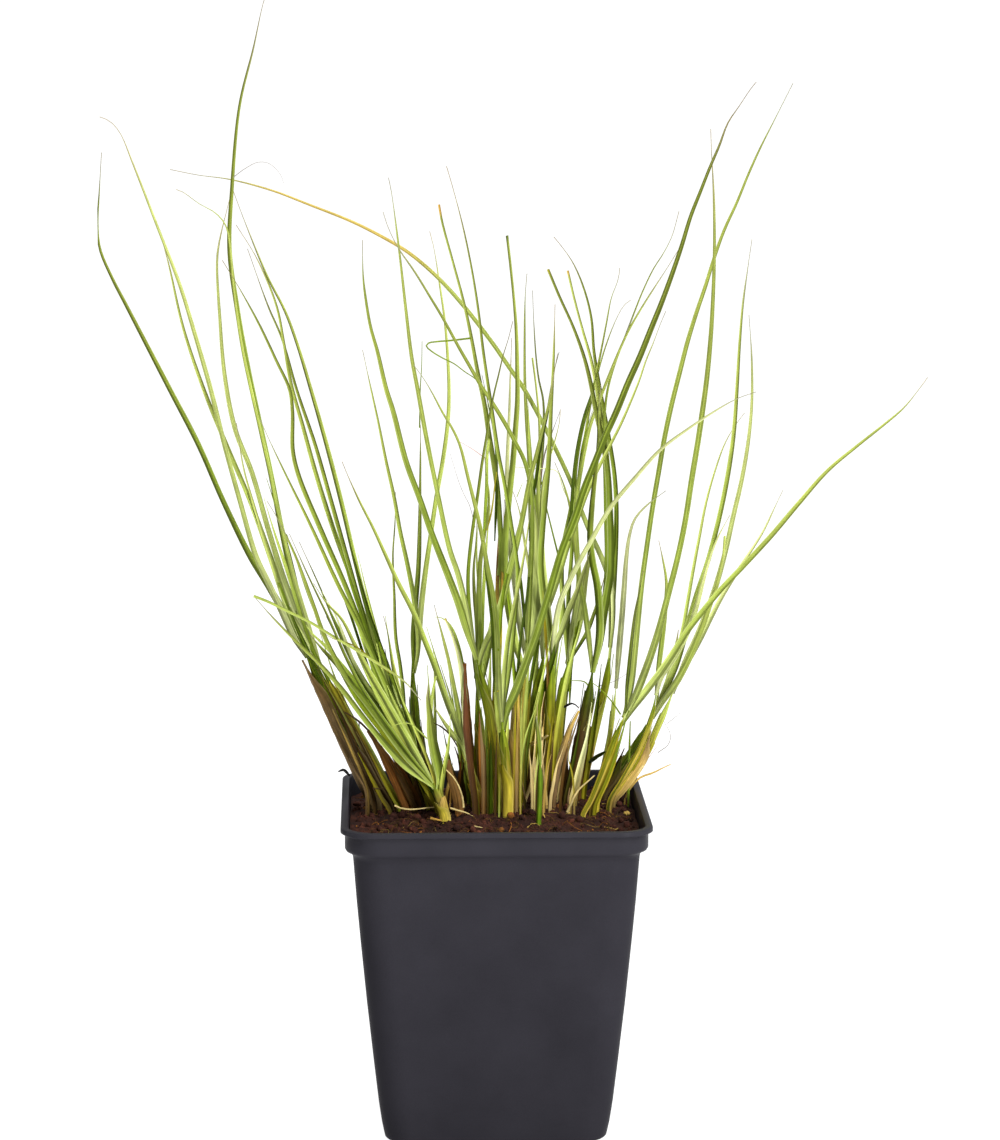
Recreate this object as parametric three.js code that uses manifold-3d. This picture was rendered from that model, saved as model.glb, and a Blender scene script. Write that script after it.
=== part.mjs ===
// Potted fountain grass: a tuft of narrow arching blades in a square nursery pot.
// Millimetres, +Z up. The origin is on the floor, under the middle of the pot.
import * as THREE from "three";
import { mergeVertices } from "three/addons/utils/BufferGeometryUtils.js";
import Module from "manifold-3d";

const wasm = await Module();
wasm.setup();

// Driving dimensions of the pot and the soil.
const FIT_GAP = 0.3;
const POT_HEIGHT = 120;
const POT_WALL = 1.2;
const FLOOR_TOP = 3.6;
const FOOT_HALF = 35.8;
const FOOT_HEIGHT = 2.2;
const LIP_HALF = 55;
const LIP_THICK = 2;
const COLLAR_HALF = 53.5;
const COLLAR_LOW = 112;
const BODY_TOP = 108.4;
const TOP_CORNER = 12;
const BASE_CORNER = 10.5;
const CORNER_STEPS = 4;
const DRAIN_RADIUS = 4.5;
const DRAIN_REACH = 27;
const DRAIN_SIDES = 10;

// Half width of the pot's body at each height, from just above the foot to under the collar.
const BODY_PROFILE = [
  [FOOT_HEIGHT + 0.4, 38.6],
  [5.1, 39.7],
  [9.1, 40.5],
  [16.8, 41.6],
  [32.1, 43.3],
  [54.9, 45.7],
  [77.3, 47.8],
  [92.2, 49.1],
  [BODY_TOP, 50.3],
];

const SOIL_EDGE = 112.8;
const SOIL_MOUND = 4.2;
const SOIL_RINGS = 9;
const SOIL_CORNER_STEPS = 5;
const HOLE_GAP = 0.5;
const HOLE_BOTTOM = 106;
const ROOT_BOTTOM = 107;
const STEM_SIDES = 7;

// The blades' routes are read in the upright plane y = 0, as seen from this point.
// Each one is then slid along its line of sight to its own depth.
const EYE = new THREE.Vector3(-41, -1387.1, 417.6);
const SEGMENT_LENGTH = 20;
const FEWEST_SEGMENTS = 4;
const MOST_SEGMENTS = 17;
const BLADE_THICK = 0.8;
const TIP_WIDTH = 0.7;
const FINEST_EDGE = 0.02;
const ROOT_DROP = 7;
const CLEAR_GAP = 0.7;
const CLEAR_ROUNDS = 500;
const DEPTH_EASE = 1.25;

const COLORS = {
  pot: "#26272b",
  soil: "#2a1b14",
  blade: "#5f7f22",
  brown: "#5b4024",
  straw: "#b29a55",
  cream: "#b8a173",
};

// Each tiller is a rolled green sheath that opens into its blades.
// sheath: points from the soil up, as [x, z]. depth: at its foot and its top.
// radius: at its foot and its top. A blade's route runs from its tip down to the sheath.
// A folded blade has a second leg, which runs on from its tip.
const TILLERS = [
  {
    name: "tiller_left_outer",
    sheath: [[-42.5, 118], [-47, 127], [-52, 138], [-57.3, 150], [-62.8, 163], [-67.6, 174.5]],
    depth: [16, 20],
    radius: [1.6, 1.3],
    blades: [
      { tip: 26, width: 1.9, route: [
        [-138, 354], [-139, 340], [-139.8, 328], [-139, 320], [-135, 310], [-130, 300], [-125, 290],
        [-115, 270], [-105, 250], [-96.5, 230], [-87, 210], [-81, 200], [-75.5, 190], [-71.5, 181]] },
      { tip: -12, width: 1.7, route: [
        [-138.5, 366.5], [-135, 365], [-131.5, 361], [-127, 350], [-119.5, 330], [-111, 307],
        [-106, 290], [-100.5, 270], [-96, 251], [-90.5, 230], [-85, 210], [-81, 201], [-76, 190],
        [-71.5, 180]] },
      { tip: 64, width: 1.7, route: [
        [-119, 330], [-115, 315], [-110, 292], [-103, 270], [-96, 252], [-87, 230], [-80, 210],
        [-73.5, 190], [-70, 181]] },
    ],
  },
  {
    name: "tiller_left_second",
    sheath: [[-35, 118], [-40, 127], [-45.5, 138], [-51, 149], [-57, 160], [-62, 169]],
    depth: [11, 12],
    radius: [1.8, 1.4],
    blades: [
      { tip: 4, width: 1.9, route: [
        [-77.5, 413], [-80, 408], [-84.3, 390], [-89.3, 370], [-92.3, 340], [-93.3, 320],
        [-91, 300], [-87.7, 280], [-83.7, 260], [-79.5, 240], [-75.8, 220], [-71.5, 200],
        [-68.5, 190], [-65.5, 179]] },
      { tip: 48, width: 1.8, route: [
        [-92.5, 340], [-97, 322], [-97.8, 315], [-97, 295], [-95.5, 275], [-92, 256], [-86, 240],
        [-80.5, 220], [-74.5, 200], [-70, 188], [-66, 178]] },
      { tip: -30, width: 1.1, route: [
        [-91.5, 258], [-90.5, 250], [-89, 241], [-85.5, 228], [-81.5, 214], [-77, 200],
        [-72.5, 189], [-67, 179]] },
      { tip: -24, width: 1.2, route: [
        [-112, 341], [-109.5, 340], [-104, 336], [-98, 332.5], [-94.5, 328], [-93, 318],
        [-92, 305], [-89.5, 286], [-85.5, 266], [-81, 246], [-77, 226], [-72.5, 206], [-68, 190],
        [-64.5, 178]] },
    ],
  },
  {
    name: "tiller_left_fan_front",
    sheath: [[-17.5, 114], [-18.5, 118], [-20, 122.5], [-22, 126.5]],
    depth: [-11, -11],
    radius: [1.7, 1.4],
    blades: [
      { tip: -26, width: 1.6, route: [
        [-86, 195.5], [-80, 188.5], [-74, 182], [-68, 176], [-62, 170], [-54, 160.5],
        [-47, 151], [-38, 139.5], [-31, 132]], leg: [
        [-26, 157], [-32, 164], [-45, 173], [-58, 181], [-66, 186], [-74, 190], [-81, 193.5]],
        legDepth: -32 },
      { tip: -34, width: 1.7, route: [
        [-81, 230], [-78, 225], [-75.5, 220], [-70.5, 209], [-64.5, 192], [-61.5, 183], [-58, 175],
        [-53, 166], [-47.5, 158.5], [-42, 151], [-37, 144], [-31, 136], [-27, 131.5]] },
      { tip: -44, width: 1.1, route: [
        [-73, 218], [-66, 202], [-59, 187], [-53, 173], [-48, 163], [-42, 153.5], [-36, 145],
        [-29.5, 136]] },
      { tip: -22, width: 1.8, route: [
        [-64.5, 200], [-60, 193], [-54.5, 187], [-50, 178], [-46, 170], [-41, 161], [-36, 152],
        [-31, 143], [-26, 134]] },
      { tip: -17, width: 2.6, route: [
        [-23.5, 163], [-23.7, 158], [-22.9, 151], [-22.5, 146], [-21.5, 140], [-20.2, 134],
        [-19.4, 129]] },
    ],
  },
  {
    name: "tiller_left_fan_middle",
    sheath: [[-20.5, 116.5], [-22, 121], [-24, 126.5], [-26.5, 132]],
    depth: [1, 2],
    radius: [1.9, 1.5],
    blades: [
      { tip: -20, width: 1.8, route: [
        [-96, 316], [-90, 306], [-83, 293], [-77, 280], [-72.5, 270], [-71.5, 262], [-71.5, 248],
        [-69.5, 239], [-62, 220], [-53.5, 200], [-47, 183], [-42, 169], [-36, 155], [-31, 144]] },
      { tip: -48, width: 1.5, route: [
        [-83, 259], [-80, 252], [-74.5, 240], [-65, 220], [-56, 200], [-49.5, 187], [-45, 177],
        [-40, 165.5], [-34.5, 153], [-30, 142]] },
      { tip: 30, width: 1.6, route: [
        [-87, 320], [-80, 300], [-75, 288], [-70, 270], [-63.5, 250], [-58, 230], [-52.5, 210],
        [-47.5, 192], [-43, 176], [-37.5, 162], [-32, 149], [-28.5, 140]] },
      { tip: -10, width: 1.1, route: [
        [-39.5, 188], [-38, 182], [-36, 168], [-33, 157], [-29.5, 146]] },
      { tip: -14, width: 2.8, route: [
        [-66, 181.5], [-61.5, 176], [-56, 170], [-51.5, 163.5], [-47.5, 157.5], [-43, 151],
        [-39, 145.5], [-35, 140], [-31, 135]] },
    ],
  },
  {
    name: "tiller_left_fan_back",
    sheath: [[-25, 119], [-26.5, 124], [-28.5, 130], [-31, 136.5]],
    depth: [11, 12],
    radius: [1.9, 1.5],
    blades: [
      { tip: 58, width: 1.7, route: [
        [-92, 341], [-88, 330], [-80, 310], [-74, 298], [-70, 287], [-65, 270], [-59.5, 250],
        [-54.5, 230], [-50, 210], [-46, 193], [-42, 178], [-38, 165], [-34.5, 153],
        [-33, 145]] },
      { tip: 22, width: 1.7, route: [
        [-91, 328.5], [-84, 317], [-77, 300], [-74.5, 287], [-72, 272], [-68, 257], [-63.5, 240],
        [-57.5, 220], [-50.5, 200], [-45, 183], [-40.5, 170], [-36, 157], [-33, 147]] },
      { tip: 34, width: 1, route: [
        [-69.5, 215], [-62, 198], [-58, 188], [-53, 176], [-47, 164], [-41, 154], [-35.5, 145]] },
      { tip: 40, width: 1.1, route: [
        [-35, 233], [-35.2, 222], [-36, 210], [-35.5, 195], [-35, 180], [-33.5, 170],
        [-32.5, 160], [-32, 149]] },
    ],
  },
  {
    name: "tiller_left_upright",
    sheath: [[-23, 121], [-24.5, 129], [-26.3, 138], [-28, 148], [-28.6, 158], [-28.6, 167]],
    depth: [22, 24],
    radius: [1.9, 1.5],
    blades: [
      { tip: 66, width: 1.5, route: [
        [-26, 257], [-26, 250], [-26.2, 235], [-26.5, 220], [-27, 205], [-28, 192],
        [-28.8, 180]] },
      { tip: 88, width: 1.6, route: [
        [-22.5, 326], [-21, 320], [-19, 307], [-17.2, 294], [-16.2, 281], [-15.8, 268],
        [-16.3, 258], [-18, 245], [-20.3, 232], [-22.5, 217], [-24.5, 203], [-26, 190],
        [-27, 178]] },
      { tip: 46, width: 1.4, route: [
        [-46.5, 284], [-44, 272], [-41, 258], [-38.5, 245], [-35.5, 231], [-33.5, 219],
        [-31, 207], [-28.5, 193], [-27.2, 182], [-27.3, 174]] },
    ],
  },
  {
    name: "tiller_centre_left",
    sheath: [[-4.5, 116], [-5.8, 122], [-8, 130], [-10, 138]],
    depth: [-3, -2],
    radius: [1.9, 1.5],
    blades: [
      { tip: -30, width: 1.7, route: [
        [-54, 244], [-52, 239], [-48, 230], [-43, 220], [-38.5, 210], [-34, 200], [-28.5, 189],
        [-25, 180], [-21, 169.5], [-16.5, 156.5], [-12.5, 146]] },
      { tip: -40, width: 1.2, route: [
        [-21, 191], [-19, 183.5], [-17, 176], [-14.5, 164], [-12.8, 154], [-11.3, 145]] },
      { tip: -16, width: 1.6, route: [
        [-17.3, 187], [-14.5, 180], [-12.5, 173], [-11.3, 165], [-10.6, 156], [-10.4, 147]] },
      { tip: -10, width: 1.3, route: [
        [-21.5, 155], [-18, 149.3], [-14.3, 144.2], [-11.3, 140]] },
    ],
  },
  {
    name: "tiller_centre_second",
    sheath: [[-2.5, 117.5], [-3.3, 126], [-3.9, 136], [-4.6, 147], [-5.3, 157]],
    depth: [4, 5],
    radius: [1.5, 1.3],
    blades: [
      { tip: -66, width: 1.2, route: [
        [7, 294], [5.5, 288], [3.5, 281.5], [2, 275], [0.3, 268], [-1.3, 260], [-2.5, 252],
        [-4, 243], [-5.5, 232], [-7, 222], [-8.3, 212], [-9, 203], [-8.8, 193], [-7.5, 180],
        [-6.3, 168]] },
      { tip: 34, width: 1.9, route: [
        [-19.2, 335.5], [-18, 329], [-14.5, 316], [-11, 303], [-8.5, 292], [-5.5, 276], [-3, 264],
        [-1.5, 254], [0, 245], [1.5, 235], [2.5, 222], [3, 210], [2, 198], [0.3, 187],
        [-1.8, 176], [-3.8, 166]] },
      { tip: -22, width: 1.6, route: [
        [-3, 245.5], [-2.5, 239], [-1.5, 232], [-1.8, 225], [-3, 218], [-4.5, 208], [-5, 198],
        [-5.2, 186], [-5.4, 172]] },
      { tip: 20, width: 1.2, route: [
        [-5.8, 224], [-6.2, 214], [-7, 205], [-6.8, 196], [-6, 186], [-5.6, 175]] },
    ],
  },
  {
    name: "tiller_centre_main",
    sheath: [[1.8, 116], [1.6, 124], [0.9, 134], [-0.2, 144], [-1.8, 154], [-3.8, 163.5], [-5.8, 172]],
    depth: [-3, -6],
    radius: [1.8, 1.6],
    blades: [
      { tip: -60, width: 2, route: [
        [-46.3, 323], [-46.1, 310], [-45.2, 302], [-43.5, 292], [-41, 283], [-38, 270],
        [-35.5, 262], [-31, 244], [-26, 230], [-22, 218], [-17, 205], [-12.5, 193],
        [-9.2, 182.5]] },
      { tip: -34, width: 1.6, route: [
        [-37, 345], [-36, 340], [-34, 325], [-32.5, 312], [-31, 298], [-29, 281], [-27, 270],
        [-24, 253], [-20, 233], [-15.5, 212], [-12.5, 203], [-10, 192], [-8, 181]] },
      { tip: -24, width: 1.8, route: [
        [23, 282.5], [22, 277], [20, 265], [17.3, 254], [15, 244.5], [12.8, 236], [11, 226],
        [9, 216], [7, 207.5], [5, 199.5], [3, 192], [0.5, 184.5], [-3, 177]] },
    ],
  },
  {
    name: "tiller_centre_front",
    sheath: [[5.2, 116], [5.3, 124], [4.7, 133], [3.7, 142], [3.2, 149]],
    depth: [-9, -12],
    radius: [1.7, 1.5],
    blades: [
      { tip: -52, width: 2.3, route: [
        [93, 378.5], [91, 376], [87, 370], [83, 364], [80, 356], [77, 349], [73.5, 340],
        [70, 331], [67, 321], [64, 312], [60, 301], [56, 291], [52, 281], [48, 272], [44, 262],
        [40, 253], [36.5, 244], [32.5, 234], [29, 223], [25, 213], [22, 203], [19, 192.5],
        [15.5, 181], [11.5, 169.5], [8, 160], [5, 153]] },
      { tip: -92, width: 1.5, route: [
        [-28.3, 278.5], [-25, 274], [-22, 269], [-17.5, 260.5], [-15, 256.5], [-12, 250],
        [-9, 238], [-6, 226], [-4, 217], [-2, 206], [0, 196], [1.3, 185], [1.9, 172],
        [2.4, 160]] },
      { tip: -76, width: 1.3, route: [
        [-16.5, 349], [-15, 344], [-11, 329], [-8, 315], [-5.5, 300], [-3.3, 282], [-0.5, 263],
        [2, 246], [4, 236], [7, 218], [8.5, 208], [8.8, 199], [8, 190], [7, 178], [5.5, 166],
        [4, 156]] },
      { tip: -44, width: 1.3, route: [
        [13.5, 228], [12.3, 218], [10.8, 208], [9, 198], [7, 188], [5.3, 178], [4, 166]] },
    ],
  },
  {
    name: "tiller_centre_yellow",
    sheath: [[7.2, 121], [7.6, 130], [8, 141], [8.8, 152], [10.3, 163], [12, 172]],
    depth: [12, 13],
    radius: [2.3, 1.8],
    blades: [
      { tip: 18, width: 3, route: [
        [12, 237], [13.5, 231], [14.8, 224], [15.6, 215], [15.8, 205], [15.2, 195],
        [14.3, 185]] },
      { tip: -40, width: 1.5, route: [
        [-39, 333], [-37, 327], [-33.5, 320], [-28, 312], [-22.5, 303], [-18, 295.5],
        [-12, 284.5], [-8, 277.5], [-4, 270.5], [0, 264.5], [4.5, 257], [8, 250.5], [11, 244.5],
        [13.2, 236], [14, 226], [14, 214], [13.5, 202], [13, 190], [12.5, 180]] },
      { tip: -14, width: 2.1, route: [
        [5, 324.5], [6.3, 313], [7.5, 301], [8.3, 290], [8.6, 278], [8.7, 266], [8, 255],
        [7.2, 244], [6.2, 234], [5.2, 224], [4.4, 213], [4.4, 203], [5.2, 194], [6.7, 185],
        [8.7, 175]] },
      { tip: 70, width: 1.7, route: [
        [6.6, 288], [6.2, 275], [5.8, 262], [5.3, 250], [5, 238], [5.2, 228], [6, 215],
        [7.5, 203], [9, 191], [10.3, 180]] },
      { tip: 4, width: 1.3, route: [
        [61.5, 297.5], [60, 294], [57, 286], [54.5, 280], [52, 272.5], [49, 265], [45.5, 257],
        [41.5, 249], [37.5, 241], [33.5, 232], [30, 222], [26.5, 212], [23.5, 202], [20, 192],
        [16.5, 184], [13.5, 177.5]] },
    ],
  },
  {
    name: "tiller_centre_brown",
    sheath: [[12.5, 121], [12.7, 131], [13.2, 142], [14.5, 153], [16.3, 163.5], [18, 173]],
    depth: [20, 21],
    radius: [2, 1.6],
    blades: [
      { tip: 78, width: 1.6, route: [
        [12, 311], [11.4, 303], [11.2, 288], [11.3, 272], [11.8, 260], [12.6, 248], [13, 238],
        [13.2, 226], [13.8, 212], [14.8, 199], [16.3, 187], [17.3, 179]] },
      { tip: 40, width: 1.6, route: [
        [14, 281], [15.3, 271], [16.5, 258], [16.7, 248], [16.2, 238], [16.5, 226], [17.5, 213],
        [18.3, 200], [18.6, 188]] },
      { tip: 96, width: 1.1, route: [
        [14, 305], [14.5, 293], [15.3, 281], [16.3, 273], [17.8, 266], [18, 255], [17, 240],
        [15.8, 225], [15.6, 210], [16.3, 195], [17.3, 182]] },
      { tip: 30, width: 1.1, route: [
        [7, 233], [8.5, 229], [10, 223], [11, 216], [13, 205], [15.5, 194], [17, 183]] },
    ],
  },
  {
    name: "tiller_centre_right",
    sheath: [[19.5, 121.5], [20, 131], [20.3, 142], [20.6, 152], [21, 163], [21.5, 172]],
    depth: [14, 14],
    radius: [1.9, 1.6],
    blades: [
      { tip: -20, width: 1.9, route: [
        [22, 300], [21.8, 290], [21.4, 277], [20.7, 263], [20.2, 250], [19.6, 240], [18.6, 229],
        [17.6, 218], [17, 207], [17.8, 197], [19.3, 187], [20.6, 179]] },
      { tip: -70, width: 1.5, route: [
        [94, 268.5], [87, 266], [79, 261.5], [70, 255.5], [60, 248], [51, 238], [42, 227],
        [35, 215], [30, 206], [27, 200], [24, 193], [22.5, 186], [21.8, 179]] },
      { tip: 0, width: 1.1, route: [
        [24, 262.5], [23.7, 258], [22.7, 253.5], [21.5, 249], [19.5, 243], [18, 237],
        [17.2, 228], [17.5, 215], [18.8, 200], [20.3, 186]] },
      { tip: -8, width: 1.6, route: [
        [34.8, 211], [32.5, 204], [30, 196], [27.5, 190], [24.8, 182.5], [22.5, 177]] },
    ],
  },
  {
    name: "tiller_right_inner",
    sheath: [[23, 122], [23.2, 132], [23.2, 142], [23.9, 152], [25.3, 162], [27, 171]],
    depth: [25, 27],
    radius: [1.9, 1.6],
    blades: [
      { tip: 62, width: 1.3, route: [
        [45, 313], [44.5, 309], [42, 302], [40.5, 294], [39, 286], [37, 276], [34.8, 266],
        [32.5, 258], [31, 251], [29.8, 243], [29, 234], [27.3, 224], [25.5, 215], [24.8, 205],
        [25, 195], [26, 184]] },
      { tip: 84, width: 1.2, route: [
        [49, 301.5], [46.5, 299.5], [44, 295], [41.5, 289], [39, 281.5], [36.5, 272],
        [34.5, 263], [33, 254], [32, 247], [30.8, 239], [29.5, 230], [28.7, 220], [28, 208],
        [27, 195], [26.8, 184]] },
      { tip: 40, width: 1.4, route: [
        [66, 319.5], [62, 313], [57.5, 306], [52.5, 298], [48, 290], [44, 281], [40, 271],
        [36.5, 262], [34.5, 256], [33, 249], [31.5, 241], [30.2, 232], [29.8, 222], [30.2, 212],
        [30.8, 202], [29.8, 192], [28.3, 182]] },
      { tip: 32, width: 2.4, route: [
        [35.5, 214], [34.3, 207], [33, 200], [31.8, 192], [30.2, 183.5], [28.6, 177]] },
      { tip: 50, width: 1.1, route: [
        [40, 202], [38.5, 196], [36.5, 189], [34, 182], [31, 176.5]] },
    ],
  },
  {
    name: "tiller_right_dark",
    sheath: [[28, 121.5], [29.7, 130], [31.3, 139], [33, 149], [34.6, 158.5], [35.8, 167]],
    depth: [16, 17],
    radius: [2.4, 2],
    blades: [
      { tip: 6, width: 2.2, route: [
        [19.5, 312.5], [23.5, 303], [28.5, 292], [32.5, 281], [35, 271], [36.5, 263],
        [38.5, 254], [40.2, 246], [41.3, 236], [41.8, 225], [42.2, 213], [42, 203], [40.6, 194],
        [39.3, 186], [38, 177]] },
      { tip: -32, width: 2.1, route: [
        [38.5, 271], [37.6, 262], [37.6, 252], [37, 243], [36, 234], [35.2, 225], [34.8, 216],
        [35.8, 207], [37.4, 199], [38.2, 190], [38.3, 181], [37.3, 174]] },
      { tip: 22, width: 1.5, route: [
        [22, 243.5], [24.5, 237.5], [26.5, 231.5], [28, 225], [29, 218], [30, 209], [31, 201],
        [32.5, 193], [33.8, 184], [34.8, 176]] },
      { tip: 60, width: 1, route: [
        [66, 333], [63.5, 324], [60.5, 318], [57, 312.5], [53, 304], [49.5, 295], [46.5, 287],
        [43.5, 279], [41, 270], [39.8, 260], [39.7, 248], [40, 236], [40.3, 222], [40.6, 208],
        [40, 196], [38.7, 186], [37.2, 177]] },
    ],
  },
  {
    name: "tiller_right_olive",
    sheath: [[31.8, 122], [33.8, 132], [36.2, 143], [38.7, 154], [41, 165], [42.2, 176]],
    depth: [29, 31],
    radius: [1.5, 1.3],
    blades: [
      { tip: 66, width: 1.6, route: [
        [-114, 348], [-104, 346], [-93, 344.5], [-78, 340.5], [-65, 335.5], [-50, 329.5],
        [-40, 324.5], [-30, 318.5], [-20, 310], [-10, 299], [0, 286], [5.5, 278], [11, 270],
        [17, 259], [23, 247], [28, 236], [32, 225], [35.5, 216.5], [38.5, 210], [41, 203.5],
        [42.7, 195], [43, 186]] },
      { tip: 80, width: 1.6, route: [
        [21.5, 324], [24, 321], [28.5, 314.5], [32.5, 305], [35, 295], [36, 283], [38, 271],
        [40, 260], [42, 249], [43.5, 239], [44.2, 228], [44.1, 214], [43.5, 200],
        [42.8, 188]] },
      { tip: 46, width: 1.9, route: [
        [26.5, 312], [29, 301.5], [32, 290.5], [35, 280], [37, 270], [38.3, 261], [40, 251],
        [41, 241], [41.6, 230], [41.9, 218], [42.2, 206], [42.8, 195], [42.8, 184]] },
    ],
  },
  {
    name: "tiller_right_fork",
    sheath: [[32.5, 114], [35.5, 120], [38.5, 127.5], [42, 137], [45.2, 145], [47.8, 151.5]],
    depth: [-3, 3],
    radius: [1.1, 1.7],
    blades: [
      { tip: 20, width: 1.8, route: [
        [106, 378], [104, 374], [99.5, 365], [94.5, 355], [90.5, 346], [86.5, 336], [82, 326],
        [78.5, 316], [75.5, 306], [72.5, 297], [69.5, 287], [66.5, 275], [63.8, 264],
        [61.3, 252], [59.3, 240], [57, 226], [55.2, 213], [53.5, 200], [52.3, 188],
        [51.2, 176], [50, 164], [49, 157.5]] },
      { tip: -46, width: 2, route: [
        [77, 362], [77.3, 355], [78.3, 338], [78.7, 322], [78.5, 306], [77.8, 290], [76.5, 274],
        [75, 262], [73.3, 250], [71.2, 237], [69, 222], [66.2, 208], [63, 195], [60, 183],
        [57, 173], [53.5, 163], [51, 157]] },
      { tip: -8, width: 1.9, route: [
        [155.5, 273.5], [153, 270], [147, 262.5], [140, 256.5], [130, 248.5], [120, 240],
        [110, 228.5], [100, 216.5], [90, 205.5], [82, 197], [75, 188.5], [70, 182], [65, 174],
        [60, 166.5], [54, 158.5], [51, 154.5]] },
      { tip: -62, width: 1, route: [
        [54, 204], [52.5, 196], [51, 188], [50, 179], [49, 169], [48.2, 161]] },
    ],
  },
  {
    name: "tiller_right_slim",
    sheath: [[37.3, 121.5], [39.2, 129], [40.9, 137], [42.4, 145], [43.5, 153], [44.3, 161]],
    depth: [36, 36],
    radius: [1.3, 1.1],
    blades: [
      { tip: -40, width: 1.6, route: [
        [62, 233], [56, 228.5], [51, 223], [49, 217], [47.8, 208], [47.1, 198], [46.2, 185],
        [45.1, 171]] },
    ],
  },
  {
    name: "tiller_right_thin",
    sheath: [[40, 121.5], [43.4, 127], [47.3, 133.2], [51.3, 139.6], [54.8, 145], [58, 150.8]],
    depth: [29, 27],
    radius: [1.4, 1.2],
    blades: [
      { tip: 46, width: 1.8, route: [
        [92, 323], [90.5, 312], [89, 300], [88, 286], [87.2, 270], [86.3, 255], [85, 244],
        [82.8, 231], [80, 218], [77, 206.5], [73.5, 195.5], [69.5, 181], [66, 169],
        [61.5, 158.5]] },
      { tip: 2, width: 1.8, route: [
        [83.2, 216.5], [82.5, 208], [80.5, 199], [78, 191], [74.5, 181], [70.5, 171.5],
        [66, 163], [61.8, 157]] },
      { tip: 78, width: 1.2, route: [
        [90, 261], [87, 257], [83, 250], [79.5, 240], [76.5, 229], [74.2, 217], [72, 205],
        [70, 193], [68, 181], [65, 170], [61, 159]] },
      { tip: 30, width: 1.7, route: [
        [66.8, 182.5], [65.9, 176], [64.6, 169], [62.8, 162.5]] },
    ],
  },
  {
    name: "tiller_right_green",
    sheath: [
      [42.2, 119], [46, 126], [49.8, 132.8], [53.2, 139.3], [55.8, 145.8], [57.6, 152], [58.8, 158.5]],
    depth: [9, 15],
    radius: [1.5, 1.3],
    blades: [
      { tip: 10, width: 1.4, route: [
        [59.5, 215], [61, 208], [62.3, 200], [62, 190], [61, 180], [60, 172], [59.3, 166]] },
      { tip: 26, width: 1.5, route: [
        [85, 224], [81, 216.5], [78, 209], [75.5, 200], [73, 190], [69.5, 180], [65, 171.5],
        [61, 165.5]] },
    ],
  },
  {
    name: "tiller_right_straw",
    sheath: [
      [43.6, 120], [46.8, 123.8], [50, 128], [53.3, 133], [56.6, 139.6], [59.5, 146.5], [62.3, 153],
      [65, 159.5]],
    depth: [19, 28],
    radius: [1.7, 1.6],
    blades: [
      { tip: 68, width: 1.8, route: [
        [91.2, 296], [92.3, 281], [92.5, 264], [91.3, 250], [89, 236], [86.3, 224], [83.5, 211],
        [80.3, 199], [77, 189], [73.4, 179.5], [69.8, 171.5], [67.5, 166]] },
      { tip: 36, width: 1.4, route: [
        [104, 233], [101, 226.5], [97, 218], [92, 210], [86.8, 202], [82, 194], [78.5, 187],
        [74.7, 179], [71, 172], [68, 166.5]] },
    ],
  },
  {
    name: "tiller_young",
    sheath: [[16.5, 113], [16.8, 119], [17, 127], [16.9, 135]],
    depth: [-15, -15],
    radius: [0.9, 0.8],
    blades: [
      { tip: -17, width: 1.4, route: [[15.5, 151], [16, 146], [16.6, 140]] },
    ],
  },
];

// Dead outer sheaths that wrap a tiller's foot, up to a share of its length.
const WRAPS = [
  { name: "dry_sheath_left", tiller: "tiller_left_outer", reach: 0.97, thick: 1, color: "brown" },
  { name: "dry_sheath_front", tiller: "tiller_left_fan_front", reach: 0.5, thick: 0.8, color: "cream" },
  { name: "dry_sheath_centre", tiller: "tiller_centre_second", reach: 0.78, thick: 0.8, color: "brown" },
  { name: "dry_sheath_right", tiller: "tiller_right_straw", reach: 0.62, thick: 0.8, color: "straw" },
];
const WRAP_GAP = 0.35;
const WRAP_OPENING = 1.1;
const WRAP_SIDES = 6;

// Dead leaves and a dead stem that stand in the soil by themselves, from the tip down.
const DRY_LEAVES = [
  { name: "dry_stem_upright", color: "brown", depth: [12, 12], width: 3.4, round: true, route: [
    [-10.6, 170.5], [-10.5, 164], [-10, 155], [-9.3, 146], [-8.1, 136], [-6.9, 127], [-6.2, 119]] },
  { name: "dry_leaf_left", color: "brown", depth: [4, 5], width: 3.2, route: [
    [-45.5, 146], [-41.5, 139.5], [-38, 132], [-34.5, 124.5], [-32, 118]] },
  { name: "dry_leaf_front", color: "cream", depth: [-6, -6], width: 3.6, route: [
    [-16.8, 135], [-15.8, 129], [-13.8, 122.5], [-12.3, 116]] },
  { name: "dry_leaf_right", color: "cream", depth: [7, 7], width: 2, route: [
    [30.8, 153], [28, 147], [25, 138], [23, 130], [21.8, 120]] },
];

// Smooth step from 0 to 1, used for tapers.
function ease(t) {
  const u = THREE.MathUtils.clamp(t, 0, 1);
  return u * u * (3 - 2 * u);
}

// Point at [x, z] of the plane y = 0, slid along its line of sight to a depth.
function placed(x, z, depth) {
  const point = new THREE.Vector3(x, 0, z);
  const share = (depth - EYE.y) / -EYE.y;
  return point.sub(EYE).multiplyScalar(share).add(EYE);
}

// Triangles over the end of a ring, zipped between its first half and its second.
// They stay inside a round outline and also inside the C-shaped outline of a shell.
function capFaces(sides) {
  const faces = [];
  for (let low = 0, high = sides - 1; low + 1 < high; low += 1, high -= 1) {
    faces.push([low, low + 1, high]);
    if (low + 1 < high - 1) faces.push([low + 1, high - 1, high]);
  }
  return faces;
}

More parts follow.
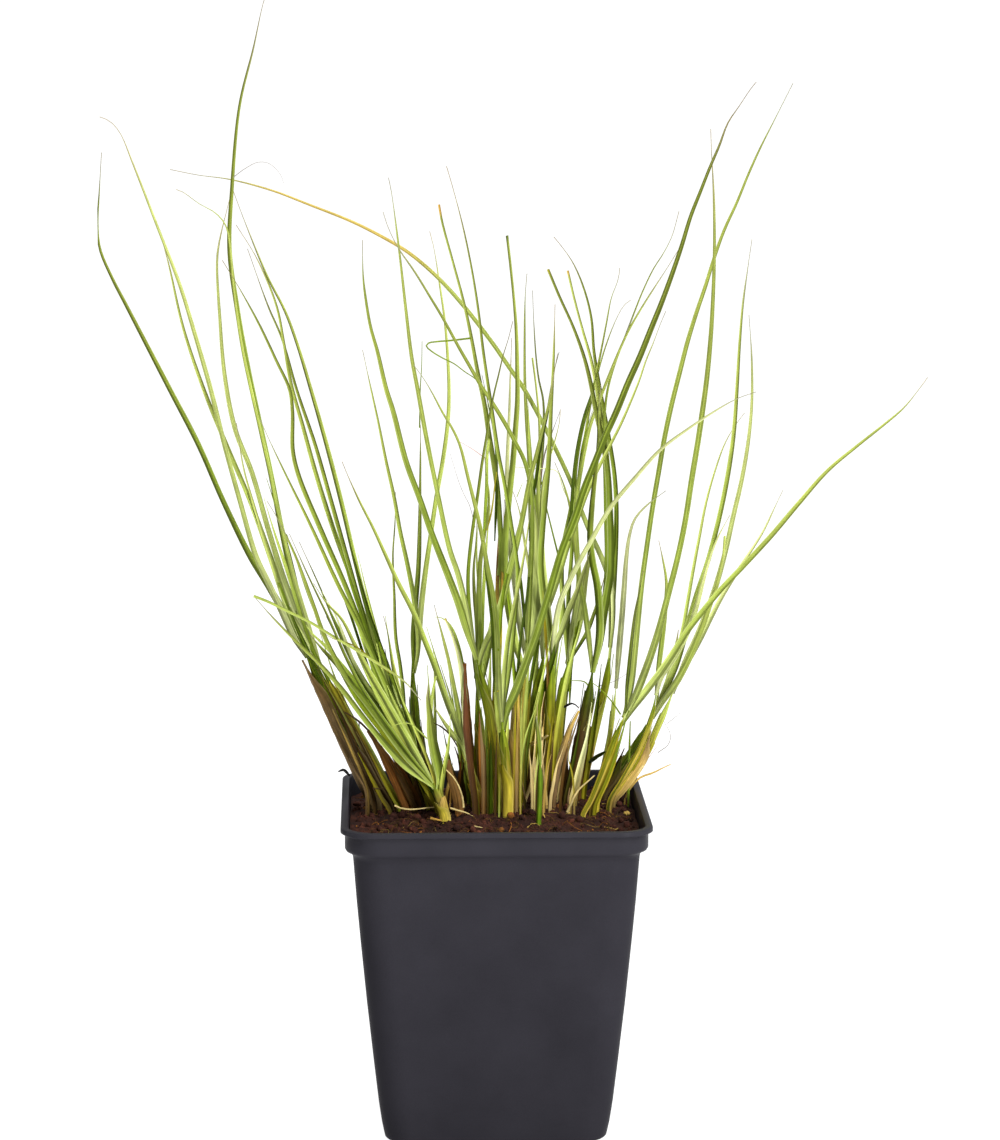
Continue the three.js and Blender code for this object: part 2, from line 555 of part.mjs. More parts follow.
// Closed mesh through rings of points, with both ends capped.
function loft(rings) {
  const sides = rings[0].length;
  const points = rings.flat();
  const faces = [];
  for (let row = 0; row + 1 < rings.length; row += 1) {
    for (let side = 0; side < sides; side += 1) {
      const next = (side + 1) % sides;
      const a = row * sides + side;
      const b = row * sides + next;
      const c = a + sides;
      const d = b + sides;
      faces.push(a, b, d, a, d, c);
    }
  }
  const last = (rings.length - 1) * sides;
  for (const [a, b, c] of capFaces(sides)) {
    faces.push(c, b, a);
    faces.push(last + a, last + b, last + c);
  }
  const geometry = new THREE.BufferGeometry().setFromPoints(points);
  geometry.setIndex(faces);
  return geometry;
}

// Solid of a closed mesh.
function solidOf(geometry) {
  const bare = geometry.clone();
  bare.deleteAttribute("normal");
  bare.deleteAttribute("uv");
  const merged = mergeVertices(bare, 1e-5);
  const vertProperties = new Float32Array(merged.attributes.position.array);
  const triVerts = new Uint32Array(merged.index.array);
  return new wasm.Manifold(new wasm.Mesh({ numProp: 3, vertProperties, triVerts }));
}

// Closed mesh of a solid.
function geometryOf(solid) {
  const mesh = solid.getMesh();
  const geometry = new THREE.BufferGeometry();
  geometry.setAttribute("position", new THREE.BufferAttribute(new Float32Array(mesh.vertProperties), 3));
  geometry.setIndex(new THREE.BufferAttribute(new Uint32Array(mesh.triVerts), 1));
  return geometry;
}

// Named mesh with its own material.
function piece(name, geometry, color, roughness, metalness = 0) {
  const material = new THREE.MeshStandardMaterial({ color, roughness, metalness });
  const mesh = new THREE.Mesh(geometry, material);
  mesh.name = name;
  return mesh;
}

// Ring of points round a square with round corners, at one height.
function squareRing(half, corner, z, steps) {
  const ring = [];
  const centre = half - corner;
  for (let quarter = 0; quarter < 4; quarter += 1) {
    const turn = (quarter * Math.PI) / 2;
    const middle = new THREE.Vector2(centre, centre).rotateAround(new THREE.Vector2(), turn);
    for (let step = 0; step <= steps; step += 1) {
      const angle = turn + (step / steps) * (Math.PI / 2);
      ring.push(new THREE.Vector3(
        middle.x + corner * Math.cos(angle),
        middle.y + corner * Math.sin(angle),
        z,
      ));
    }
  }
  return ring;
}

// Corner radius of the pot's outside at a height.
function cornerAt(z) {
  return THREE.MathUtils.lerp(BASE_CORNER, TOP_CORNER, z / POT_HEIGHT);
}

// Half width of the pot's body at a height, between the stated levels.
function bodyHalf(z) {
  const upper = BODY_PROFILE.findIndex(([level]) => level >= z);
  if (upper <= 0) return BODY_PROFILE[upper === 0 ? 0 : BODY_PROFILE.length - 1][1];
  const [lowZ, lowHalf] = BODY_PROFILE[upper - 1];
  const [highZ, highHalf] = BODY_PROFILE[upper];
  return THREE.MathUtils.mapLinear(z, lowZ, highZ, lowHalf, highHalf);
}

// Levels of the pot's inside, from the lip down to the floor, as [z, half width].
function innerLevels() {
  const collar = COLLAR_HALF - POT_WALL;
  const ledge = COLLAR_LOW - POT_WALL;
  return [
    [POT_HEIGHT, collar],
    [ledge + 0.6, collar - 0.2],
    [ledge, bodyHalf(ledge) - POT_WALL],
    [77.3, bodyHalf(77.3) - POT_WALL],
    [32.1, bodyHalf(32.1) - POT_WALL],
    [9.1, bodyHalf(9.1) - POT_WALL],
    [FLOOR_TOP, bodyHalf(FLOOR_TOP) - POT_WALL - 1.2],
  ];
}

// Square pot with a rolled lip, a collar, tapering walls, a foot and open drain holes.
function potGeometry() {
  const outer = [
    [0, FOOT_HALF],
    [FOOT_HEIGHT, FOOT_HALF],
    ...BODY_PROFILE,
    [COLLAR_LOW - 0.8, COLLAR_HALF - 0.9],
    [COLLAR_LOW + 0.4, COLLAR_HALF],
    [POT_HEIGHT - LIP_THICK, COLLAR_HALF],
    [POT_HEIGHT - LIP_THICK + 0.3, LIP_HALF],
    [POT_HEIGHT - 0.3, LIP_HALF],
    [POT_HEIGHT, LIP_HALF - 0.4],
  ];
  const ringAt = ([z, half]) => squareRing(half, cornerAt(z), z, CORNER_STEPS);
  const innerRingAt = ([z, half]) => squareRing(half, cornerAt(z) - POT_WALL, z, CORNER_STEPS);
  const body = solidOf(loft([...outer.map(ringAt), ...innerLevels().map(innerRingAt)]));
  const drains = [[1, 1], [-1, 1], [-1, -1], [1, -1], [1, 0], [0, 1], [-1, 0], [0, -1]];
  return geometryOf(drains.reduce((solid, [sideX, sideY]) => {
    const drain = new THREE.CylinderGeometry(DRAIN_RADIUS, DRAIN_RADIUS, 12, DRAIN_SIDES);
    drain.rotateX(Math.PI / 2);
    drain.translate(sideX * DRAIN_REACH, sideY * DRAIN_REACH, 0);
    return solid.subtract(solidOf(drain));
  }, body));
}

// Height of the soil: a low mound round the tuft, with lumps.
function soilHeight(x, y) {
  const mound = SOIL_MOUND * Math.exp(-((x / 34) ** 2) - ((y - 6) / 30) ** 2);
  const lumps = 0.45 * Math.sin(x * 0.31 + 1.2) * Math.cos(y * 0.27 + 0.4)
    + 0.3 * Math.sin(x * 0.57 - y * 0.49 + 2);
  return SOIL_EDGE + mound + lumps;
}

// Potting soil that fills the pot, before the stems' holes.
function soilBody() {
  const levels = innerLevels().reverse();
  levels[0] = [levels[0][0] + FIT_GAP, levels[0][1]];
  const walls = levels
    .filter(([z]) => z < SOIL_EDGE - 1)
    .map(([z, half]) => squareRing(half - FIT_GAP, cornerAt(z) - POT_WALL, z, SOIL_CORNER_STEPS));
  const reach = COLLAR_HALF - POT_WALL - 0.2 - FIT_GAP;
  const top = [];
  for (let ring = 0; ring < SOIL_RINGS; ring += 1) {
    const share = 1 - ring / SOIL_RINGS;
    const corner = Math.max(reach * share * 0.22, 0.5);
    const points = squareRing(reach * share, corner, 0, SOIL_CORNER_STEPS);
    top.push(points.map((p) => new THREE.Vector3(p.x, p.y, soilHeight(p.x, p.y))));
  }
  return solidOf(loft([...walls, ...top]));
}

// Points spaced evenly along a smooth curve through hand-read ones, root first.
function spaced(route) {
  const knots = [...route].reverse().map(([x, z]) => new THREE.Vector3(x, 0, z));
  const curve = new THREE.CatmullRomCurve3(knots);
  const count = THREE.MathUtils.clamp(
    Math.round(curve.getLength() / SEGMENT_LENGTH), FEWEST_SEGMENTS, MOST_SEGMENTS);
  return curve.getSpacedPoints(count);
}

// Point on a sheath's axis at a seen height, with its depth.
function axisAt(tiller, z) {
  const feet = tiller.sheath;
  const top = feet[feet.length - 1][1];
  const share = THREE.MathUtils.clamp((z - feet[0][1]) / (top - feet[0][1]), 0, 1);
  const level = THREE.MathUtils.lerp(feet[0][1], top, share);
  const upper = Math.max(1, feet.findIndex(([, height]) => height >= level));
  const [lowX, lowZ] = feet[upper - 1];
  const [highX, highZ] = feet[upper];
  return {
    x: THREE.MathUtils.mapLinear(level, lowZ, highZ, lowX, highX),
    z: level,
    depth: THREE.MathUtils.lerp(tiller.depth[0], tiller.depth[1], share),
  };
}

// Strand of a blade: seen points root first, a depth for each, and its half width.
function bladeStrand(owner, blade, route, from, tipDepth) {
  const points = spaced([...route, [from.x, from.z]]);
  const last = points.length - 1;
  const depths = points.map((point, index) => (
    THREE.MathUtils.lerp(from.depth, tipDepth, (index / last) ** DEPTH_EASE)));
  return { owner, points, depths, radius: blade.width / 2, blade, fixed: false };
}

// Strand of a tiller's sheath, which stays where it is.
function sheathStrand(tiller) {
  const points = tiller.sheath.map(([x, z]) => new THREE.Vector3(x, 0, z));
  const depths = tiller.sheath.map(([, z]) => axisAt(tiller, z).depth);
  const wrap = WRAPS.find((entry) => entry.tiller === tiller.name);
  const extra = wrap ? WRAP_GAP + wrap.thick : 0;
  const radius = Math.max(...tiller.radius) + extra;
  return { owner: tiller.name, points, depths, radius, fixed: true };
}

// Every strand of the plant: sheaths, blades, folded legs and dead leaves.
function allStrands() {
  const strands = [];
  for (const tiller of TILLERS) {
    strands.push(sheathStrand(tiller));
    for (const blade of tiller.blades) {
      const lowest = blade.route[blade.route.length - 1];
      const from = axisAt(tiller, lowest[1] - ROOT_DROP);
      strands.push(bladeStrand(tiller.name, blade, blade.route, from, blade.tip));
      if (blade.leg) {
        const [foldX, foldZ] = blade.route[0];
        const fold = { x: foldX, z: foldZ, depth: blade.tip };
        strands.push(bladeStrand(tiller.name, blade, blade.leg, fold, blade.legDepth));
      }
    }
  }
  for (const leaf of DRY_LEAVES) {
    const points = spaced(leaf.route);
    const last = points.length - 1;
    const depths = points.map((point, index) => (
      THREE.MathUtils.lerp(leaf.depth[0], leaf.depth[1], index / last)));
    const radius = leaf.width / 2;
    strands.push({ owner: leaf.name, points, depths, radius, blade: leaf, fixed: leaf.round });
  }
  return strands;
}

// Where two seen segments come nearest: the share along each, and the distance.
function nearest(a, b, c, d) {
  const along = new THREE.Vector2(b.x - a.x, b.z - a.z);
  const across = new THREE.Vector2(d.x - c.x, d.z - c.z);
  const between = new THREE.Vector2(c.x - a.x, c.z - a.z);
  const turn = along.cross(across);
  const u = between.cross(across) / turn;
  const v = between.cross(along) / turn;
  if (Math.abs(turn) > 1e-9 && u >= 0 && u <= 1 && v >= 0 && v <= 1) return [u, v, 0];
  const pin = (share) => THREE.MathUtils.clamp(share, 0, 1);
  const onFirst = (x, z) => pin(((x - a.x) * along.x + (z - a.z) * along.y) / along.lengthSq());
  const onSecond = (x, z) => pin(((x - c.x) * across.x + (z - c.z) * across.y) / across.lengthSq());
  const tries = [
    [0, onSecond(a.x, a.z)],
    [1, onSecond(b.x, b.z)],
    [onFirst(c.x, c.z), 0],
    [onFirst(d.x, d.z), 1],
  ].map(([s, t]) => {
    const x = a.x + along.x * s - c.x - across.x * t;
    const z = a.z + along.y * s - c.z - across.y * t;
    return [s, t, Math.hypot(x, z)];
  });
  return tries.reduce((best, next) => (next[2] < best[2] ? next : best));
}

// Places where strands of different nodes would touch, with the depth each needs.
function crossings(strands) {
  const list = [];
  strands.forEach((first, i) => {
    strands.slice(i + 1).forEach((second) => {
      if (first.owner === second.owner || (first.fixed && second.fixed)) return;
      const reach = first.radius + second.radius + CLEAR_GAP;
      for (let m = 0; m + 1 < first.points.length; m += 1) {
        for (let n = 0; n + 1 < second.points.length; n += 1) {
          const [u, v, distance] = nearest(
            first.points[m], first.points[m + 1], second.points[n], second.points[n + 1]);
          if (distance < reach) {
            const need = Math.sqrt(reach * reach - distance * distance);
            list.push({ first, second, m, n, u, v, need });
          }
        }
      }
    });
  });
  return list;
}

// Moves one strand's depth at a place on one of its segments, but never its root.
function nudge(strand, segment, share, amount) {
  if (strand.fixed) return;
  if (segment > 0) strand.depths[segment] += amount * (1 - share);
  strand.depths[segment + 1] += amount * share;
}

// Evens out how far each strand was moved from its first depths.
function evenOut(strand, first, strength) {
  const moved = strand.depths.map((depth, index) => depth - first[index]);
  const last = moved.length - 1;
  for (let index = 1; index <= last; index += 1) {
    const beyond = index < last ? moved[index + 1] : moved[index];
    const target = (moved[index - 1] + beyond) / 2;
    strand.depths[index] += strength * (target - moved[index]);
  }
}

// Bends blades clear of the other tillers by sliding them along the line of sight.
function bendClear(strands) {
  const list = crossings(strands);
  const first = strands.map((strand) => [...strand.depths]);
  for (let round = 0; round < CLEAR_ROUNDS; round += 1) {
    const strength = 0.25 * (1 - round / CLEAR_ROUNDS);
    for (const { first: one, second: two, m, n, u, v, need } of list) {
      const oneDepth = THREE.MathUtils.lerp(one.depths[m], one.depths[m + 1], u);
      const twoDepth = THREE.MathUtils.lerp(two.depths[n], two.depths[n + 1], v);
      const short = need - Math.abs(twoDepth - oneDepth);
      if (short > 0) {
        const way = twoDepth >= oneDepth ? 1 : -1;
        const share = one.fixed || two.fixed ? 1 : 0.5;
        nudge(one, m, u, -way * short * share);
        nudge(two, n, v, way * short * share);
      }
    }
    strands.forEach((strand, index) => {
      if (!strand.fixed) evenOut(strand, first[index], strength);
    });
  }
}

// Unit vectors across a strand at each point: along its width and towards its back.
function crossFrames(points) {
  return points.map((point, index) => {
    const before = points[Math.max(index - 1, 0)];
    const after = points[Math.min(index + 1, points.length - 1)];
    const along = after.clone().sub(before).normalize();
    const sight = point.clone().sub(EYE).normalize();
    const wide = sight.cross(along).normalize();
    const back = along.clone().cross(wide);
    return { wide, back };
  });
}

// Sweep of a flat outline, whose corners are given at each point of the route.
function sweep(points, outlineAt) {
  const frames = crossFrames(points);
  const last = points.length - 1;
  return loft(points.map((point, index) => {
    const { wide, back } = frames[index];
    return outlineAt(index / last).map(([across, behind]) => (
      point.clone().addScaledVector(wide, across).addScaledVector(back, behind)));
  }));
}

// Half width of a blade along its length: narrow in the sheath, fine at the tip.
function bladeHalf(width, t) {
  const base = 0.75 + 0.25 * ease(t / 0.15);
  const point = 1 - ease((t - 0.45) / 0.55);
  return Math.max(TIP_WIDTH, width * base * (0.35 + 0.65 * point)) / 2;
}

// Keeled blade: two edges and a rib along its back.
function bladeGeometry(strand) {
  const places = strand.points.map((p, index) => placed(p.x, p.z, strand.depths[index]));
  return sweep(places, (t) => {
    const half = bladeHalf(strand.blade.width, t);
    return [[-half, -BLADE_THICK / 2], [half, -BLADE_THICK / 2], [0, BLADE_THICK / 2]];
  });
}

// Regular outline of a round stem.
function roundOutline(radius) {
  const corners = [];
  for (let side = 0; side < STEM_SIDES; side += 1) {
    const angle = (side / STEM_SIDES) * Math.PI * 2;
    corners.push([radius * Math.cos(angle), radius * Math.sin(angle)]);
  }
  return corners;
}

// Route of a stem in space, led straight down into the soil below its first point.
function stemRoute(seen) {
  const places = seen.map(([x, z, depth]) => placed(x, z, depth));
  const foot = places[0].clone().setZ(ROOT_BOTTOM);
  return [foot, ...places];
}

// Places along a tiller's sheath, up to a share of its length.
function sheathRoute(tiller, reach = 1) {
  const low = tiller.sheath[0][1];
  const high = tiller.sheath[tiller.sheath.length - 1][1];
  const levels = tiller.sheath.map(([, z]) => z).filter((z) => z < low + (high - low) * reach);
  levels.push(low + (high - low) * reach);
  return stemRoute(levels.map((z) => {
    const { x, depth } = axisAt(tiller, z);
    return [x, z, depth];
  }));
}

// Largest body of a solid, without loose slivers, closed-in hollows or tiny edges.
function largestBody(solid) {
  const bodies = solid.simplify(FINEST_EDGE).decompose();
  return bodies.reduce((best, body) => (body.volume() > best.volume() ? body : best));
}

// Tiller: its sheath and its blades fused into one solid.
function tillerSolid(tiller, strands) {
  const [foot, top] = tiller.radius;
  const stem = solidOf(sweep(sheathRoute(tiller), (t) => roundOutline(THREE.MathUtils.lerp(foot, top, t))));
  const blades = strands.filter((strand) => strand.owner === tiller.name && strand.blade);
  return largestBody(
    blades.reduce((solid, strand) => solid.add(solidOf(bladeGeometry(strand))), stem));
}

// Dead sheath: a shell open on one side, wrapped round the foot of its tiller.
function wrapGeometry(wrap) {
  const tiller = TILLERS.find(({ name }) => name === wrap.tiller);
  const inner = Math.max(...tiller.radius) + WRAP_GAP;
  return sweep(sheathRoute(tiller, wrap.reach), (t) => {
    const outer = inner + wrap.thick * (1 - 0.25 * t);
    const corners = [];
    for (let step = 0; step <= WRAP_SIDES; step += 1) {
      const angle = WRAP_OPENING / 2 + (step / WRAP_SIDES) * (Math.PI * 2 - WRAP_OPENING);
      corners.push([outer * Math.cos(angle), outer * Math.sin(angle)]);
    }
    for (let step = WRAP_SIDES; step >= 0; step -= 1) {
      const angle = WRAP_OPENING / 2 + (step / WRAP_SIDES) * (Math.PI * 2 - WRAP_OPENING);
      corners.push([inner * Math.cos(angle), inner * Math.sin(angle)]);
    }
    return corners;
  });
}

// Dead leaf or stem that stands in the soil by itself.
function dryLeafGeometry(strand) {
  const seen = strand.points.map((p, index) => [p.x, p.z, strand.depths[index]]);
  const half = strand.blade.width / 2;
  return sweep(stemRoute(seen), (t) => {
    if (strand.blade.round) return roundOutline(half * (1 - 0.12 * t));
    const wide = half * (0.6 + 0.4 * ease(t * 3)) * (1 - 0.5 * ease((t - 0.6) / 0.4));
    return [[-wide, -BLADE_THICK / 2], [wide, -BLADE_THICK / 2], [0, BLADE_THICK / 2]];
  });
}

// Plain hole in the soil round the foot of a stem.
function holeGeometry(route, radius) {
  const above = route[1].clone().lerp(route[2], 1);
  const below = route[0].clone().setZ(HOLE_BOTTOM);
  return sweep([below, route[1], above], () => roundOutline(radius + HOLE_GAP));
}

// Feet of everything that stands in the soil, each with the radius it takes up.
function feet(strands) {
  const stems = TILLERS.map((tiller) => {
    const wrap = WRAPS.find((entry) => entry.tiller === tiller.name);
    const extra = wrap ? WRAP_GAP + wrap.thick : 0;
    return { route: sheathRoute(tiller), radius: Math.max(...tiller.radius) + extra };
  });
  const leaves = strands
    .filter((strand) => DRY_LEAVES.includes(strand.blade))
    .map((strand) => ({
      route: stemRoute(strand.points.map((p, index) => [p.x, p.z, strand.depths[index]])),
      radius: strand.radius,
    }));
  return [...stems, ...leaves];
}

// The whole object.
function pottedGrass() {
  const strands = allStrands();
  bendClear(strands);
  const object = new THREE.Group();
  object.add(piece("pot", potGeometry(), COLORS.pot, 0.45));
  const soil = feet(strands).reduce(
    (solid, { route, radius }) => solid.subtract(solidOf(holeGeometry(route, radius))), soilBody());
  object.add(piece("soil", geometryOf(soil), COLORS.soil, 0.95));
  for (const tiller of TILLERS) {
    object.add(piece(tiller.name, geometryOf(tillerSolid(tiller, strands)), COLORS.blade, 0.55));
  }
  for (const wrap of WRAPS) {
    object.add(piece(wrap.name, wrapGeometry(wrap), COLORS[wrap.color], 0.8));
  }
  for (const strand of strands.filter(({ blade }) => DRY_LEAVES.includes(blade))) {
    const { name, color } = strand.blade;
    object.add(piece(name, dryLeafGeometry(strand), COLORS[color], 0.8));
  }
  return object;
}

export default pottedGrass();
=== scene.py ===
"""Potted fountain grass: fine blades, sheaths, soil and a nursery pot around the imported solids.

Lengths in the tables are millimetres. Blender objects are in metres, in the same frame.
"""

import math
import random

import bmesh
import bpy
import numpy as np
from mathutils import Matrix, Vector, noise


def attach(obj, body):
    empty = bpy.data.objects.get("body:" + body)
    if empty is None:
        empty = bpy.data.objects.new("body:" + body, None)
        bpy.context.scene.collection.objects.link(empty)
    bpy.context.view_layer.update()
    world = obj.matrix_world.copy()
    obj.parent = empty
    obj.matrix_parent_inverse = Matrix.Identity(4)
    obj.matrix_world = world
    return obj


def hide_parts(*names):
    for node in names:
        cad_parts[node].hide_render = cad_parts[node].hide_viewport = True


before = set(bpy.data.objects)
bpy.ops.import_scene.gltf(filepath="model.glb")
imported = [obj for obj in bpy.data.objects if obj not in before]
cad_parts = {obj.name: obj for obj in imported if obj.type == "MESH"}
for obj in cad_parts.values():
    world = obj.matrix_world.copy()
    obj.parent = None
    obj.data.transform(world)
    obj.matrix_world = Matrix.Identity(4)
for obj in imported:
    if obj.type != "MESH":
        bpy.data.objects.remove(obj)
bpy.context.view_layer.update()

MM = 0.001
SEED = 20261

# Pot and soil, as in the solids. FOOT_STEP alone differs: the visual foot ring is a little taller.
FIT_GAP = 0.3
POT_HEIGHT = 120.0
POT_WALL = 1.2
FLOOR_TOP = 3.6
FOOT_HALF = 35.8
FOOT_HEIGHT = 2.2
FOOT_STEP = 3.1
LIP_HALF = 55.0
COLLAR_HALF = 53.5
COLLAR_LOW = 112.0
BODY_TOP = 108.4
TOP_CORNER = 12.0
BASE_CORNER = 10.5
CORNER_STEPS = 12
POT_SHARP = 38.0
DRAIN_RADIUS = 4.5
DRAIN_REACH = 27.0
DRAIN_DEPTH = 12.0
DRAIN_SIDES = 32
SOIL_EDGE = 112.8
SOIL_MOUND = 4.2
ROOT_BOTTOM = 107.0

# Blades, as in the solids: the routes are slid along lines of sight from this point.
EYE = np.array([-41.0, -1387.1, 417.6])
SEGMENT_LENGTH = 20.0
FEWEST_SEGMENTS = 4
MOST_SEGMENTS = 17
ROOT_DROP = 7.0
CLEAR_GAP = 0.7
CLEAR_ROUNDS = 500
DEPTH_EASE = 1.25
WRAP_GAP = 0.35
WRAP_OPENING = 1.1

# Height and half width of the pot's body, from its foot to its collar.
BODY_PROFILE = [
  [FOOT_HEIGHT + 0.4, 38.6],
  [5.1, 39.7],
  [9.1, 40.5],
  [16.8, 41.6],
  [32.1, 43.3],
  [54.9, 45.7],
  [77.3, 47.8],
  [92.2, 49.1],
  [BODY_TOP, 50.3],
]

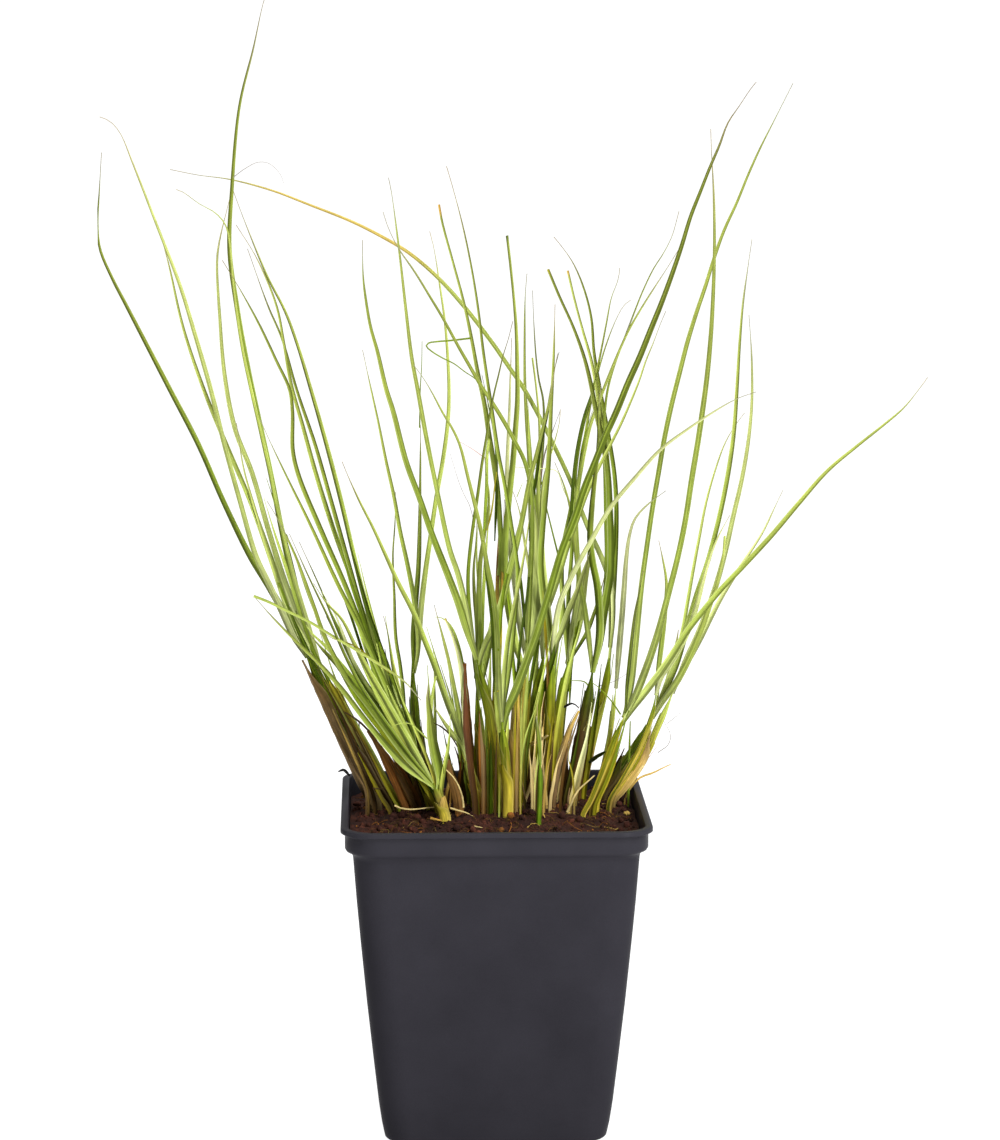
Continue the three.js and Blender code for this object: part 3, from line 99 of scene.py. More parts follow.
# The living stems, read off the front. A sheath runs up from the soil, with a depth and a radius for
# its foot and its top. A blade's route runs from its tip down to the sheath, and "tip" is the depth
# there. A "leg" is the part of a blade that hangs down beyond a fold.
TILLERS = [
  {
    "name": "tiller_left_outer",
    "sheath": [[-42.5, 118], [-47, 127], [-52, 138], [-57.3, 150], [-62.8, 163], [-67.6, 174.5]],
    "depth": [16, 20],
    "radius": [1.6, 1.3],
    "blades": [
      { "tip": 26, "width": 1.9, "route": [
        [-138, 354], [-139, 340], [-139.8, 328], [-139, 320], [-135, 310], [-130, 300], [-125, 290],
        [-115, 270], [-105, 250], [-96.5, 230], [-87, 210], [-81, 200], [-75.5, 190], [-71.5, 181]] },
      { "tip": -12, "width": 1.7, "route": [
        [-138.5, 366.5], [-135, 365], [-131.5, 361], [-127, 350], [-119.5, 330], [-111, 307],
        [-106, 290], [-100.5, 270], [-96, 251], [-90.5, 230], [-85, 210], [-81, 201], [-76, 190],
        [-71.5, 180]] },
      { "tip": 64, "width": 1.7, "route": [
        [-119, 330], [-115, 315], [-110, 292], [-103, 270], [-96, 252], [-87, 230], [-80, 210],
        [-73.5, 190], [-70, 181]] },
    ],
  },
  {
    "name": "tiller_left_second",
    "sheath": [[-35, 118], [-40, 127], [-45.5, 138], [-51, 149], [-57, 160], [-62, 169]],
    "depth": [11, 12],
    "radius": [1.8, 1.4],
    "blades": [
      { "tip": 4, "width": 1.9, "route": [
        [-77.5, 413], [-80, 408], [-84.3, 390], [-89.3, 370], [-92.3, 340], [-93.3, 320],
        [-91, 300], [-87.7, 280], [-83.7, 260], [-79.5, 240], [-75.8, 220], [-71.5, 200],
        [-68.5, 190], [-65.5, 179]] },
      { "tip": 48, "width": 1.8, "route": [
        [-92.5, 340], [-97, 322], [-97.8, 315], [-97, 295], [-95.5, 275], [-92, 256], [-86, 240],
        [-80.5, 220], [-74.5, 200], [-70, 188], [-66, 178]] },
      { "tip": -30, "width": 1.1, "route": [
        [-91.5, 258], [-90.5, 250], [-89, 241], [-85.5, 228], [-81.5, 214], [-77, 200],
        [-72.5, 189], [-67, 179]] },
      { "tip": -24, "width": 1.2, "route": [
        [-112, 341], [-109.5, 340], [-104, 336], [-98, 332.5], [-94.5, 328], [-93, 318],
        [-92, 305], [-89.5, 286], [-85.5, 266], [-81, 246], [-77, 226], [-72.5, 206], [-68, 190],
        [-64.5, 178]] },
    ],
  },
  {
    "name": "tiller_left_fan_front",
    "sheath": [[-17.5, 114], [-18.5, 118], [-20, 122.5], [-22, 126.5]],
    "depth": [-11, -11],
    "radius": [1.7, 1.4],
    "blades": [
      { "tip": -26, "width": 1.6, "route": [
        [-86, 195.5], [-80, 188.5], [-74, 182], [-68, 176], [-62, 170], [-54, 160.5],
        [-47, 151], [-38, 139.5], [-31, 132]], "leg": [
        [-26, 157], [-32, 164], [-45, 173], [-58, 181], [-66, 186], [-74, 190], [-81, 193.5]],
        "legDepth": -32 },
      { "tip": -34, "width": 1.7, "route": [
        [-81, 230], [-78, 225], [-75.5, 220], [-70.5, 209], [-64.5, 192], [-61.5, 183], [-58, 175],
        [-53, 166], [-47.5, 158.5], [-42, 151], [-37, 144], [-31, 136], [-27, 131.5]] },
      { "tip": -44, "width": 1.1, "route": [
        [-73, 218], [-66, 202], [-59, 187], [-53, 173], [-48, 163], [-42, 153.5], [-36, 145],
        [-29.5, 136]] },
      { "tip": -22, "width": 1.8, "route": [
        [-64.5, 200], [-60, 193], [-54.5, 187], [-50, 178], [-46, 170], [-41, 161], [-36, 152],
        [-31, 143], [-26, 134]] },
      { "tip": -17, "width": 2.6, "route": [
        [-23.5, 163], [-23.7, 158], [-22.9, 151], [-22.5, 146], [-21.5, 140], [-20.2, 134],
        [-19.4, 129]] },
    ],
  },
  {
    "name": "tiller_left_fan_middle",
    "sheath": [[-20.5, 116.5], [-22, 121], [-24, 126.5], [-26.5, 132]],
    "depth": [1, 2],
    "radius": [1.9, 1.5],
    "blades": [
      { "tip": -20, "width": 1.8, "route": [
        [-96, 316], [-90, 306], [-83, 293], [-77, 280], [-72.5, 270], [-71.5, 262], [-71.5, 248],
        [-69.5, 239], [-62, 220], [-53.5, 200], [-47, 183], [-42, 169], [-36, 155], [-31, 144]] },
      { "tip": -48, "width": 1.5, "route": [
        [-83, 259], [-80, 252], [-74.5, 240], [-65, 220], [-56, 200], [-49.5, 187], [-45, 177],
        [-40, 165.5], [-34.5, 153], [-30, 142]] },
      { "tip": 30, "width": 1.6, "route": [
        [-87, 320], [-80, 300], [-75, 288], [-70, 270], [-63.5, 250], [-58, 230], [-52.5, 210],
        [-47.5, 192], [-43, 176], [-37.5, 162], [-32, 149], [-28.5, 140]] },
      { "tip": -10, "width": 1.1, "route": [
        [-39.5, 188], [-38, 182], [-36, 168], [-33, 157], [-29.5, 146]] },
      { "tip": -14, "width": 2.8, "route": [
        [-66, 181.5], [-61.5, 176], [-56, 170], [-51.5, 163.5], [-47.5, 157.5], [-43, 151],
        [-39, 145.5], [-35, 140], [-31, 135]] },
    ],
  },
  {
    "name": "tiller_left_fan_back",
    "sheath": [[-25, 119], [-26.5, 124], [-28.5, 130], [-31, 136.5]],
    "depth": [11, 12],
    "radius": [1.9, 1.5],
    "blades": [
      { "tip": 58, "width": 1.7, "route": [
        [-92, 341], [-88, 330], [-80, 310], [-74, 298], [-70, 287], [-65, 270], [-59.5, 250],
        [-54.5, 230], [-50, 210], [-46, 193], [-42, 178], [-38, 165], [-34.5, 153],
        [-33, 145]] },
      { "tip": 22, "width": 1.7, "route": [
        [-91, 328.5], [-84, 317], [-77, 300], [-74.5, 287], [-72, 272], [-68, 257], [-63.5, 240],
        [-57.5, 220], [-50.5, 200], [-45, 183], [-40.5, 170], [-36, 157], [-33, 147]] },
      { "tip": 34, "width": 1, "route": [
        [-69.5, 215], [-62, 198], [-58, 188], [-53, 176], [-47, 164], [-41, 154], [-35.5, 145]] },
      { "tip": 40, "width": 1.1, "route": [
        [-35, 233], [-35.2, 222], [-36, 210], [-35.5, 195], [-35, 180], [-33.5, 170],
        [-32.5, 160], [-32, 149]] },
    ],
  },
  {
    "name": "tiller_left_upright",
    "sheath": [[-23, 121], [-24.5, 129], [-26.3, 138], [-28, 148], [-28.6, 158], [-28.6, 167]],
    "depth": [22, 24],
    "radius": [1.9, 1.5],
    "blades": [
      { "tip": 66, "width": 1.5, "route": [
        [-26, 257], [-26, 250], [-26.2, 235], [-26.5, 220], [-27, 205], [-28, 192],
        [-28.8, 180]] },
      { "tip": 88, "width": 1.6, "route": [
        [-22.5, 326], [-21, 320], [-19, 307], [-17.2, 294], [-16.2, 281], [-15.8, 268],
        [-16.3, 258], [-18, 245], [-20.3, 232], [-22.5, 217], [-24.5, 203], [-26, 190],
        [-27, 178]] },
      { "tip": 46, "width": 1.4, "route": [
        [-46.5, 284], [-44, 272], [-41, 258], [-38.5, 245], [-35.5, 231], [-33.5, 219],
        [-31, 207], [-28.5, 193], [-27.2, 182], [-27.3, 174]] },
    ],
  },
  {
    "name": "tiller_centre_left",
    "sheath": [[-4.5, 116], [-5.8, 122], [-8, 130], [-10, 138]],
    "depth": [-3, -2],
    "radius": [1.9, 1.5],
    "blades": [
      { "tip": -30, "width": 1.7, "route": [
        [-54, 244], [-52, 239], [-48, 230], [-43, 220], [-38.5, 210], [-34, 200], [-28.5, 189],
        [-25, 180], [-21, 169.5], [-16.5, 156.5], [-12.5, 146]] },
      { "tip": -40, "width": 1.2, "route": [
        [-21, 191], [-19, 183.5], [-17, 176], [-14.5, 164], [-12.8, 154], [-11.3, 145]] },
      { "tip": -16, "width": 1.6, "route": [
        [-17.3, 187], [-14.5, 180], [-12.5, 173], [-11.3, 165], [-10.6, 156], [-10.4, 147]] },
      { "tip": -10, "width": 1.3, "route": [
        [-21.5, 155], [-18, 149.3], [-14.3, 144.2], [-11.3, 140]] },
    ],
  },
  {
    "name": "tiller_centre_second",
    "sheath": [[-2.5, 117.5], [-3.3, 126], [-3.9, 136], [-4.6, 147], [-5.3, 157]],
    "depth": [4, 5],
    "radius": [1.5, 1.3],
    "blades": [
      { "tip": -66, "width": 1.2, "route": [
        [7, 294], [5.5, 288], [3.5, 281.5], [2, 275], [0.3, 268], [-1.3, 260], [-2.5, 252],
        [-4, 243], [-5.5, 232], [-7, 222], [-8.3, 212], [-9, 203], [-8.8, 193], [-7.5, 180],
        [-6.3, 168]] },
      { "tip": 34, "width": 1.9, "route": [
        [-19.2, 335.5], [-18, 329], [-14.5, 316], [-11, 303], [-8.5, 292], [-5.5, 276], [-3, 264],
        [-1.5, 254], [0, 245], [1.5, 235], [2.5, 222], [3, 210], [2, 198], [0.3, 187],
        [-1.8, 176], [-3.8, 166]] },
      { "tip": -22, "width": 1.6, "route": [
        [-3, 245.5], [-2.5, 239], [-1.5, 232], [-1.8, 225], [-3, 218], [-4.5, 208], [-5, 198],
        [-5.2, 186], [-5.4, 172]] },
      { "tip": 20, "width": 1.2, "route": [
        [-5.8, 224], [-6.2, 214], [-7, 205], [-6.8, 196], [-6, 186], [-5.6, 175]] },
    ],
  },
  {
    "name": "tiller_centre_main",
    "sheath": [[1.8, 116], [1.6, 124], [0.9, 134], [-0.2, 144], [-1.8, 154], [-3.8, 163.5], [-5.8, 172]],
    "depth": [-3, -6],
    "radius": [1.8, 1.6],
    "blades": [
      { "tip": -60, "width": 2, "route": [
        [-46.3, 323], [-46.1, 310], [-45.2, 302], [-43.5, 292], [-41, 283], [-38, 270],
        [-35.5, 262], [-31, 244], [-26, 230], [-22, 218], [-17, 205], [-12.5, 193],
        [-9.2, 182.5]] },
      { "tip": -34, "width": 1.6, "route": [
        [-37, 345], [-36, 340], [-34, 325], [-32.5, 312], [-31, 298], [-29, 281], [-27, 270],
        [-24, 253], [-20, 233], [-15.5, 212], [-12.5, 203], [-10, 192], [-8, 181]] },
      { "tip": -24, "width": 1.8, "route": [
        [23, 282.5], [22, 277], [20, 265], [17.3, 254], [15, 244.5], [12.8, 236], [11, 226],
        [9, 216], [7, 207.5], [5, 199.5], [3, 192], [0.5, 184.5], [-3, 177]] },
    ],
  },
  {
    "name": "tiller_centre_front",
    "sheath": [[5.2, 116], [5.3, 124], [4.7, 133], [3.7, 142], [3.2, 149]],
    "depth": [-9, -12],
    "radius": [1.7, 1.5],
    "blades": [
      { "tip": -52, "width": 2.3, "route": [
        [93, 378.5], [91, 376], [87, 370], [83, 364], [80, 356], [77, 349], [73.5, 340],
        [70, 331], [67, 321], [64, 312], [60, 301], [56, 291], [52, 281], [48, 272], [44, 262],
        [40, 253], [36.5, 244], [32.5, 234], [29, 223], [25, 213], [22, 203], [19, 192.5],
        [15.5, 181], [11.5, 169.5], [8, 160], [5, 153]] },
      { "tip": -92, "width": 1.5, "route": [
        [-28.3, 278.5], [-25, 274], [-22, 269], [-17.5, 260.5], [-15, 256.5], [-12, 250],
        [-9, 238], [-6, 226], [-4, 217], [-2, 206], [0, 196], [1.3, 185], [1.9, 172],
        [2.4, 160]] },
      { "tip": -76, "width": 1.3, "route": [
        [-16.5, 349], [-15, 344], [-11, 329], [-8, 315], [-5.5, 300], [-3.3, 282], [-0.5, 263],
        [2, 246], [4, 236], [7, 218], [8.5, 208], [8.8, 199], [8, 190], [7, 178], [5.5, 166],
        [4, 156]] },
      { "tip": -44, "width": 1.3, "route": [
        [13.5, 228], [12.3, 218], [10.8, 208], [9, 198], [7, 188], [5.3, 178], [4, 166]] },
    ],
  },
  {
    "name": "tiller_centre_yellow",
    "sheath": [[7.2, 121], [7.6, 130], [8, 141], [8.8, 152], [10.3, 163], [12, 172]],
    "depth": [12, 13],
    "radius": [2.3, 1.8],
    "blades": [
      { "tip": 18, "width": 3, "route": [
        [12, 237], [13.5, 231], [14.8, 224], [15.6, 215], [15.8, 205], [15.2, 195],
        [14.3, 185]] },
      { "tip": -40, "width": 1.5, "route": [
        [-39, 333], [-37, 327], [-33.5, 320], [-28, 312], [-22.5, 303], [-18, 295.5],
        [-12, 284.5], [-8, 277.5], [-4, 270.5], [0, 264.5], [4.5, 257], [8, 250.5], [11, 244.5],
        [13.2, 236], [14, 226], [14, 214], [13.5, 202], [13, 190], [12.5, 180]] },
      { "tip": -14, "width": 2.1, "route": [
        [5, 324.5], [6.3, 313], [7.5, 301], [8.3, 290], [8.6, 278], [8.7, 266], [8, 255],
        [7.2, 244], [6.2, 234], [5.2, 224], [4.4, 213], [4.4, 203], [5.2, 194], [6.7, 185],
        [8.7, 175]] },
      { "tip": 70, "width": 1.7, "route": [
        [6.6, 288], [6.2, 275], [5.8, 262], [5.3, 250], [5, 238], [5.2, 228], [6, 215],
        [7.5, 203], [9, 191], [10.3, 180]] },
      { "tip": 4, "width": 1.3, "route": [
        [61.5, 297.5], [60, 294], [57, 286], [54.5, 280], [52, 272.5], [49, 265], [45.5, 257],
        [41.5, 249], [37.5, 241], [33.5, 232], [30, 222], [26.5, 212], [23.5, 202], [20, 192],
        [16.5, 184], [13.5, 177.5]] },
    ],
  },
  {
    "name": "tiller_centre_brown",
    "sheath": [[12.5, 121], [12.7, 131], [13.2, 142], [14.5, 153], [16.3, 163.5], [18, 173]],
    "depth": [20, 21],
    "radius": [2, 1.6],
    "blades": [
      { "tip": 78, "width": 1.6, "route": [
        [12, 311], [11.4, 303], [11.2, 288], [11.3, 272], [11.8, 260], [12.6, 248], [13, 238],
        [13.2, 226], [13.8, 212], [14.8, 199], [16.3, 187], [17.3, 179]] },
      { "tip": 40, "width": 1.6, "route": [
        [14, 281], [15.3, 271], [16.5, 258], [16.7, 248], [16.2, 238], [16.5, 226], [17.5, 213],
        [18.3, 200], [18.6, 188]] },
      { "tip": 96, "width": 1.1, "route": [
        [14, 305], [14.5, 293], [15.3, 281], [16.3, 273], [17.8, 266], [18, 255], [17, 240],
        [15.8, 225], [15.6, 210], [16.3, 195], [17.3, 182]] },
      { "tip": 30, "width": 1.1, "route": [
        [7, 233], [8.5, 229], [10, 223], [11, 216], [13, 205], [15.5, 194], [17, 183]] },
    ],
  },
  {
    "name": "tiller_centre_right",
    "sheath": [[19.5, 121.5], [20, 131], [20.3, 142], [20.6, 152], [21, 163], [21.5, 172]],
    "depth": [14, 14],
    "radius": [1.9, 1.6],
    "blades": [
      { "tip": -20, "width": 1.9, "route": [
        [22, 300], [21.8, 290], [21.4, 277], [20.7, 263], [20.2, 250], [19.6, 240], [18.6, 229],
        [17.6, 218], [17, 207], [17.8, 197], [19.3, 187], [20.6, 179]] },
      { "tip": -70, "width": 1.5, "route": [
        [94, 268.5], [87, 266], [79, 261.5], [70, 255.5], [60, 248], [51, 238], [42, 227],
        [35, 215], [30, 206], [27, 200], [24, 193], [22.5, 186], [21.8, 179]] },
      { "tip": 0, "width": 1.1, "route": [
        [24, 262.5], [23.7, 258], [22.7, 253.5], [21.5, 249], [19.5, 243], [18, 237],
        [17.2, 228], [17.5, 215], [18.8, 200], [20.3, 186]] },
      { "tip": -8, "width": 1.6, "route": [
        [34.8, 211], [32.5, 204], [30, 196], [27.5, 190], [24.8, 182.5], [22.5, 177]] },
    ],
  },
  {
    "name": "tiller_right_inner",
    "sheath": [[23, 122], [23.2, 132], [23.2, 142], [23.9, 152], [25.3, 162], [27, 171]],
    "depth": [25, 27],
    "radius": [1.9, 1.6],
    "blades": [
      { "tip": 62, "width": 1.3, "route": [
        [45, 313], [44.5, 309], [42, 302], [40.5, 294], [39, 286], [37, 276], [34.8, 266],
        [32.5, 258], [31, 251], [29.8, 243], [29, 234], [27.3, 224], [25.5, 215], [24.8, 205],
        [25, 195], [26, 184]] },
      { "tip": 84, "width": 1.2, "route": [
        [49, 301.5], [46.5, 299.5], [44, 295], [41.5, 289], [39, 281.5], [36.5, 272],
        [34.5, 263], [33, 254], [32, 247], [30.8, 239], [29.5, 230], [28.7, 220], [28, 208],
        [27, 195], [26.8, 184]] },
      { "tip": 40, "width": 1.4, "route": [
        [66, 319.5], [62, 313], [57.5, 306], [52.5, 298], [48, 290], [44, 281], [40, 271],
        [36.5, 262], [34.5, 256], [33, 249], [31.5, 241], [30.2, 232], [29.8, 222], [30.2, 212],
        [30.8, 202], [29.8, 192], [28.3, 182]] },
      { "tip": 32, "width": 2.4, "route": [
        [35.5, 214], [34.3, 207], [33, 200], [31.8, 192], [30.2, 183.5], [28.6, 177]] },
      { "tip": 50, "width": 1.1, "route": [
        [40, 202], [38.5, 196], [36.5, 189], [34, 182], [31, 176.5]] },
    ],
  },
  {
    "name": "tiller_right_dark",
    "sheath": [[28, 121.5], [29.7, 130], [31.3, 139], [33, 149], [34.6, 158.5], [35.8, 167]],
    "depth": [16, 17],
    "radius": [2.4, 2],
    "blades": [
      { "tip": 6, "width": 2.2, "route": [
        [19.5, 312.5], [23.5, 303], [28.5, 292], [32.5, 281], [35, 271], [36.5, 263],
        [38.5, 254], [40.2, 246], [41.3, 236], [41.8, 225], [42.2, 213], [42, 203], [40.6, 194],
        [39.3, 186], [38, 177]] },
      { "tip": -32, "width": 2.1, "route": [
        [38.5, 271], [37.6, 262], [37.6, 252], [37, 243], [36, 234], [35.2, 225], [34.8, 216],
        [35.8, 207], [37.4, 199], [38.2, 190], [38.3, 181], [37.3, 174]] },
      { "tip": 22, "width": 1.5, "route": [
        [22, 243.5], [24.5, 237.5], [26.5, 231.5], [28, 225], [29, 218], [30, 209], [31, 201],
        [32.5, 193], [33.8, 184], [34.8, 176]] },
      { "tip": 60, "width": 1, "route": [
        [66, 333], [63.5, 324], [60.5, 318], [57, 312.5], [53, 304], [49.5, 295], [46.5, 287],
        [43.5, 279], [41, 270], [39.8, 260], [39.7, 248], [40, 236], [40.3, 222], [40.6, 208],
        [40, 196], [38.7, 186], [37.2, 177]] },
    ],
  },
  {
    "name": "tiller_right_olive",
    "sheath": [[31.8, 122], [33.8, 132], [36.2, 143], [38.7, 154], [41, 165], [42.2, 176]],
    "depth": [29, 31],
    "radius": [1.5, 1.3],
    "blades": [
      { "tip": 66, "width": 1.6, "route": [
        [-114, 348], [-104, 346], [-93, 344.5], [-78, 340.5], [-65, 335.5], [-50, 329.5],
        [-40, 324.5], [-30, 318.5], [-20, 310], [-10, 299], [0, 286], [5.5, 278], [11, 270],
        [17, 259], [23, 247], [28, 236], [32, 225], [35.5, 216.5], [38.5, 210], [41, 203.5],
        [42.7, 195], [43, 186]] },
      { "tip": 80, "width": 1.6, "route": [
        [21.5, 324], [24, 321], [28.5, 314.5], [32.5, 305], [35, 295], [36, 283], [38, 271],
        [40, 260], [42, 249], [43.5, 239], [44.2, 228], [44.1, 214], [43.5, 200],
        [42.8, 188]] },
      { "tip": 46, "width": 1.9, "route": [
        [26.5, 312], [29, 301.5], [32, 290.5], [35, 280], [37, 270], [38.3, 261], [40, 251],
        [41, 241], [41.6, 230], [41.9, 218], [42.2, 206], [42.8, 195], [42.8, 184]] },
    ],
  },
  {
    "name": "tiller_right_fork",
    "sheath": [[32.5, 114], [35.5, 120], [38.5, 127.5], [42, 137], [45.2, 145], [47.8, 151.5]],
    "depth": [-3, 3],
    "radius": [1.1, 1.7],
    "blades": [
      { "tip": 20, "width": 1.8, "route": [
        [106, 378], [104, 374], [99.5, 365], [94.5, 355], [90.5, 346], [86.5, 336], [82, 326],
        [78.5, 316], [75.5, 306], [72.5, 297], [69.5, 287], [66.5, 275], [63.8, 264],
        [61.3, 252], [59.3, 240], [57, 226], [55.2, 213], [53.5, 200], [52.3, 188],
        [51.2, 176], [50, 164], [49, 157.5]] },
      { "tip": -46, "width": 2, "route": [
        [77, 362], [77.3, 355], [78.3, 338], [78.7, 322], [78.5, 306], [77.8, 290], [76.5, 274],
        [75, 262], [73.3, 250], [71.2, 237], [69, 222], [66.2, 208], [63, 195], [60, 183],
        [57, 173], [53.5, 163], [51, 157]] },
      { "tip": -8, "width": 1.9, "route": [
        [155.5, 273.5], [153, 270], [147, 262.5], [140, 256.5], [130, 248.5], [120, 240],
        [110, 228.5], [100, 216.5], [90, 205.5], [82, 197], [75, 188.5], [70, 182], [65, 174],
        [60, 166.5], [54, 158.5], [51, 154.5]] },
      { "tip": -62, "width": 1, "route": [
        [54, 204], [52.5, 196], [51, 188], [50, 179], [49, 169], [48.2, 161]] },
    ],
  },
  {
    "name": "tiller_right_slim",
    "sheath": [[37.3, 121.5], [39.2, 129], [40.9, 137], [42.4, 145], [43.5, 153], [44.3, 161]],
    "depth": [36, 36],
    "radius": [1.3, 1.1],
    "blades": [
      { "tip": -40, "width": 1.6, "route": [
        [62, 233], [56, 228.5], [51, 223], [49, 217], [47.8, 208], [47.1, 198], [46.2, 185],
        [45.1, 171]] },
    ],
  },
  {
    "name": "tiller_right_thin",
    "sheath": [[40, 121.5], [43.4, 127], [47.3, 133.2], [51.3, 139.6], [54.8, 145], [58, 150.8]],
    "depth": [29, 27],
    "radius": [1.4, 1.2],
    "blades": [
      { "tip": 46, "width": 1.8, "route": [
        [92, 323], [90.5, 312], [89, 300], [88, 286], [87.2, 270], [86.3, 255], [85, 244],
        [82.8, 231], [80, 218], [77, 206.5], [73.5, 195.5], [69.5, 181], [66, 169],
        [61.5, 158.5]] },
      { "tip": 2, "width": 1.8, "route": [
        [83.2, 216.5], [82.5, 208], [80.5, 199], [78, 191], [74.5, 181], [70.5, 171.5],
        [66, 163], [61.8, 157]] },
      { "tip": 78, "width": 1.2, "route": [
        [90, 261], [87, 257], [83, 250], [79.5, 240], [76.5, 229], [74.2, 217], [72, 205],
        [70, 193], [68, 181], [65, 170], [61, 159]] },
      { "tip": 30, "width": 1.7, "route": [
        [66.8, 182.5], [65.9, 176], [64.6, 169], [62.8, 162.5]] },
    ],
  },
  {
    "name": "tiller_right_green",
    "sheath": [
      [42.2, 119], [46, 126], [49.8, 132.8], [53.2, 139.3], [55.8, 145.8], [57.6, 152], [58.8, 158.5]],
    "depth": [9, 15],
    "radius": [1.5, 1.3],
    "blades": [
      { "tip": 10, "width": 1.4, "route": [
        [59.5, 215], [61, 208], [62.3, 200], [62, 190], [61, 180], [60, 172], [59.3, 166]] },
      { "tip": 26, "width": 1.5, "route": [
        [85, 224], [81, 216.5], [78, 209], [75.5, 200], [73, 190], [69.5, 180], [65, 171.5],
        [61, 165.5]] },
    ],
  },
  {
    "name": "tiller_right_straw",
    "sheath": [
      [43.6, 120], [46.8, 123.8], [50, 128], [53.3, 133], [56.6, 139.6], [59.5, 146.5], [62.3, 153],
      [65, 159.5]],
    "depth": [19, 28],
    "radius": [1.7, 1.6],
    "blades": [
      { "tip": 68, "width": 1.8, "route": [
        [91.2, 296], [92.3, 281], [92.5, 264], [91.3, 250], [89, 236], [86.3, 224], [83.5, 211],
        [80.3, 199], [77, 189], [73.4, 179.5], [69.8, 171.5], [67.5, 166]] },
      { "tip": 36, "width": 1.4, "route": [
        [104, 233], [101, 226.5], [97, 218], [92, 210], [86.8, 202], [82, 194], [78.5, 187],
        [74.7, 179], [71, 172], [68, 166.5]] },
    ],
  },
  {
    "name": "tiller_young",
    "sheath": [[16.5, 113], [16.8, 119], [17, 127], [16.9, 135]],
    "depth": [-15, -15],
    "radius": [0.9, 0.8],
    "blades": [
      { "tip": -17, "width": 1.4, "route": [[15.5, 151], [16, 146], [16.6, 140]] },
    ],
  },
]

# Dead sheaths round the foot of a stem, and the share of its height that they cover.
WRAPS = [
  { "name": "dry_sheath_left", "color": "brown",
    "tiller": "tiller_left_outer", "reach": 0.97, "thick": 1 },
  { "name": "dry_sheath_front", "color": "cream",
    "tiller": "tiller_left_fan_front", "reach": 0.5, "thick": 0.8 },
  { "name": "dry_sheath_centre", "color": "brown",
    "tiller": "tiller_centre_second", "reach": 0.78, "thick": 0.8 },
  { "name": "dry_sheath_right", "color": "straw",
    "tiller": "tiller_right_straw", "reach": 0.62, "thick": 0.8 },
]

# A dead stem and dead leaves that stand in the soil, with their routes from the tip down.
DRY_LEAVES = [
  { "name": "dry_stem_upright", "color": "brown", "depth": [12, 12], "width": 3.4, "round": True,
    "route": [[-10.6, 170.5], [-10.5, 164], [-10, 155], [-9.3, 146], [-8.1, 136], [-6.9, 127],
              [-6.2, 119]] },
  { "name": "dry_leaf_left", "color": "brown", "depth": [4, 5], "width": 3.2,
    "route": [[-45.5, 146], [-41.5, 139.5], [-38, 132], [-34.5, 124.5], [-32, 118]] },
  { "name": "dry_leaf_front", "color": "cream", "depth": [-6, -6], "width": 3.6,
    "route": [[-16.8, 135], [-15.8, 129], [-13.8, 122.5], [-12.3, 116]] },
  { "name": "dry_leaf_right", "color": "cream", "depth": [7, 7], "width": 2,
    "route": [[30.8, 153], [28, 147], [25, 138], [23, 130], [21.8, 120]] },
]


def lerp(a, b, t):
    return a + (b - a) * t


def clamp(value, low, high):
    return max(low, min(high, value))


def ease(t):
    """Smooth step from 0 to 1."""
    u = clamp(t, 0.0, 1.0)
    return u * u * (3 - 2 * u)


def placed(x, z, depth):
    """Point at (x, z) of the plane y = 0, slid along its line of sight to a depth."""
    share = (depth - EYE[1]) / -EYE[1]
    return (np.array([x, 0.0, z]) - EYE) * share + EYE


def span(x0, x1, x2, x3, d0, d1, d2, w):
    """Point of a centripetal Catmull-Rom curve between x1 and x2."""
    t1 = ((x1 - x0) / d0 - (x2 - x0) / (d0 + d1) + (x2 - x1) / d1) * d1
    t2 = ((x2 - x1) / d1 - (x3 - x1) / (d1 + d2) + (x3 - x2) / d2) * d1
    square = -3 * x1 + 3 * x2 - 2 * t1 - t2
    cube = 2 * x1 - 2 * x2 + t1 + t2
    return x1 + t1 * w + square * w * w + cube * w * w * w


def curve_point(knots, t):
    """Point at a share t of the knots of a smooth curve."""
    last = len(knots) - 1
    place = last * t
    index = min(int(math.floor(place)), last - 1)
    w = place - index
    before = knots[index - 1] if index > 0 else 2 * knots[0] - knots[1]
    after = knots[index + 2] if index + 2 <= last else 2 * knots[-1] - knots[-2]
    four = (before, knots[index], knots[index + 1], after)
    gaps = [float(((four[k + 1] - four[k]) ** 2).sum()) ** 0.25 for k in range(3)]
    return span(*four, *gaps, w)


def arc_table(knots, steps=200):
    """Lengths along a smooth curve at even shares of its knots."""
    points = np.array([curve_point(knots, step / steps) for step in range(steps + 1)])
    pieces = np.linalg.norm(np.diff(points, axis=0), axis=1)
    return np.concatenate([[0.0], np.cumsum(pieces)])


def spaced(knots, count, table=None):
    """Points spaced evenly along a smooth curve through the knots."""
    knots = [np.asarray(knot, float) for knot in knots]
    lengths = arc_table(knots) if table is None else table
    shares = np.linspace(0.0, 1.0, len(lengths))
    wanted = np.linspace(0.0, lengths[-1], count + 1)
    return np.array([curve_point(knots, t) for t in np.interp(wanted, lengths, shares)])


def axis_at(tiller, z):
    """Point (x, z) on a sheath's axis at a seen height, with its depth."""
    feet = tiller["sheath"]
    low, top = feet[0][1], feet[-1][1]
    share = clamp((z - low) / (top - low), 0.0, 1.0)
    level = lerp(low, top, share)
    upper = max(1, next(i for i, foot in enumerate(feet) if foot[1] >= level))
    (low_x, low_z), (high_x, high_z) = feet[upper - 1], feet[upper]
    x = lerp(low_x, high_x, (level - low_z) / (high_z - low_z))
    return x, level, lerp(tiller["depth"][0], tiller["depth"][1], share)


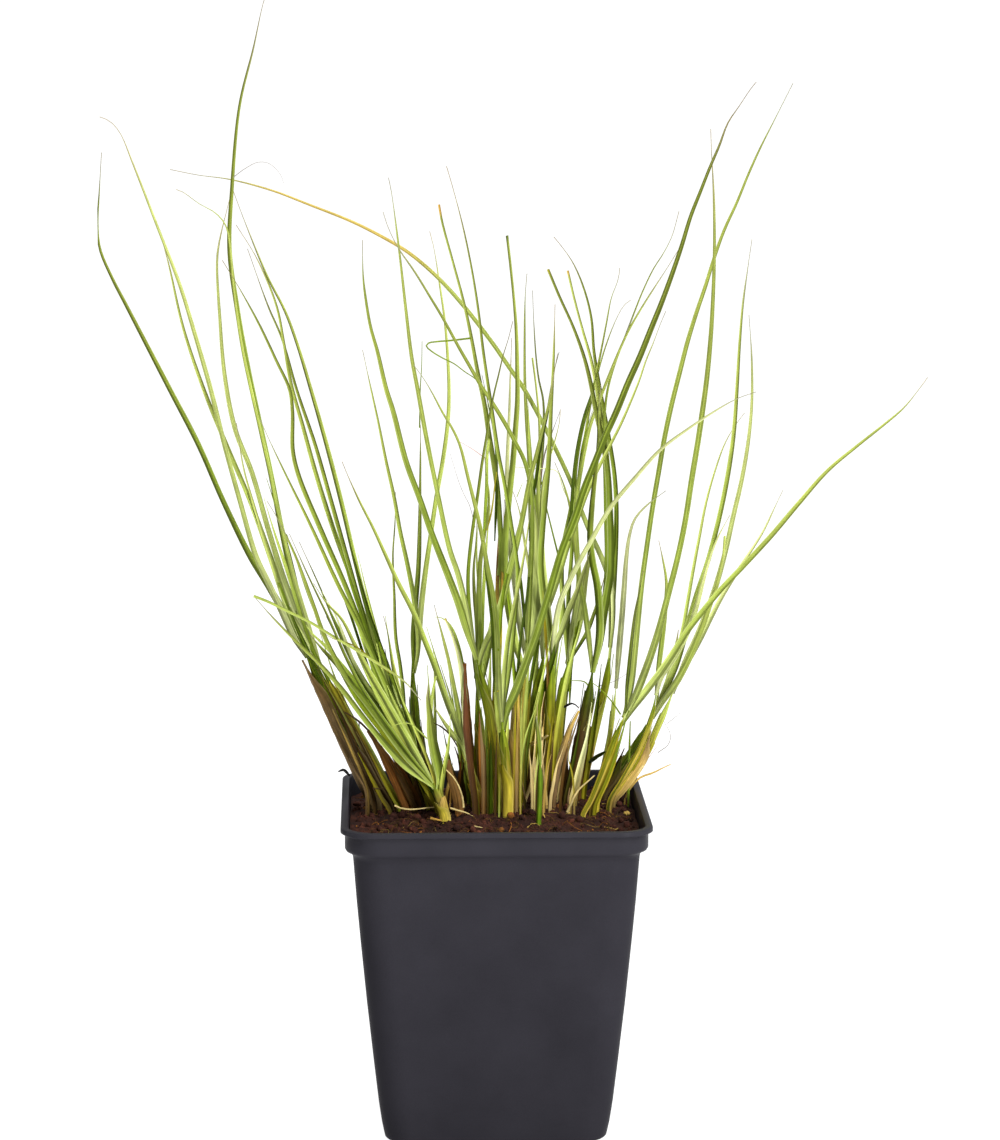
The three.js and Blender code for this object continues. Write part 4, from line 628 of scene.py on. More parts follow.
class Strand:
    """A blade, sheath or dead leaf: seen points from its root, with a depth for each."""

    def __init__(self, owner, knots, radius, fixed, blade=None):
        self.owner = owner
        self.knots = [np.asarray(knot, float) for knot in knots]
        self.radius = radius
        self.fixed = fixed
        self.blade = blade
        self.is_leg = False
        self.table = None
        self.points = None
        self.depths = None

    def space_out(self):
        """Spaces the seen points evenly, as many as the solids have."""
        self.table = arc_table(self.knots)
        rounded = math.floor(self.table[-1] / SEGMENT_LENGTH + 0.5)
        count = int(clamp(rounded, FEWEST_SEGMENTS, MOST_SEGMENTS))
        self.points = spaced(self.knots, count, self.table)


def blade_strand(owner, blade, route, start, tip_depth):
    """Strand of a blade, from a start in or on its sheath to its tip."""
    x, z, depth = start
    strand = Strand(owner, [(x, z), *reversed(route)], blade["width"] / 2, False, blade)
    strand.space_out()
    last = len(strand.points) - 1
    strand.depths = [lerp(depth, tip_depth, (i / last) ** DEPTH_EASE) for i in range(last + 1)]
    return strand


def sheath_strand(tiller):
    """Strand of a sheath, which is never bent. A dead sheath round it makes it wider."""
    wrap = next((w for w in WRAPS if w["tiller"] == tiller["name"]), None)
    extra = WRAP_GAP + wrap["thick"] if wrap else 0.0
    strand = Strand(tiller["name"], tiller["sheath"], max(tiller["radius"]) + extra, True)
    strand.points = np.array(tiller["sheath"], float)
    strand.depths = [axis_at(tiller, z)[2] for _, z in tiller["sheath"]]
    return strand


def all_strands():
    """Every strand of the plant: sheaths, blades, folded legs and dead leaves."""
    strands = []
    for tiller in TILLERS:
        strands.append(sheath_strand(tiller))
        for blade in tiller["blades"]:
            start = axis_at(tiller, blade["route"][-1][1] - ROOT_DROP)
            strands.append(blade_strand(tiller["name"], blade, blade["route"], start, blade["tip"]))
            if "leg" in blade:
                fold = (*blade["route"][0], blade["tip"])
                leg = blade_strand(tiller["name"], blade, blade["leg"], fold, blade["legDepth"])
                leg.is_leg = True
                strands.append(leg)
    for leaf in DRY_LEAVES:
        strand = Strand(leaf["name"], list(reversed(leaf["route"])), leaf["width"] / 2,
                        bool(leaf.get("round")), leaf)
        strand.space_out()
        last = len(strand.points) - 1
        strand.depths = [lerp(*leaf["depth"], i / last) for i in range(last + 1)]
        strands.append(strand)
    return strands


def nearest(a, b, c, d):
    """Where two seen segments come nearest: the share along each, and the distance."""
    ux, uz = b[0] - a[0], b[1] - a[1]
    vx, vz = d[0] - c[0], d[1] - c[1]
    wx, wz = c[0] - a[0], c[1] - a[1]
    turn = ux * vz - uz * vx
    if abs(turn) > 1e-9:
        u = (wx * vz - wz * vx) / turn
        v = (wx * uz - wz * ux) / turn
        if 0 <= u <= 1 and 0 <= v <= 1:
            return u, v, 0.0
    first = ux * ux + uz * uz
    second = vx * vx + vz * vz

    def on_first(p):
        return clamp(((p[0] - a[0]) * ux + (p[1] - a[1]) * uz) / first, 0.0, 1.0)

    def on_second(p):
        return clamp(((p[0] - c[0]) * vx + (p[1] - c[1]) * vz) / second, 0.0, 1.0)

    best = None
    for s, t in ((0.0, on_second(a)), (1.0, on_second(b)), (on_first(c), 0.0), (on_first(d), 1.0)):
        far = math.hypot(a[0] + ux * s - c[0] - vx * t, a[1] + uz * s - c[1] - vz * t)
        if best is None or far < best[2]:
            best = (s, t, far)
    return best


def crossings(strands):
    """Places where strands of different nodes would touch, with the depth each needs."""
    found = []
    rows = [[tuple(map(float, p)) for p in s.points] for s in strands]
    for i, first in enumerate(strands):
        for j in range(i + 1, len(strands)):
            second = strands[j]
            if first.owner == second.owner or (first.fixed and second.fixed):
                continue
            reach = first.radius + second.radius + CLEAR_GAP
            for m in range(len(rows[i]) - 1):
                a, b = rows[i][m], rows[i][m + 1]
                left, right = min(a[0], b[0]) - reach, max(a[0], b[0]) + reach
                low, high = min(a[1], b[1]) - reach, max(a[1], b[1]) + reach
                for n in range(len(rows[j]) - 1):
                    c, d = rows[j][n], rows[j][n + 1]
                    if max(c[0], d[0]) < left or min(c[0], d[0]) > right:
                        continue
                    if max(c[1], d[1]) < low or min(c[1], d[1]) > high:
                        continue
                    u, v, far = nearest(a, b, c, d)
                    if far < reach:
                        found.append((i, j, m, n, u, v, math.sqrt(reach * reach - far * far)))
    return found


def nudge(strand, segment, share, amount):
    """Moves one strand's depth at a place on a segment, but never its root."""
    if strand.fixed:
        return
    if segment > 0:
        strand.depths[segment] += amount * (1 - share)
    strand.depths[segment + 1] += amount * share


def even_out(strand, first, strength):
    """Evens out how far a strand was moved from its first depths."""
    moved = [depth - start for depth, start in zip(strand.depths, first)]
    last = len(moved) - 1
    for index in range(1, last + 1):
        beyond = moved[index + 1] if index < last else moved[index]
        target = (moved[index - 1] + beyond) / 2
        strand.depths[index] += strength * (target - moved[index])


def bend_clear(strands):
    """Bends blades clear of the other tillers by sliding them along the line of sight."""
    places = crossings(strands)
    starts = [list(strand.depths) for strand in strands]
    for turn in range(CLEAR_ROUNDS):
        strength = 0.25 * (1 - turn / CLEAR_ROUNDS)
        for i, j, m, n, u, v, need in places:
            one, two = strands[i], strands[j]
            one_depth = lerp(one.depths[m], one.depths[m + 1], u)
            two_depth = lerp(two.depths[n], two.depths[n + 1], v)
            short = need - abs(two_depth - one_depth)
            if short > 0:
                way = 1 if two_depth >= one_depth else -1
                share = 1 if one.fixed or two.fixed else 0.5
                nudge(one, m, u, -way * short * share)
                nudge(two, n, v, way * short * share)
        for strand, start in zip(strands, starts):
            if not strand.fixed:
                even_out(strand, start, strength)


# Colours, as sRGB. They become linear where they are used.
PALETTE = {
    "dark": (0.27, 0.34, 0.03),
    "mid": (0.45, 0.53, 0.10),
    "light": (0.70, 0.76, 0.36),
    "pale": (0.88, 0.90, 0.66),
    "olive": (0.59, 0.55, 0.10),
    "yellow": (0.79, 0.71, 0.24),
    "cream": (0.87, 0.78, 0.52),
    "straw": (0.78, 0.65, 0.33),
    "rust": (0.62, 0.39, 0.16),
    "brown": (0.46, 0.33, 0.15),
    "taupe": (0.54, 0.44, 0.29),
    "umber": (0.29, 0.21, 0.09),
    "peat": (0.140, 0.066, 0.048),
    "dry_peat": (0.235, 0.120, 0.082),
    "black": (0.09, 0.08, 0.06),
    "grey": (0.60, 0.57, 0.54),
    "orange": (0.78, 0.60, 0.26),
    "amber": (0.86, 0.72, 0.36),
    "russet": (0.40, 0.24, 0.13),
    "pink": (0.76, 0.56, 0.48),
    "vivid": (0.39, 0.51, 0.09),
}

# How light each blade is, from 0 for dark green to 1 for pale, in the order of the tables.
TONES = {
    "tiller_left_outer": [0.30, 0.72, 0.60],
    "tiller_left_second": [0.25, 0.68, 0.70, 0.60],
    "tiller_left_fan_front": [0.40, 0.36, 0.25, 0.50, 0.45],
    "tiller_left_fan_middle": [0.42, 0.38, 0.34, 0.30, 0.45],
    "tiller_left_fan_back": [0.42, 0.48, 0.15, 0.40],
    "tiller_left_upright": [0.35, 0.62, 0.50],
    "tiller_centre_left": [0.58, 0.62, 0.90, 0.75],
    "tiller_centre_second": [0.35, 0.45, 0.50, 0.60],
    "tiller_centre_main": [0.35, 0.60, 0.52],
    "tiller_centre_front": [0.32, 0.50, 0.42, 0.70],
    "tiller_centre_yellow": [0.74, 0.45, 0.48, 0.98, 0.66],
    "tiller_centre_brown": [0.50, 0.60, 0.15, 0.80],
    "tiller_centre_right": [0.45, 0.88, 0.70, 0.75],
    "tiller_right_inner": [0.40, 0.35, 0.60, 0.72, 0.20],
    "tiller_right_dark": [0.18, 0.28, 0.55, 0.30],
    "tiller_right_olive": [0.62, 0.38, 0.62],
    "tiller_right_fork": [0.48, 0.50, 0.60, 0.25],
    "tiller_right_slim": [0.92],
    "tiller_right_thin": [0.48, 0.58, 0.66, 0.74],
    "tiller_right_green": [0.50, 0.86],
    "tiller_right_straw": [0.74, 0.88],
    "tiller_young": [0.30],
}

# Blades that end in a blunt cut, by tiller and place in the tables, with the cut's colour.
CUT_TIPS = {
    ("tiller_centre_second", 1): "orange",
    ("tiller_centre_yellow", 2): "dark",
    ("tiller_right_olive", 2): "orange",
    ("tiller_right_dark", 0): "olive",
    ("tiller_centre_brown", 1): "light",
    ("tiller_right_thin", 1): "light",
    ("tiller_centre_left", 2): "yellow",
}

# Blades with another colour over part of their length, by tiller and tip: the colour and the shares
# of the length where it starts and ends.
FADES = {("tiller_right_olive", (-114, 348)): ("amber", 0.56, 0.84)}

# Colour of each tiller's sheath at the soil, half-way up and at its top.
SHEATHS = {
    "tiller_left_outer": ("umber", "brown", "mid"),
    "tiller_left_second": ("umber", "umber", "olive"),
    "tiller_left_fan_front": ("olive", "straw", "mid"),
    "tiller_left_fan_middle": ("umber", "olive", "mid"),
    "tiller_left_fan_back": ("umber", "brown", "mid"),
    "tiller_left_upright": ("umber", "dark", "mid"),
    "tiller_centre_left": ("rust", "yellow", "light"),
    "tiller_centre_second": ("rust", "olive", "mid"),
    "tiller_centre_main": ("olive", "olive", "mid"),
    "tiller_centre_front": ("yellow", "olive", "mid"),
    "tiller_centre_yellow": ("brown", "straw", "olive"),
    "tiller_centre_brown": ("brown", "olive", "mid"),
    "tiller_centre_right": ("taupe", "olive", "mid"),
    "tiller_right_inner": ("brown", "olive", "mid"),
    "tiller_right_dark": ("umber", "umber", "dark"),
    "tiller_right_olive": ("brown", "olive", "mid"),
    "tiller_right_fork": ("yellow", "olive", "mid"),
    "tiller_right_slim": ("straw", "olive", "light"),
    "tiller_right_thin": ("umber", "dark", "mid"),
    "tiller_right_green": ("umber", "olive", "mid"),
    "tiller_right_straw": ("brown", "olive", "light"),
    "tiller_young": ("vivid", "vivid", "vivid"),
}

# Colours of the narrow leaf edges round each stem, and how much of each goes into the stem's own.
RIB_TONES = [
    ("light", 0.55), ("umber", 0.65), ("yellow", 0.5), ("dark", 0.6), ("straw", 0.4), ("umber", 0.4),
]

# Colours of the dead pieces at the foot, half-way and at the tip.
DRY_SHADES = {
    "dry_sheath_left": ("umber", "taupe", "brown"),
    "dry_sheath_front": ("straw", "yellow", "olive"),
    "dry_sheath_centre": ("rust", "rust", "olive"),
    "dry_sheath_right": ("umber", "straw", "taupe"),
    "dry_stem_upright": ("umber", "brown", "rust"),
    "dry_leaf_left": ("umber", "rust", "brown"),
    "dry_leaf_front": ("rust", "brown", "brown"),
    "dry_leaf_right": ("brown", "taupe", "straw"),
}


def to_linear(value):
    """Linear value of one sRGB channel."""
    return ((value + 0.055) / 1.055) ** 2.4 if value > 0.04045 else value / 12.92


def linear(name):
    """Linear colour of a palette name."""
    return np.array([to_linear(value) for value in PALETTE[name]])


def green(tone):
    """Colour between dark green and pale green."""
    stops = [linear("dark"), linear("mid"), linear("light"), linear("pale")]
    place = clamp(tone, 0.0, 1.0) * 3
    index = min(int(place), 2)
    return lerp(stops[index], stops[index + 1], place - index)


def three_stops(names, t):
    """Colour along three named ones."""
    colours = [linear(name) for name in names]
    if t < 0.5:
        return lerp(colours[0], colours[1], ease(t * 2))
    return lerp(colours[1], colours[2], ease(t * 2 - 1))


# A crumb's rings, as height and width in shares of its radii.
CRUMB_RINGS = ((-0.9, 0.5), (-0.3, 1.0), (0.4, 0.95), (0.95, 0.45))
CRUMB_SIDES = 6


class Shape:
    """Closed lofted bodies, gathered for one piece, with a colour and places at each point."""

    def __init__(self):
        self.points = []
        self.faces = []
        self.tints = []
        self.across = []
        self.along = []

    def loft(self, rings, tints, across, along):
        """Adds a closed body through rings. tints: one colour for each ring and point."""
        start = len(self.points)
        sides = len(rings[0])
        for ring, colours, place in zip(rings, tints, along):
            self.points.extend(map(tuple, ring))
            self.tints.extend(map(tuple, colours))
            self.across.extend(across)
            self.along.extend([place] * sides)
        for row in range(len(rings) - 1):
            for side in range(sides):
                after = (side + 1) % sides
                a = start + row * sides
                b = a + sides
                self.faces.append((a + side, a + after, b + after, b + side))
        top = start + (len(rings) - 1) * sides
        low, high = 0, sides - 1
        while low + 1 < high:
            corners = [low, low + 1, high - 1, high] if low + 1 < high - 1 else [low, low + 1, high]
            self.faces.append(tuple(start + c for c in reversed(corners)))
            self.faces.append(tuple(top + c for c in corners))
            low += 1
            high -= 1

    def lump(self, centre, radii, turn, tint, rng):
        """Adds an uneven six-sided crumb."""
        rings = []
        for level, wide in CRUMB_RINGS:
            row = []
            for side in range(CRUMB_SIDES):
                angle = side / CRUMB_SIDES * math.tau + turn
                size = wide * rng.uniform(0.75, 1.2)
                row.append(np.array([
                    centre[0] + radii[0] * size * math.cos(angle),
                    centre[1] + radii[1] * size * math.sin(angle),
                    centre[2] + radii[2] * level * rng.uniform(0.85, 1.1)]))
            rings.append(row)
        tints = [[tint] * CRUMB_SIDES] * len(rings)
        self.loft(rings, tints, [0.0] * CRUMB_SIDES, [0.0] * len(rings))


def attribute(mesh, name, kind, values):
    """Stores one value for each point of a mesh, for the materials to read."""
    made = mesh.attributes.new(name, kind, "POINT")
    made.data.foreach_set("color" if kind == "FLOAT_COLOR" else "value", values)


# The solids reach this far to the left. The smoothed bend of one blade would pass it by 0.4 mm.
BOX_LEFT = -141.6


def build(name, shape, material, nodes=(), sharp=50.0):
    """Blender object for a shape, riding on the part's one body."""
    mesh = bpy.data.meshes.new(name)
    points = np.array(shape.points)
    points[:, 0] = np.maximum(points[:, 0], BOX_LEFT)
    points *= MM
    mesh.from_pydata(points.tolist(), [], shape.faces)
    tints = np.ones((len(points), 4), np.float32)
    tints[:, :3] = np.clip(np.array(shape.tints), 0.0, 1.0)
    attribute(mesh, "tint", "FLOAT_COLOR", tints.ravel())
    attribute(mesh, "across", "FLOAT", np.array(shape.across, np.float32))
    attribute(mesh, "along", "FLOAT", np.array(shape.along, np.float32))
    turned = bmesh.new()
    turned.from_mesh(mesh)
    bmesh.ops.recalc_face_normals(turned, faces=turned.faces)
    turned.to_mesh(mesh)
    turned.free()
    mesh.shade_smooth()
    mesh.set_sharp_from_angle(angle=math.radians(sharp))
    mesh.materials.append(material)
    piece = bpy.data.objects.new(name, mesh)
    bpy.context.scene.collection.objects.link(piece)
    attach(piece, "root")
    if nodes:
        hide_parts(*nodes)
    return piece


def frames(points):
    """Unit vectors at each point: across the width, and towards the back."""
    along = np.empty_like(points)
    along[1:-1] = points[2:] - points[:-2]
    along[0] = points[1] - points[0]
    along[-1] = points[-1] - points[-2]
    along /= np.linalg.norm(along, axis=1, keepdims=True)
    sight = points - EYE
    sight /= np.linalg.norm(sight, axis=1, keepdims=True)
    wide = np.cross(sight, along)
    wide /= np.linalg.norm(wide, axis=1, keepdims=True)
    return wide, np.cross(along, wide)


def fine_places(strand, step):
    """Close points in space along a strand, with its bends smoothed."""
    count = max(8, int(round(strand.table[-1] / step)))
    seen = spaced(strand.knots, count, strand.table)
    coarse = [np.array([depth]) for depth in strand.depths]
    last = len(coarse) - 1
    depths = []
    for t in np.linspace(0.0, 1.0, count + 1):
        index = min(int(t * last), last - 1)
        w = t * last - index
        before = coarse[index - 1] if index > 0 else 2 * coarse[0] - coarse[1]
        after = coarse[index + 2] if index + 2 <= last else 2 * coarse[-1] - coarse[-2]
        depths.append(float(span(before, coarse[index], coarse[index + 1], after, 1, 1, 1, w)[0]))
    return np.array([placed(x, z, depth) for (x, z), depth in zip(seen, depths)])


# A blade's section: places across it, over the top from edge to edge and back along the underside.
RING_ACROSS = (-1.0, -0.5, 0.0, 0.5, 1.0, 0.5, 0.0, -0.5)
UNDERSIDE = (False, False, False, False, False, True, True, True)
KEEL_POWER = 1.3

# Size of a blade, and how its width changes from the sheath to the tip.
BLADE_STEP = 2.5
LEAF_THICK = 0.24
THINNEST = 0.12
LEG_SHARE = 0.6
BLADE_SWELL = 0.45
SWELL_LENGTH = 70.0
WIDTH_SHARE = 1.02
BASE_TAPER = 16.0
CUT_SHARE = 0.22

# Painted light and shade in a blade's colour: darker in the shelter of the foot, a lit and a shaded half, a
# highlight on the lit edge; and a pale midrib.
FOOT_SHADE = 60.0
LIT_STEP = 0.2
LIT_HALF, SHADED_HALF = 1.18, 0.60
UNDER_SHADE = 0.86
LIT_EDGE_HIGHLIGHT, MIDRIB_SHARE = 0.30, 0.18

# Shares of the length where a cut end starts to colour, and from where it is all coloured.
CUT_FROM, CUT_END = 0.97, 0.985

# A blade sways about its own length: how far, and how often.
SWAY, SWAYS = 0.18, 9


def half_width(strand, t, cut):
    """Half width of a blade along its length. A cut tip stays broad, another ends as a hair."""
    width, length = strand.blade["width"] * WIDTH_SHARE, strand.table[-1]
    if strand.is_leg:
        return max(THINNEST, width * LEG_SHARE * (1 - 0.7 * ease((t - 0.7) / 0.3)) / 2)
    body = width * (0.35 + 0.65 * (1 - ease((t - 0.45) / 0.55))) / 2
    body *= 1 + BLADE_SWELL * (1 - ease(t * length / SWELL_LENGTH))
    body *= 0.6 + 0.4 * ease(t * length / BASE_TAPER)
    if cut:
        return max(body, width * CUT_SHARE)
    return max(THINNEST, body * (1 - 0.85 * ease((t - 0.86) / 0.14)))


def spoke(first, second, angle):
    """Unit vector at an angle from the first of two, towards the second."""
    return first * math.cos(angle) + second * math.sin(angle)


def section_offset(u, under, depth, thick):
    """How far a point of a keeled section lies behind the middle of the blade."""
    return depth * (0.5 - abs(u) ** KEEL_POWER) + thick * (-0.5 if under else 0.5) * (1 - abs(u))


class BladeLook:
    """The random choices for one blade: how it turns and folds, and its colours."""

    def __init__(self, strand, tone, cut, rng):
        self.turn = rng.uniform(-0.5, 0.5)
        self.twist = rng.uniform(-0.7, 0.7)
        self.side = rng.choice([-1, 1])
        self.fold = rng.uniform(0.45, 0.85)
        self.wobble = rng.uniform(0, math.tau)
        self.base, self.lit = green(tone), green(tone + LIT_STEP)
        self.tip = lerp(linear("grey"), linear("rust"), rng.uniform(0.0, 0.5))
        self.grey_from = rng.uniform(0.78, 0.92)
        self.cut = cut
        if cut:
            self.tip, self.grey_from = linear(cut), CUT_FROM
        self.shaded_half = rng.choice([-1, 1])
        self.is_leg = strand.is_leg
        self.fade = FADES.get((strand.owner, tuple(strand.blade["route"][0])))

    def angle(self, t):
        """Angle about the blade's length, at a share of it."""
        return self.turn + self.twist * (t - 0.5) + SWAY * math.sin(t * SWAYS + self.wobble)

    def keel(self, t, shown):
        """Depth of the fold along the blade's middle, which flattens towards the tip."""
        return self.side * (self.fold * shown * (1 - 0.35 * ease((t - 0.3) / 0.5)))

    def shade(self, t):
        """Colour along the blade: lit near the sheath, duller above, grey or cut at the tip."""
        if self.cut and t > CUT_END:
            return self.tip
        shade = self.lit if self.is_leg else lerp(self.lit, self.base, ease(t / 0.3))
        if self.fade:
            name, start, end = self.fade
            share = 0.85 * ease((t - start) / 0.12) * (1 - ease((t - end) / 0.1))
            shade = lerp(shade, linear(name), share)
        shade = lerp(shade, linear("taupe"), 0.18 * ease((t - 0.3) / 0.4))
        return lerp(shade, self.tip, 0.9 * ease((t - self.grey_from) / (1.02 - self.grey_from)))

    def colour(self, shade, u, under, near_foot):
        """Colour at a place across the blade, with painted shade near the foot and on one half, and a
        painted highlight on the lit edge.
        """
        # Painted shade: darker near the foot, where the tuft shades the blade; one half painted in shade,
        # the other painted lit.
        colour = shade * (UNDER_SHADE if under else 1.0) * (1 - 0.10 * near_foot)
        shaded = u * self.shaded_half > 0.2
        colour = colour * (SHADED_HALF - 0.18 * near_foot if shaded else LIT_HALF)
        # Painted highlight along the edge of the lit half.
        if u == -self.shaded_half:
            return lerp(colour, linear("pale"), LIT_EDGE_HIGHLIGHT)
        if u == 0.0:
            return lerp(colour, linear("light"), MIDRIB_SHARE)
        return colour


def add_blade(shape, strand, tone, cut, rng):
    """Keeled, gently twisted ribbon with a colour that changes along and across it, partly as painted shade
    and highlight.
    """
    look = BladeLook(strand, tone, cut, rng)
    places = fine_places(strand, BLADE_STEP)
    wide, back = frames(places)
    last = len(places) - 1
    length = strand.table[-1]
    rings, tints, along = [], [], []
    for index, place in enumerate(places):
        t = index / last
        # How near the foot a place is, for the painted shade there.
        near_foot = 0.0 if strand.is_leg else 1 - ease(t * length / FOOT_SHADE)
        angle = look.angle(t)
        across = spoke(wide[index], back[index], angle)
        behind = spoke(back[index], -wide[index], angle)
        shown = half_width(strand, t, cut) / max(0.75, abs(math.cos(angle)))
        thick = min(LEAF_THICK, shown * 0.7)
        keel, shade = look.keel(t, shown), look.shade(t)
        ring, colours = [], []
        for u, under in zip(RING_ACROSS, UNDERSIDE):
            offset = section_offset(u, under, keel, thick)
            ring.append(place + across * (u * shown) + behind * offset)
            colours.append(look.colour(shade, u, under, near_foot))
        rings.append(ring)
        tints.append(colours)
        along.append(t * length)
    shape.loft(rings, tints, RING_ACROSS, along)


def smooth_route(points, step):
    """Close points along a smooth curve through points in space."""
    table = arc_table(points)
    return spaced(points, max(6, int(round(table[-1] / step))), table)


def with_root(places):
    """Places in space with one more in the soil, straight below the first."""
    foot = places[0].copy()
    foot[2] = ROOT_BOTTOM
    return [foot, *places]


def sheath_route(tiller, reach=1.0):
    """Points in space along a sheath, led down into the soil below its foot."""
    low, high = tiller["sheath"][0][1], tiller["sheath"][-1][1]
    top = low + (high - low) * reach
    levels = [z for _, z in tiller["sheath"] if z < top] + [top]
    return with_root([placed(*axis_at(tiller, z)) for z in levels])


# How far the streaks of a stem, a wrapped sheath, a dead leaf and one step of a thread run.
STEM_GRAIN, SHELL_GRAIN, DRY_GRAIN, THREAD_GRAIN = 60, 40, 50, 1.5

# Round stems: points round each, spacing along it, how much it narrows at its top, and its grooves.
STEM_SIDES = 20
STEM_STEP = 2.0
STEM_TAPER = 0.82
STEM_GROOVE = 0.035
SLIM_STEMS = ("tiller_right_fork", "tiller_right_green", "tiller_right_straw", "tiller_right_slim")
SLIM_SHARE = 0.68


def stem_radii(tiller):
    """Radius of a stem at its foot and its top. The outermost stems on the right look slimmer."""
    share = SLIM_SHARE if tiller["name"] in SLIM_STEMS else 1.0
    return [share * radius for radius in tiller["radius"]]


def add_core(shape, tiller, rng):
    """Ribbed round stem of a tiller, narrowing where the blades leave it."""
    places = smooth_route(sheath_route(tiller), STEM_STEP)
    wide, back = frames(places)
    last = len(places) - 1
    foot, top = stem_radii(tiller)
    colours = SHEATHS[tiller["name"]]
    start = rng.uniform(0, math.tau)
    rings, tints, along = [], [], []
    for index, place in enumerate(places):
        t = index / last
        radius = lerp(foot, top, t) * (1 - STEM_TAPER * ease((t - 0.80) / 0.20))
        shade = three_stops(colours, t)
        ring, row = [], []
        for side in range(STEM_SIDES):
            angle = side / STEM_SIDES * math.tau
            size = radius * (1 + STEM_GROOVE * (-1) ** side)
            ring.append(place + wide[index] * size * math.cos(angle)
                        + back[index] * size * math.sin(angle))
            streak = 1 + 0.34 * math.sin(angle * 5 + start)
            row.append(shade * streak)
        rings.append(ring)
        tints.append(row)
        along.append(t * STEM_GRAIN)
    across = [math.sin(side / STEM_SIDES * math.tau) for side in range(STEM_SIDES)]
    shape.loft(rings, tints, across, along)


# Strips round a stem: how many, the spacing along them, and their section (across, outwards).
RIB_COUNT = 7
RIB_STEP = 2.2
RIB_SECTION = ((-1.0, -0.02), (-0.55, 0.12), (0.0, 0.17), (0.55, 0.12), (1.0, -0.02), (0.0, -0.12))
RIB_ACROSS = [u for u, _ in RIB_SECTION]


def add_rib(shape, tiller, route, first_turn, tone, rng):
    """One narrow strip up a stem, which peels off at its tip."""
    name, share = tone
    foot, top = stem_radii(tiller)
    places = route[:max(6, int(len(route) * rng.uniform(0.55, 1.0)))]
    wide, back = frames(places)
    last = len(places) - 1
    turn = first_turn + rng.uniform(-0.25, 0.25)
    drift = rng.uniform(-0.5, 0.5)
    half = rng.uniform(0.40, 0.80)
    peel = rng.uniform(0.0, 0.6)
    rings, tints = [], []
    for index, place in enumerate(places):
        t = index / last
        angle = turn + drift * t
        out = spoke(wide[index], back[index], angle)
        side = spoke(back[index], -wide[index], angle)
        up_stem = index / (len(route) - 1)
        stem = lerp(foot, top, up_stem)
        centre = place + out * (stem + 0.05 + peel * ease((t - 0.7) / 0.3))
        reach = half * (1 - 0.75 * ease((t - 0.75) / 0.25))
        bow = reach * reach / (2 * stem)
        rings.append([centre + side * (u * reach) + out * (v - bow * u * u) for u, v in RIB_SECTION])
        own = three_stops(SHEATHS[tiller["name"]], up_stem)
        shade = lerp(own, linear(name), share * (1 - 0.7 * ease((t - 0.6) / 0.4)))
        # One half of each strip is painted in shade, the other painted a little lighter.
        tints.append([shade * (0.8 if u > 0.2 else 1.05) for u in RIB_ACROSS])
    shape.loft(rings, tints, RIB_ACROSS, [index * RIB_STEP for index in range(last + 1)])


def add_ribs(shape, tiller, rng):
    """Edges of older leaf sheaths round a stem, as narrow strips."""
    route = smooth_route(sheath_route(tiller), RIB_STEP)
    start = rng.uniform(0, math.tau)
    for number in range(RIB_COUNT):
        tone = RIB_TONES[number % len(RIB_TONES)]
        add_rib(shape, tiller, route, start + number / RIB_COUNT * math.tau, tone, rng)


# Wrapped sheaths: spacing along them, steps round them, and the height of their veins.
SHELL_STEP = 1.8
SHELL_SIDES = 12
SHELL_VEIN = 0.05


def add_shell(shape, tiller, reach, gap, thick, opening, facing, colours,
              flare=0.0, ragged=0.0, rng=None):
    """Leaf sheath wrapped round a stem, open on one side and pointed at its top."""
    places = smooth_route(sheath_route(tiller, reach), SHELL_STEP)
    wide, back = frames(places)
    last = len(places) - 1
    foot, top = stem_radii(tiller)
    rings, tints, along = [], [], []
    for index, place in enumerate(places):
        t = index / last
        inner = lerp(foot, top, t * reach) + gap + flare * ease((t - 0.6) / 0.4)
        room = lerp(opening, math.tau * 0.80, ease((t - 0.72) / 0.28))
        wall = thick * (1 - 0.5 * t)
        shade = three_stops(colours, t)
        outer_ring, inner_ring, outer_row, inner_row = [], [], [], []
        for step in range(SHELL_SIDES + 1):
            share = step / SHELL_SIDES
            angle = facing + room / 2 + share * (math.tau - room)
            lift = SHELL_VEIN * (-1) ** step
            if ragged and rng:
                lift += ragged * rng.uniform(-1, 1) * t
            direction = spoke(wide[index], back[index], angle)
            outer_ring.append(place + direction * (inner + wall + lift))
            inner_ring.append(place + direction * (inner + min(lift, wall * 0.5)))
            rim = 0.3 * (abs(share - 0.5) * 2) ** 6
            colour = lerp(shade * (1 + 0.12 * math.sin(share * 19 + facing)), linear("cream"), rim)
            outer_row.append(colour)
            # The inner face is painted darker, as shade inside the wrap.
            inner_row.append(colour * 0.8)
        rings.append(outer_ring + inner_ring[::-1])
        tints.append(outer_row + inner_row[::-1])
        along.append(t * SHELL_GRAIN)
    outer_across = [step / SHELL_SIDES * 2 - 1 for step in range(SHELL_SIDES + 1)]
    shape.loft(rings, tints, outer_across + outer_across[::-1], along)


# The two leaf sheaths round each stem: lowest and highest reach, gap to the stem, and opening.
INNER_SHELL = (0.72, 0.92, 0.06, 1.0)
OUTER_SHELL = (0.40, 0.62, 0.24, 1.6)
SHELL_THICK = 0.16
SHELL_FLARE = 0.35


def add_stem(shape, tiller, rng):
    """A tiller's stem with its leaf sheaths. Slim stems and the young shoot have fewer."""
    add_core(shape, tiller, rng)
    if tiller["name"] == "tiller_young":
        return
    if tiller["name"] not in SLIM_STEMS:
        low, middle, high = SHEATHS[tiller["name"]]
        for (least, most, gap, opening), colours, flare in (
                (INNER_SHELL, (low, middle, high), 0.0),
                (OUTER_SHELL, (low, low, middle), SHELL_FLARE)):
            add_shell(shape, tiller, rng.uniform(least, most), gap, SHELL_THICK, opening,
                      rng.uniform(0, math.tau), colours, flare=flare)
    add_ribs(shape, tiller, rng)


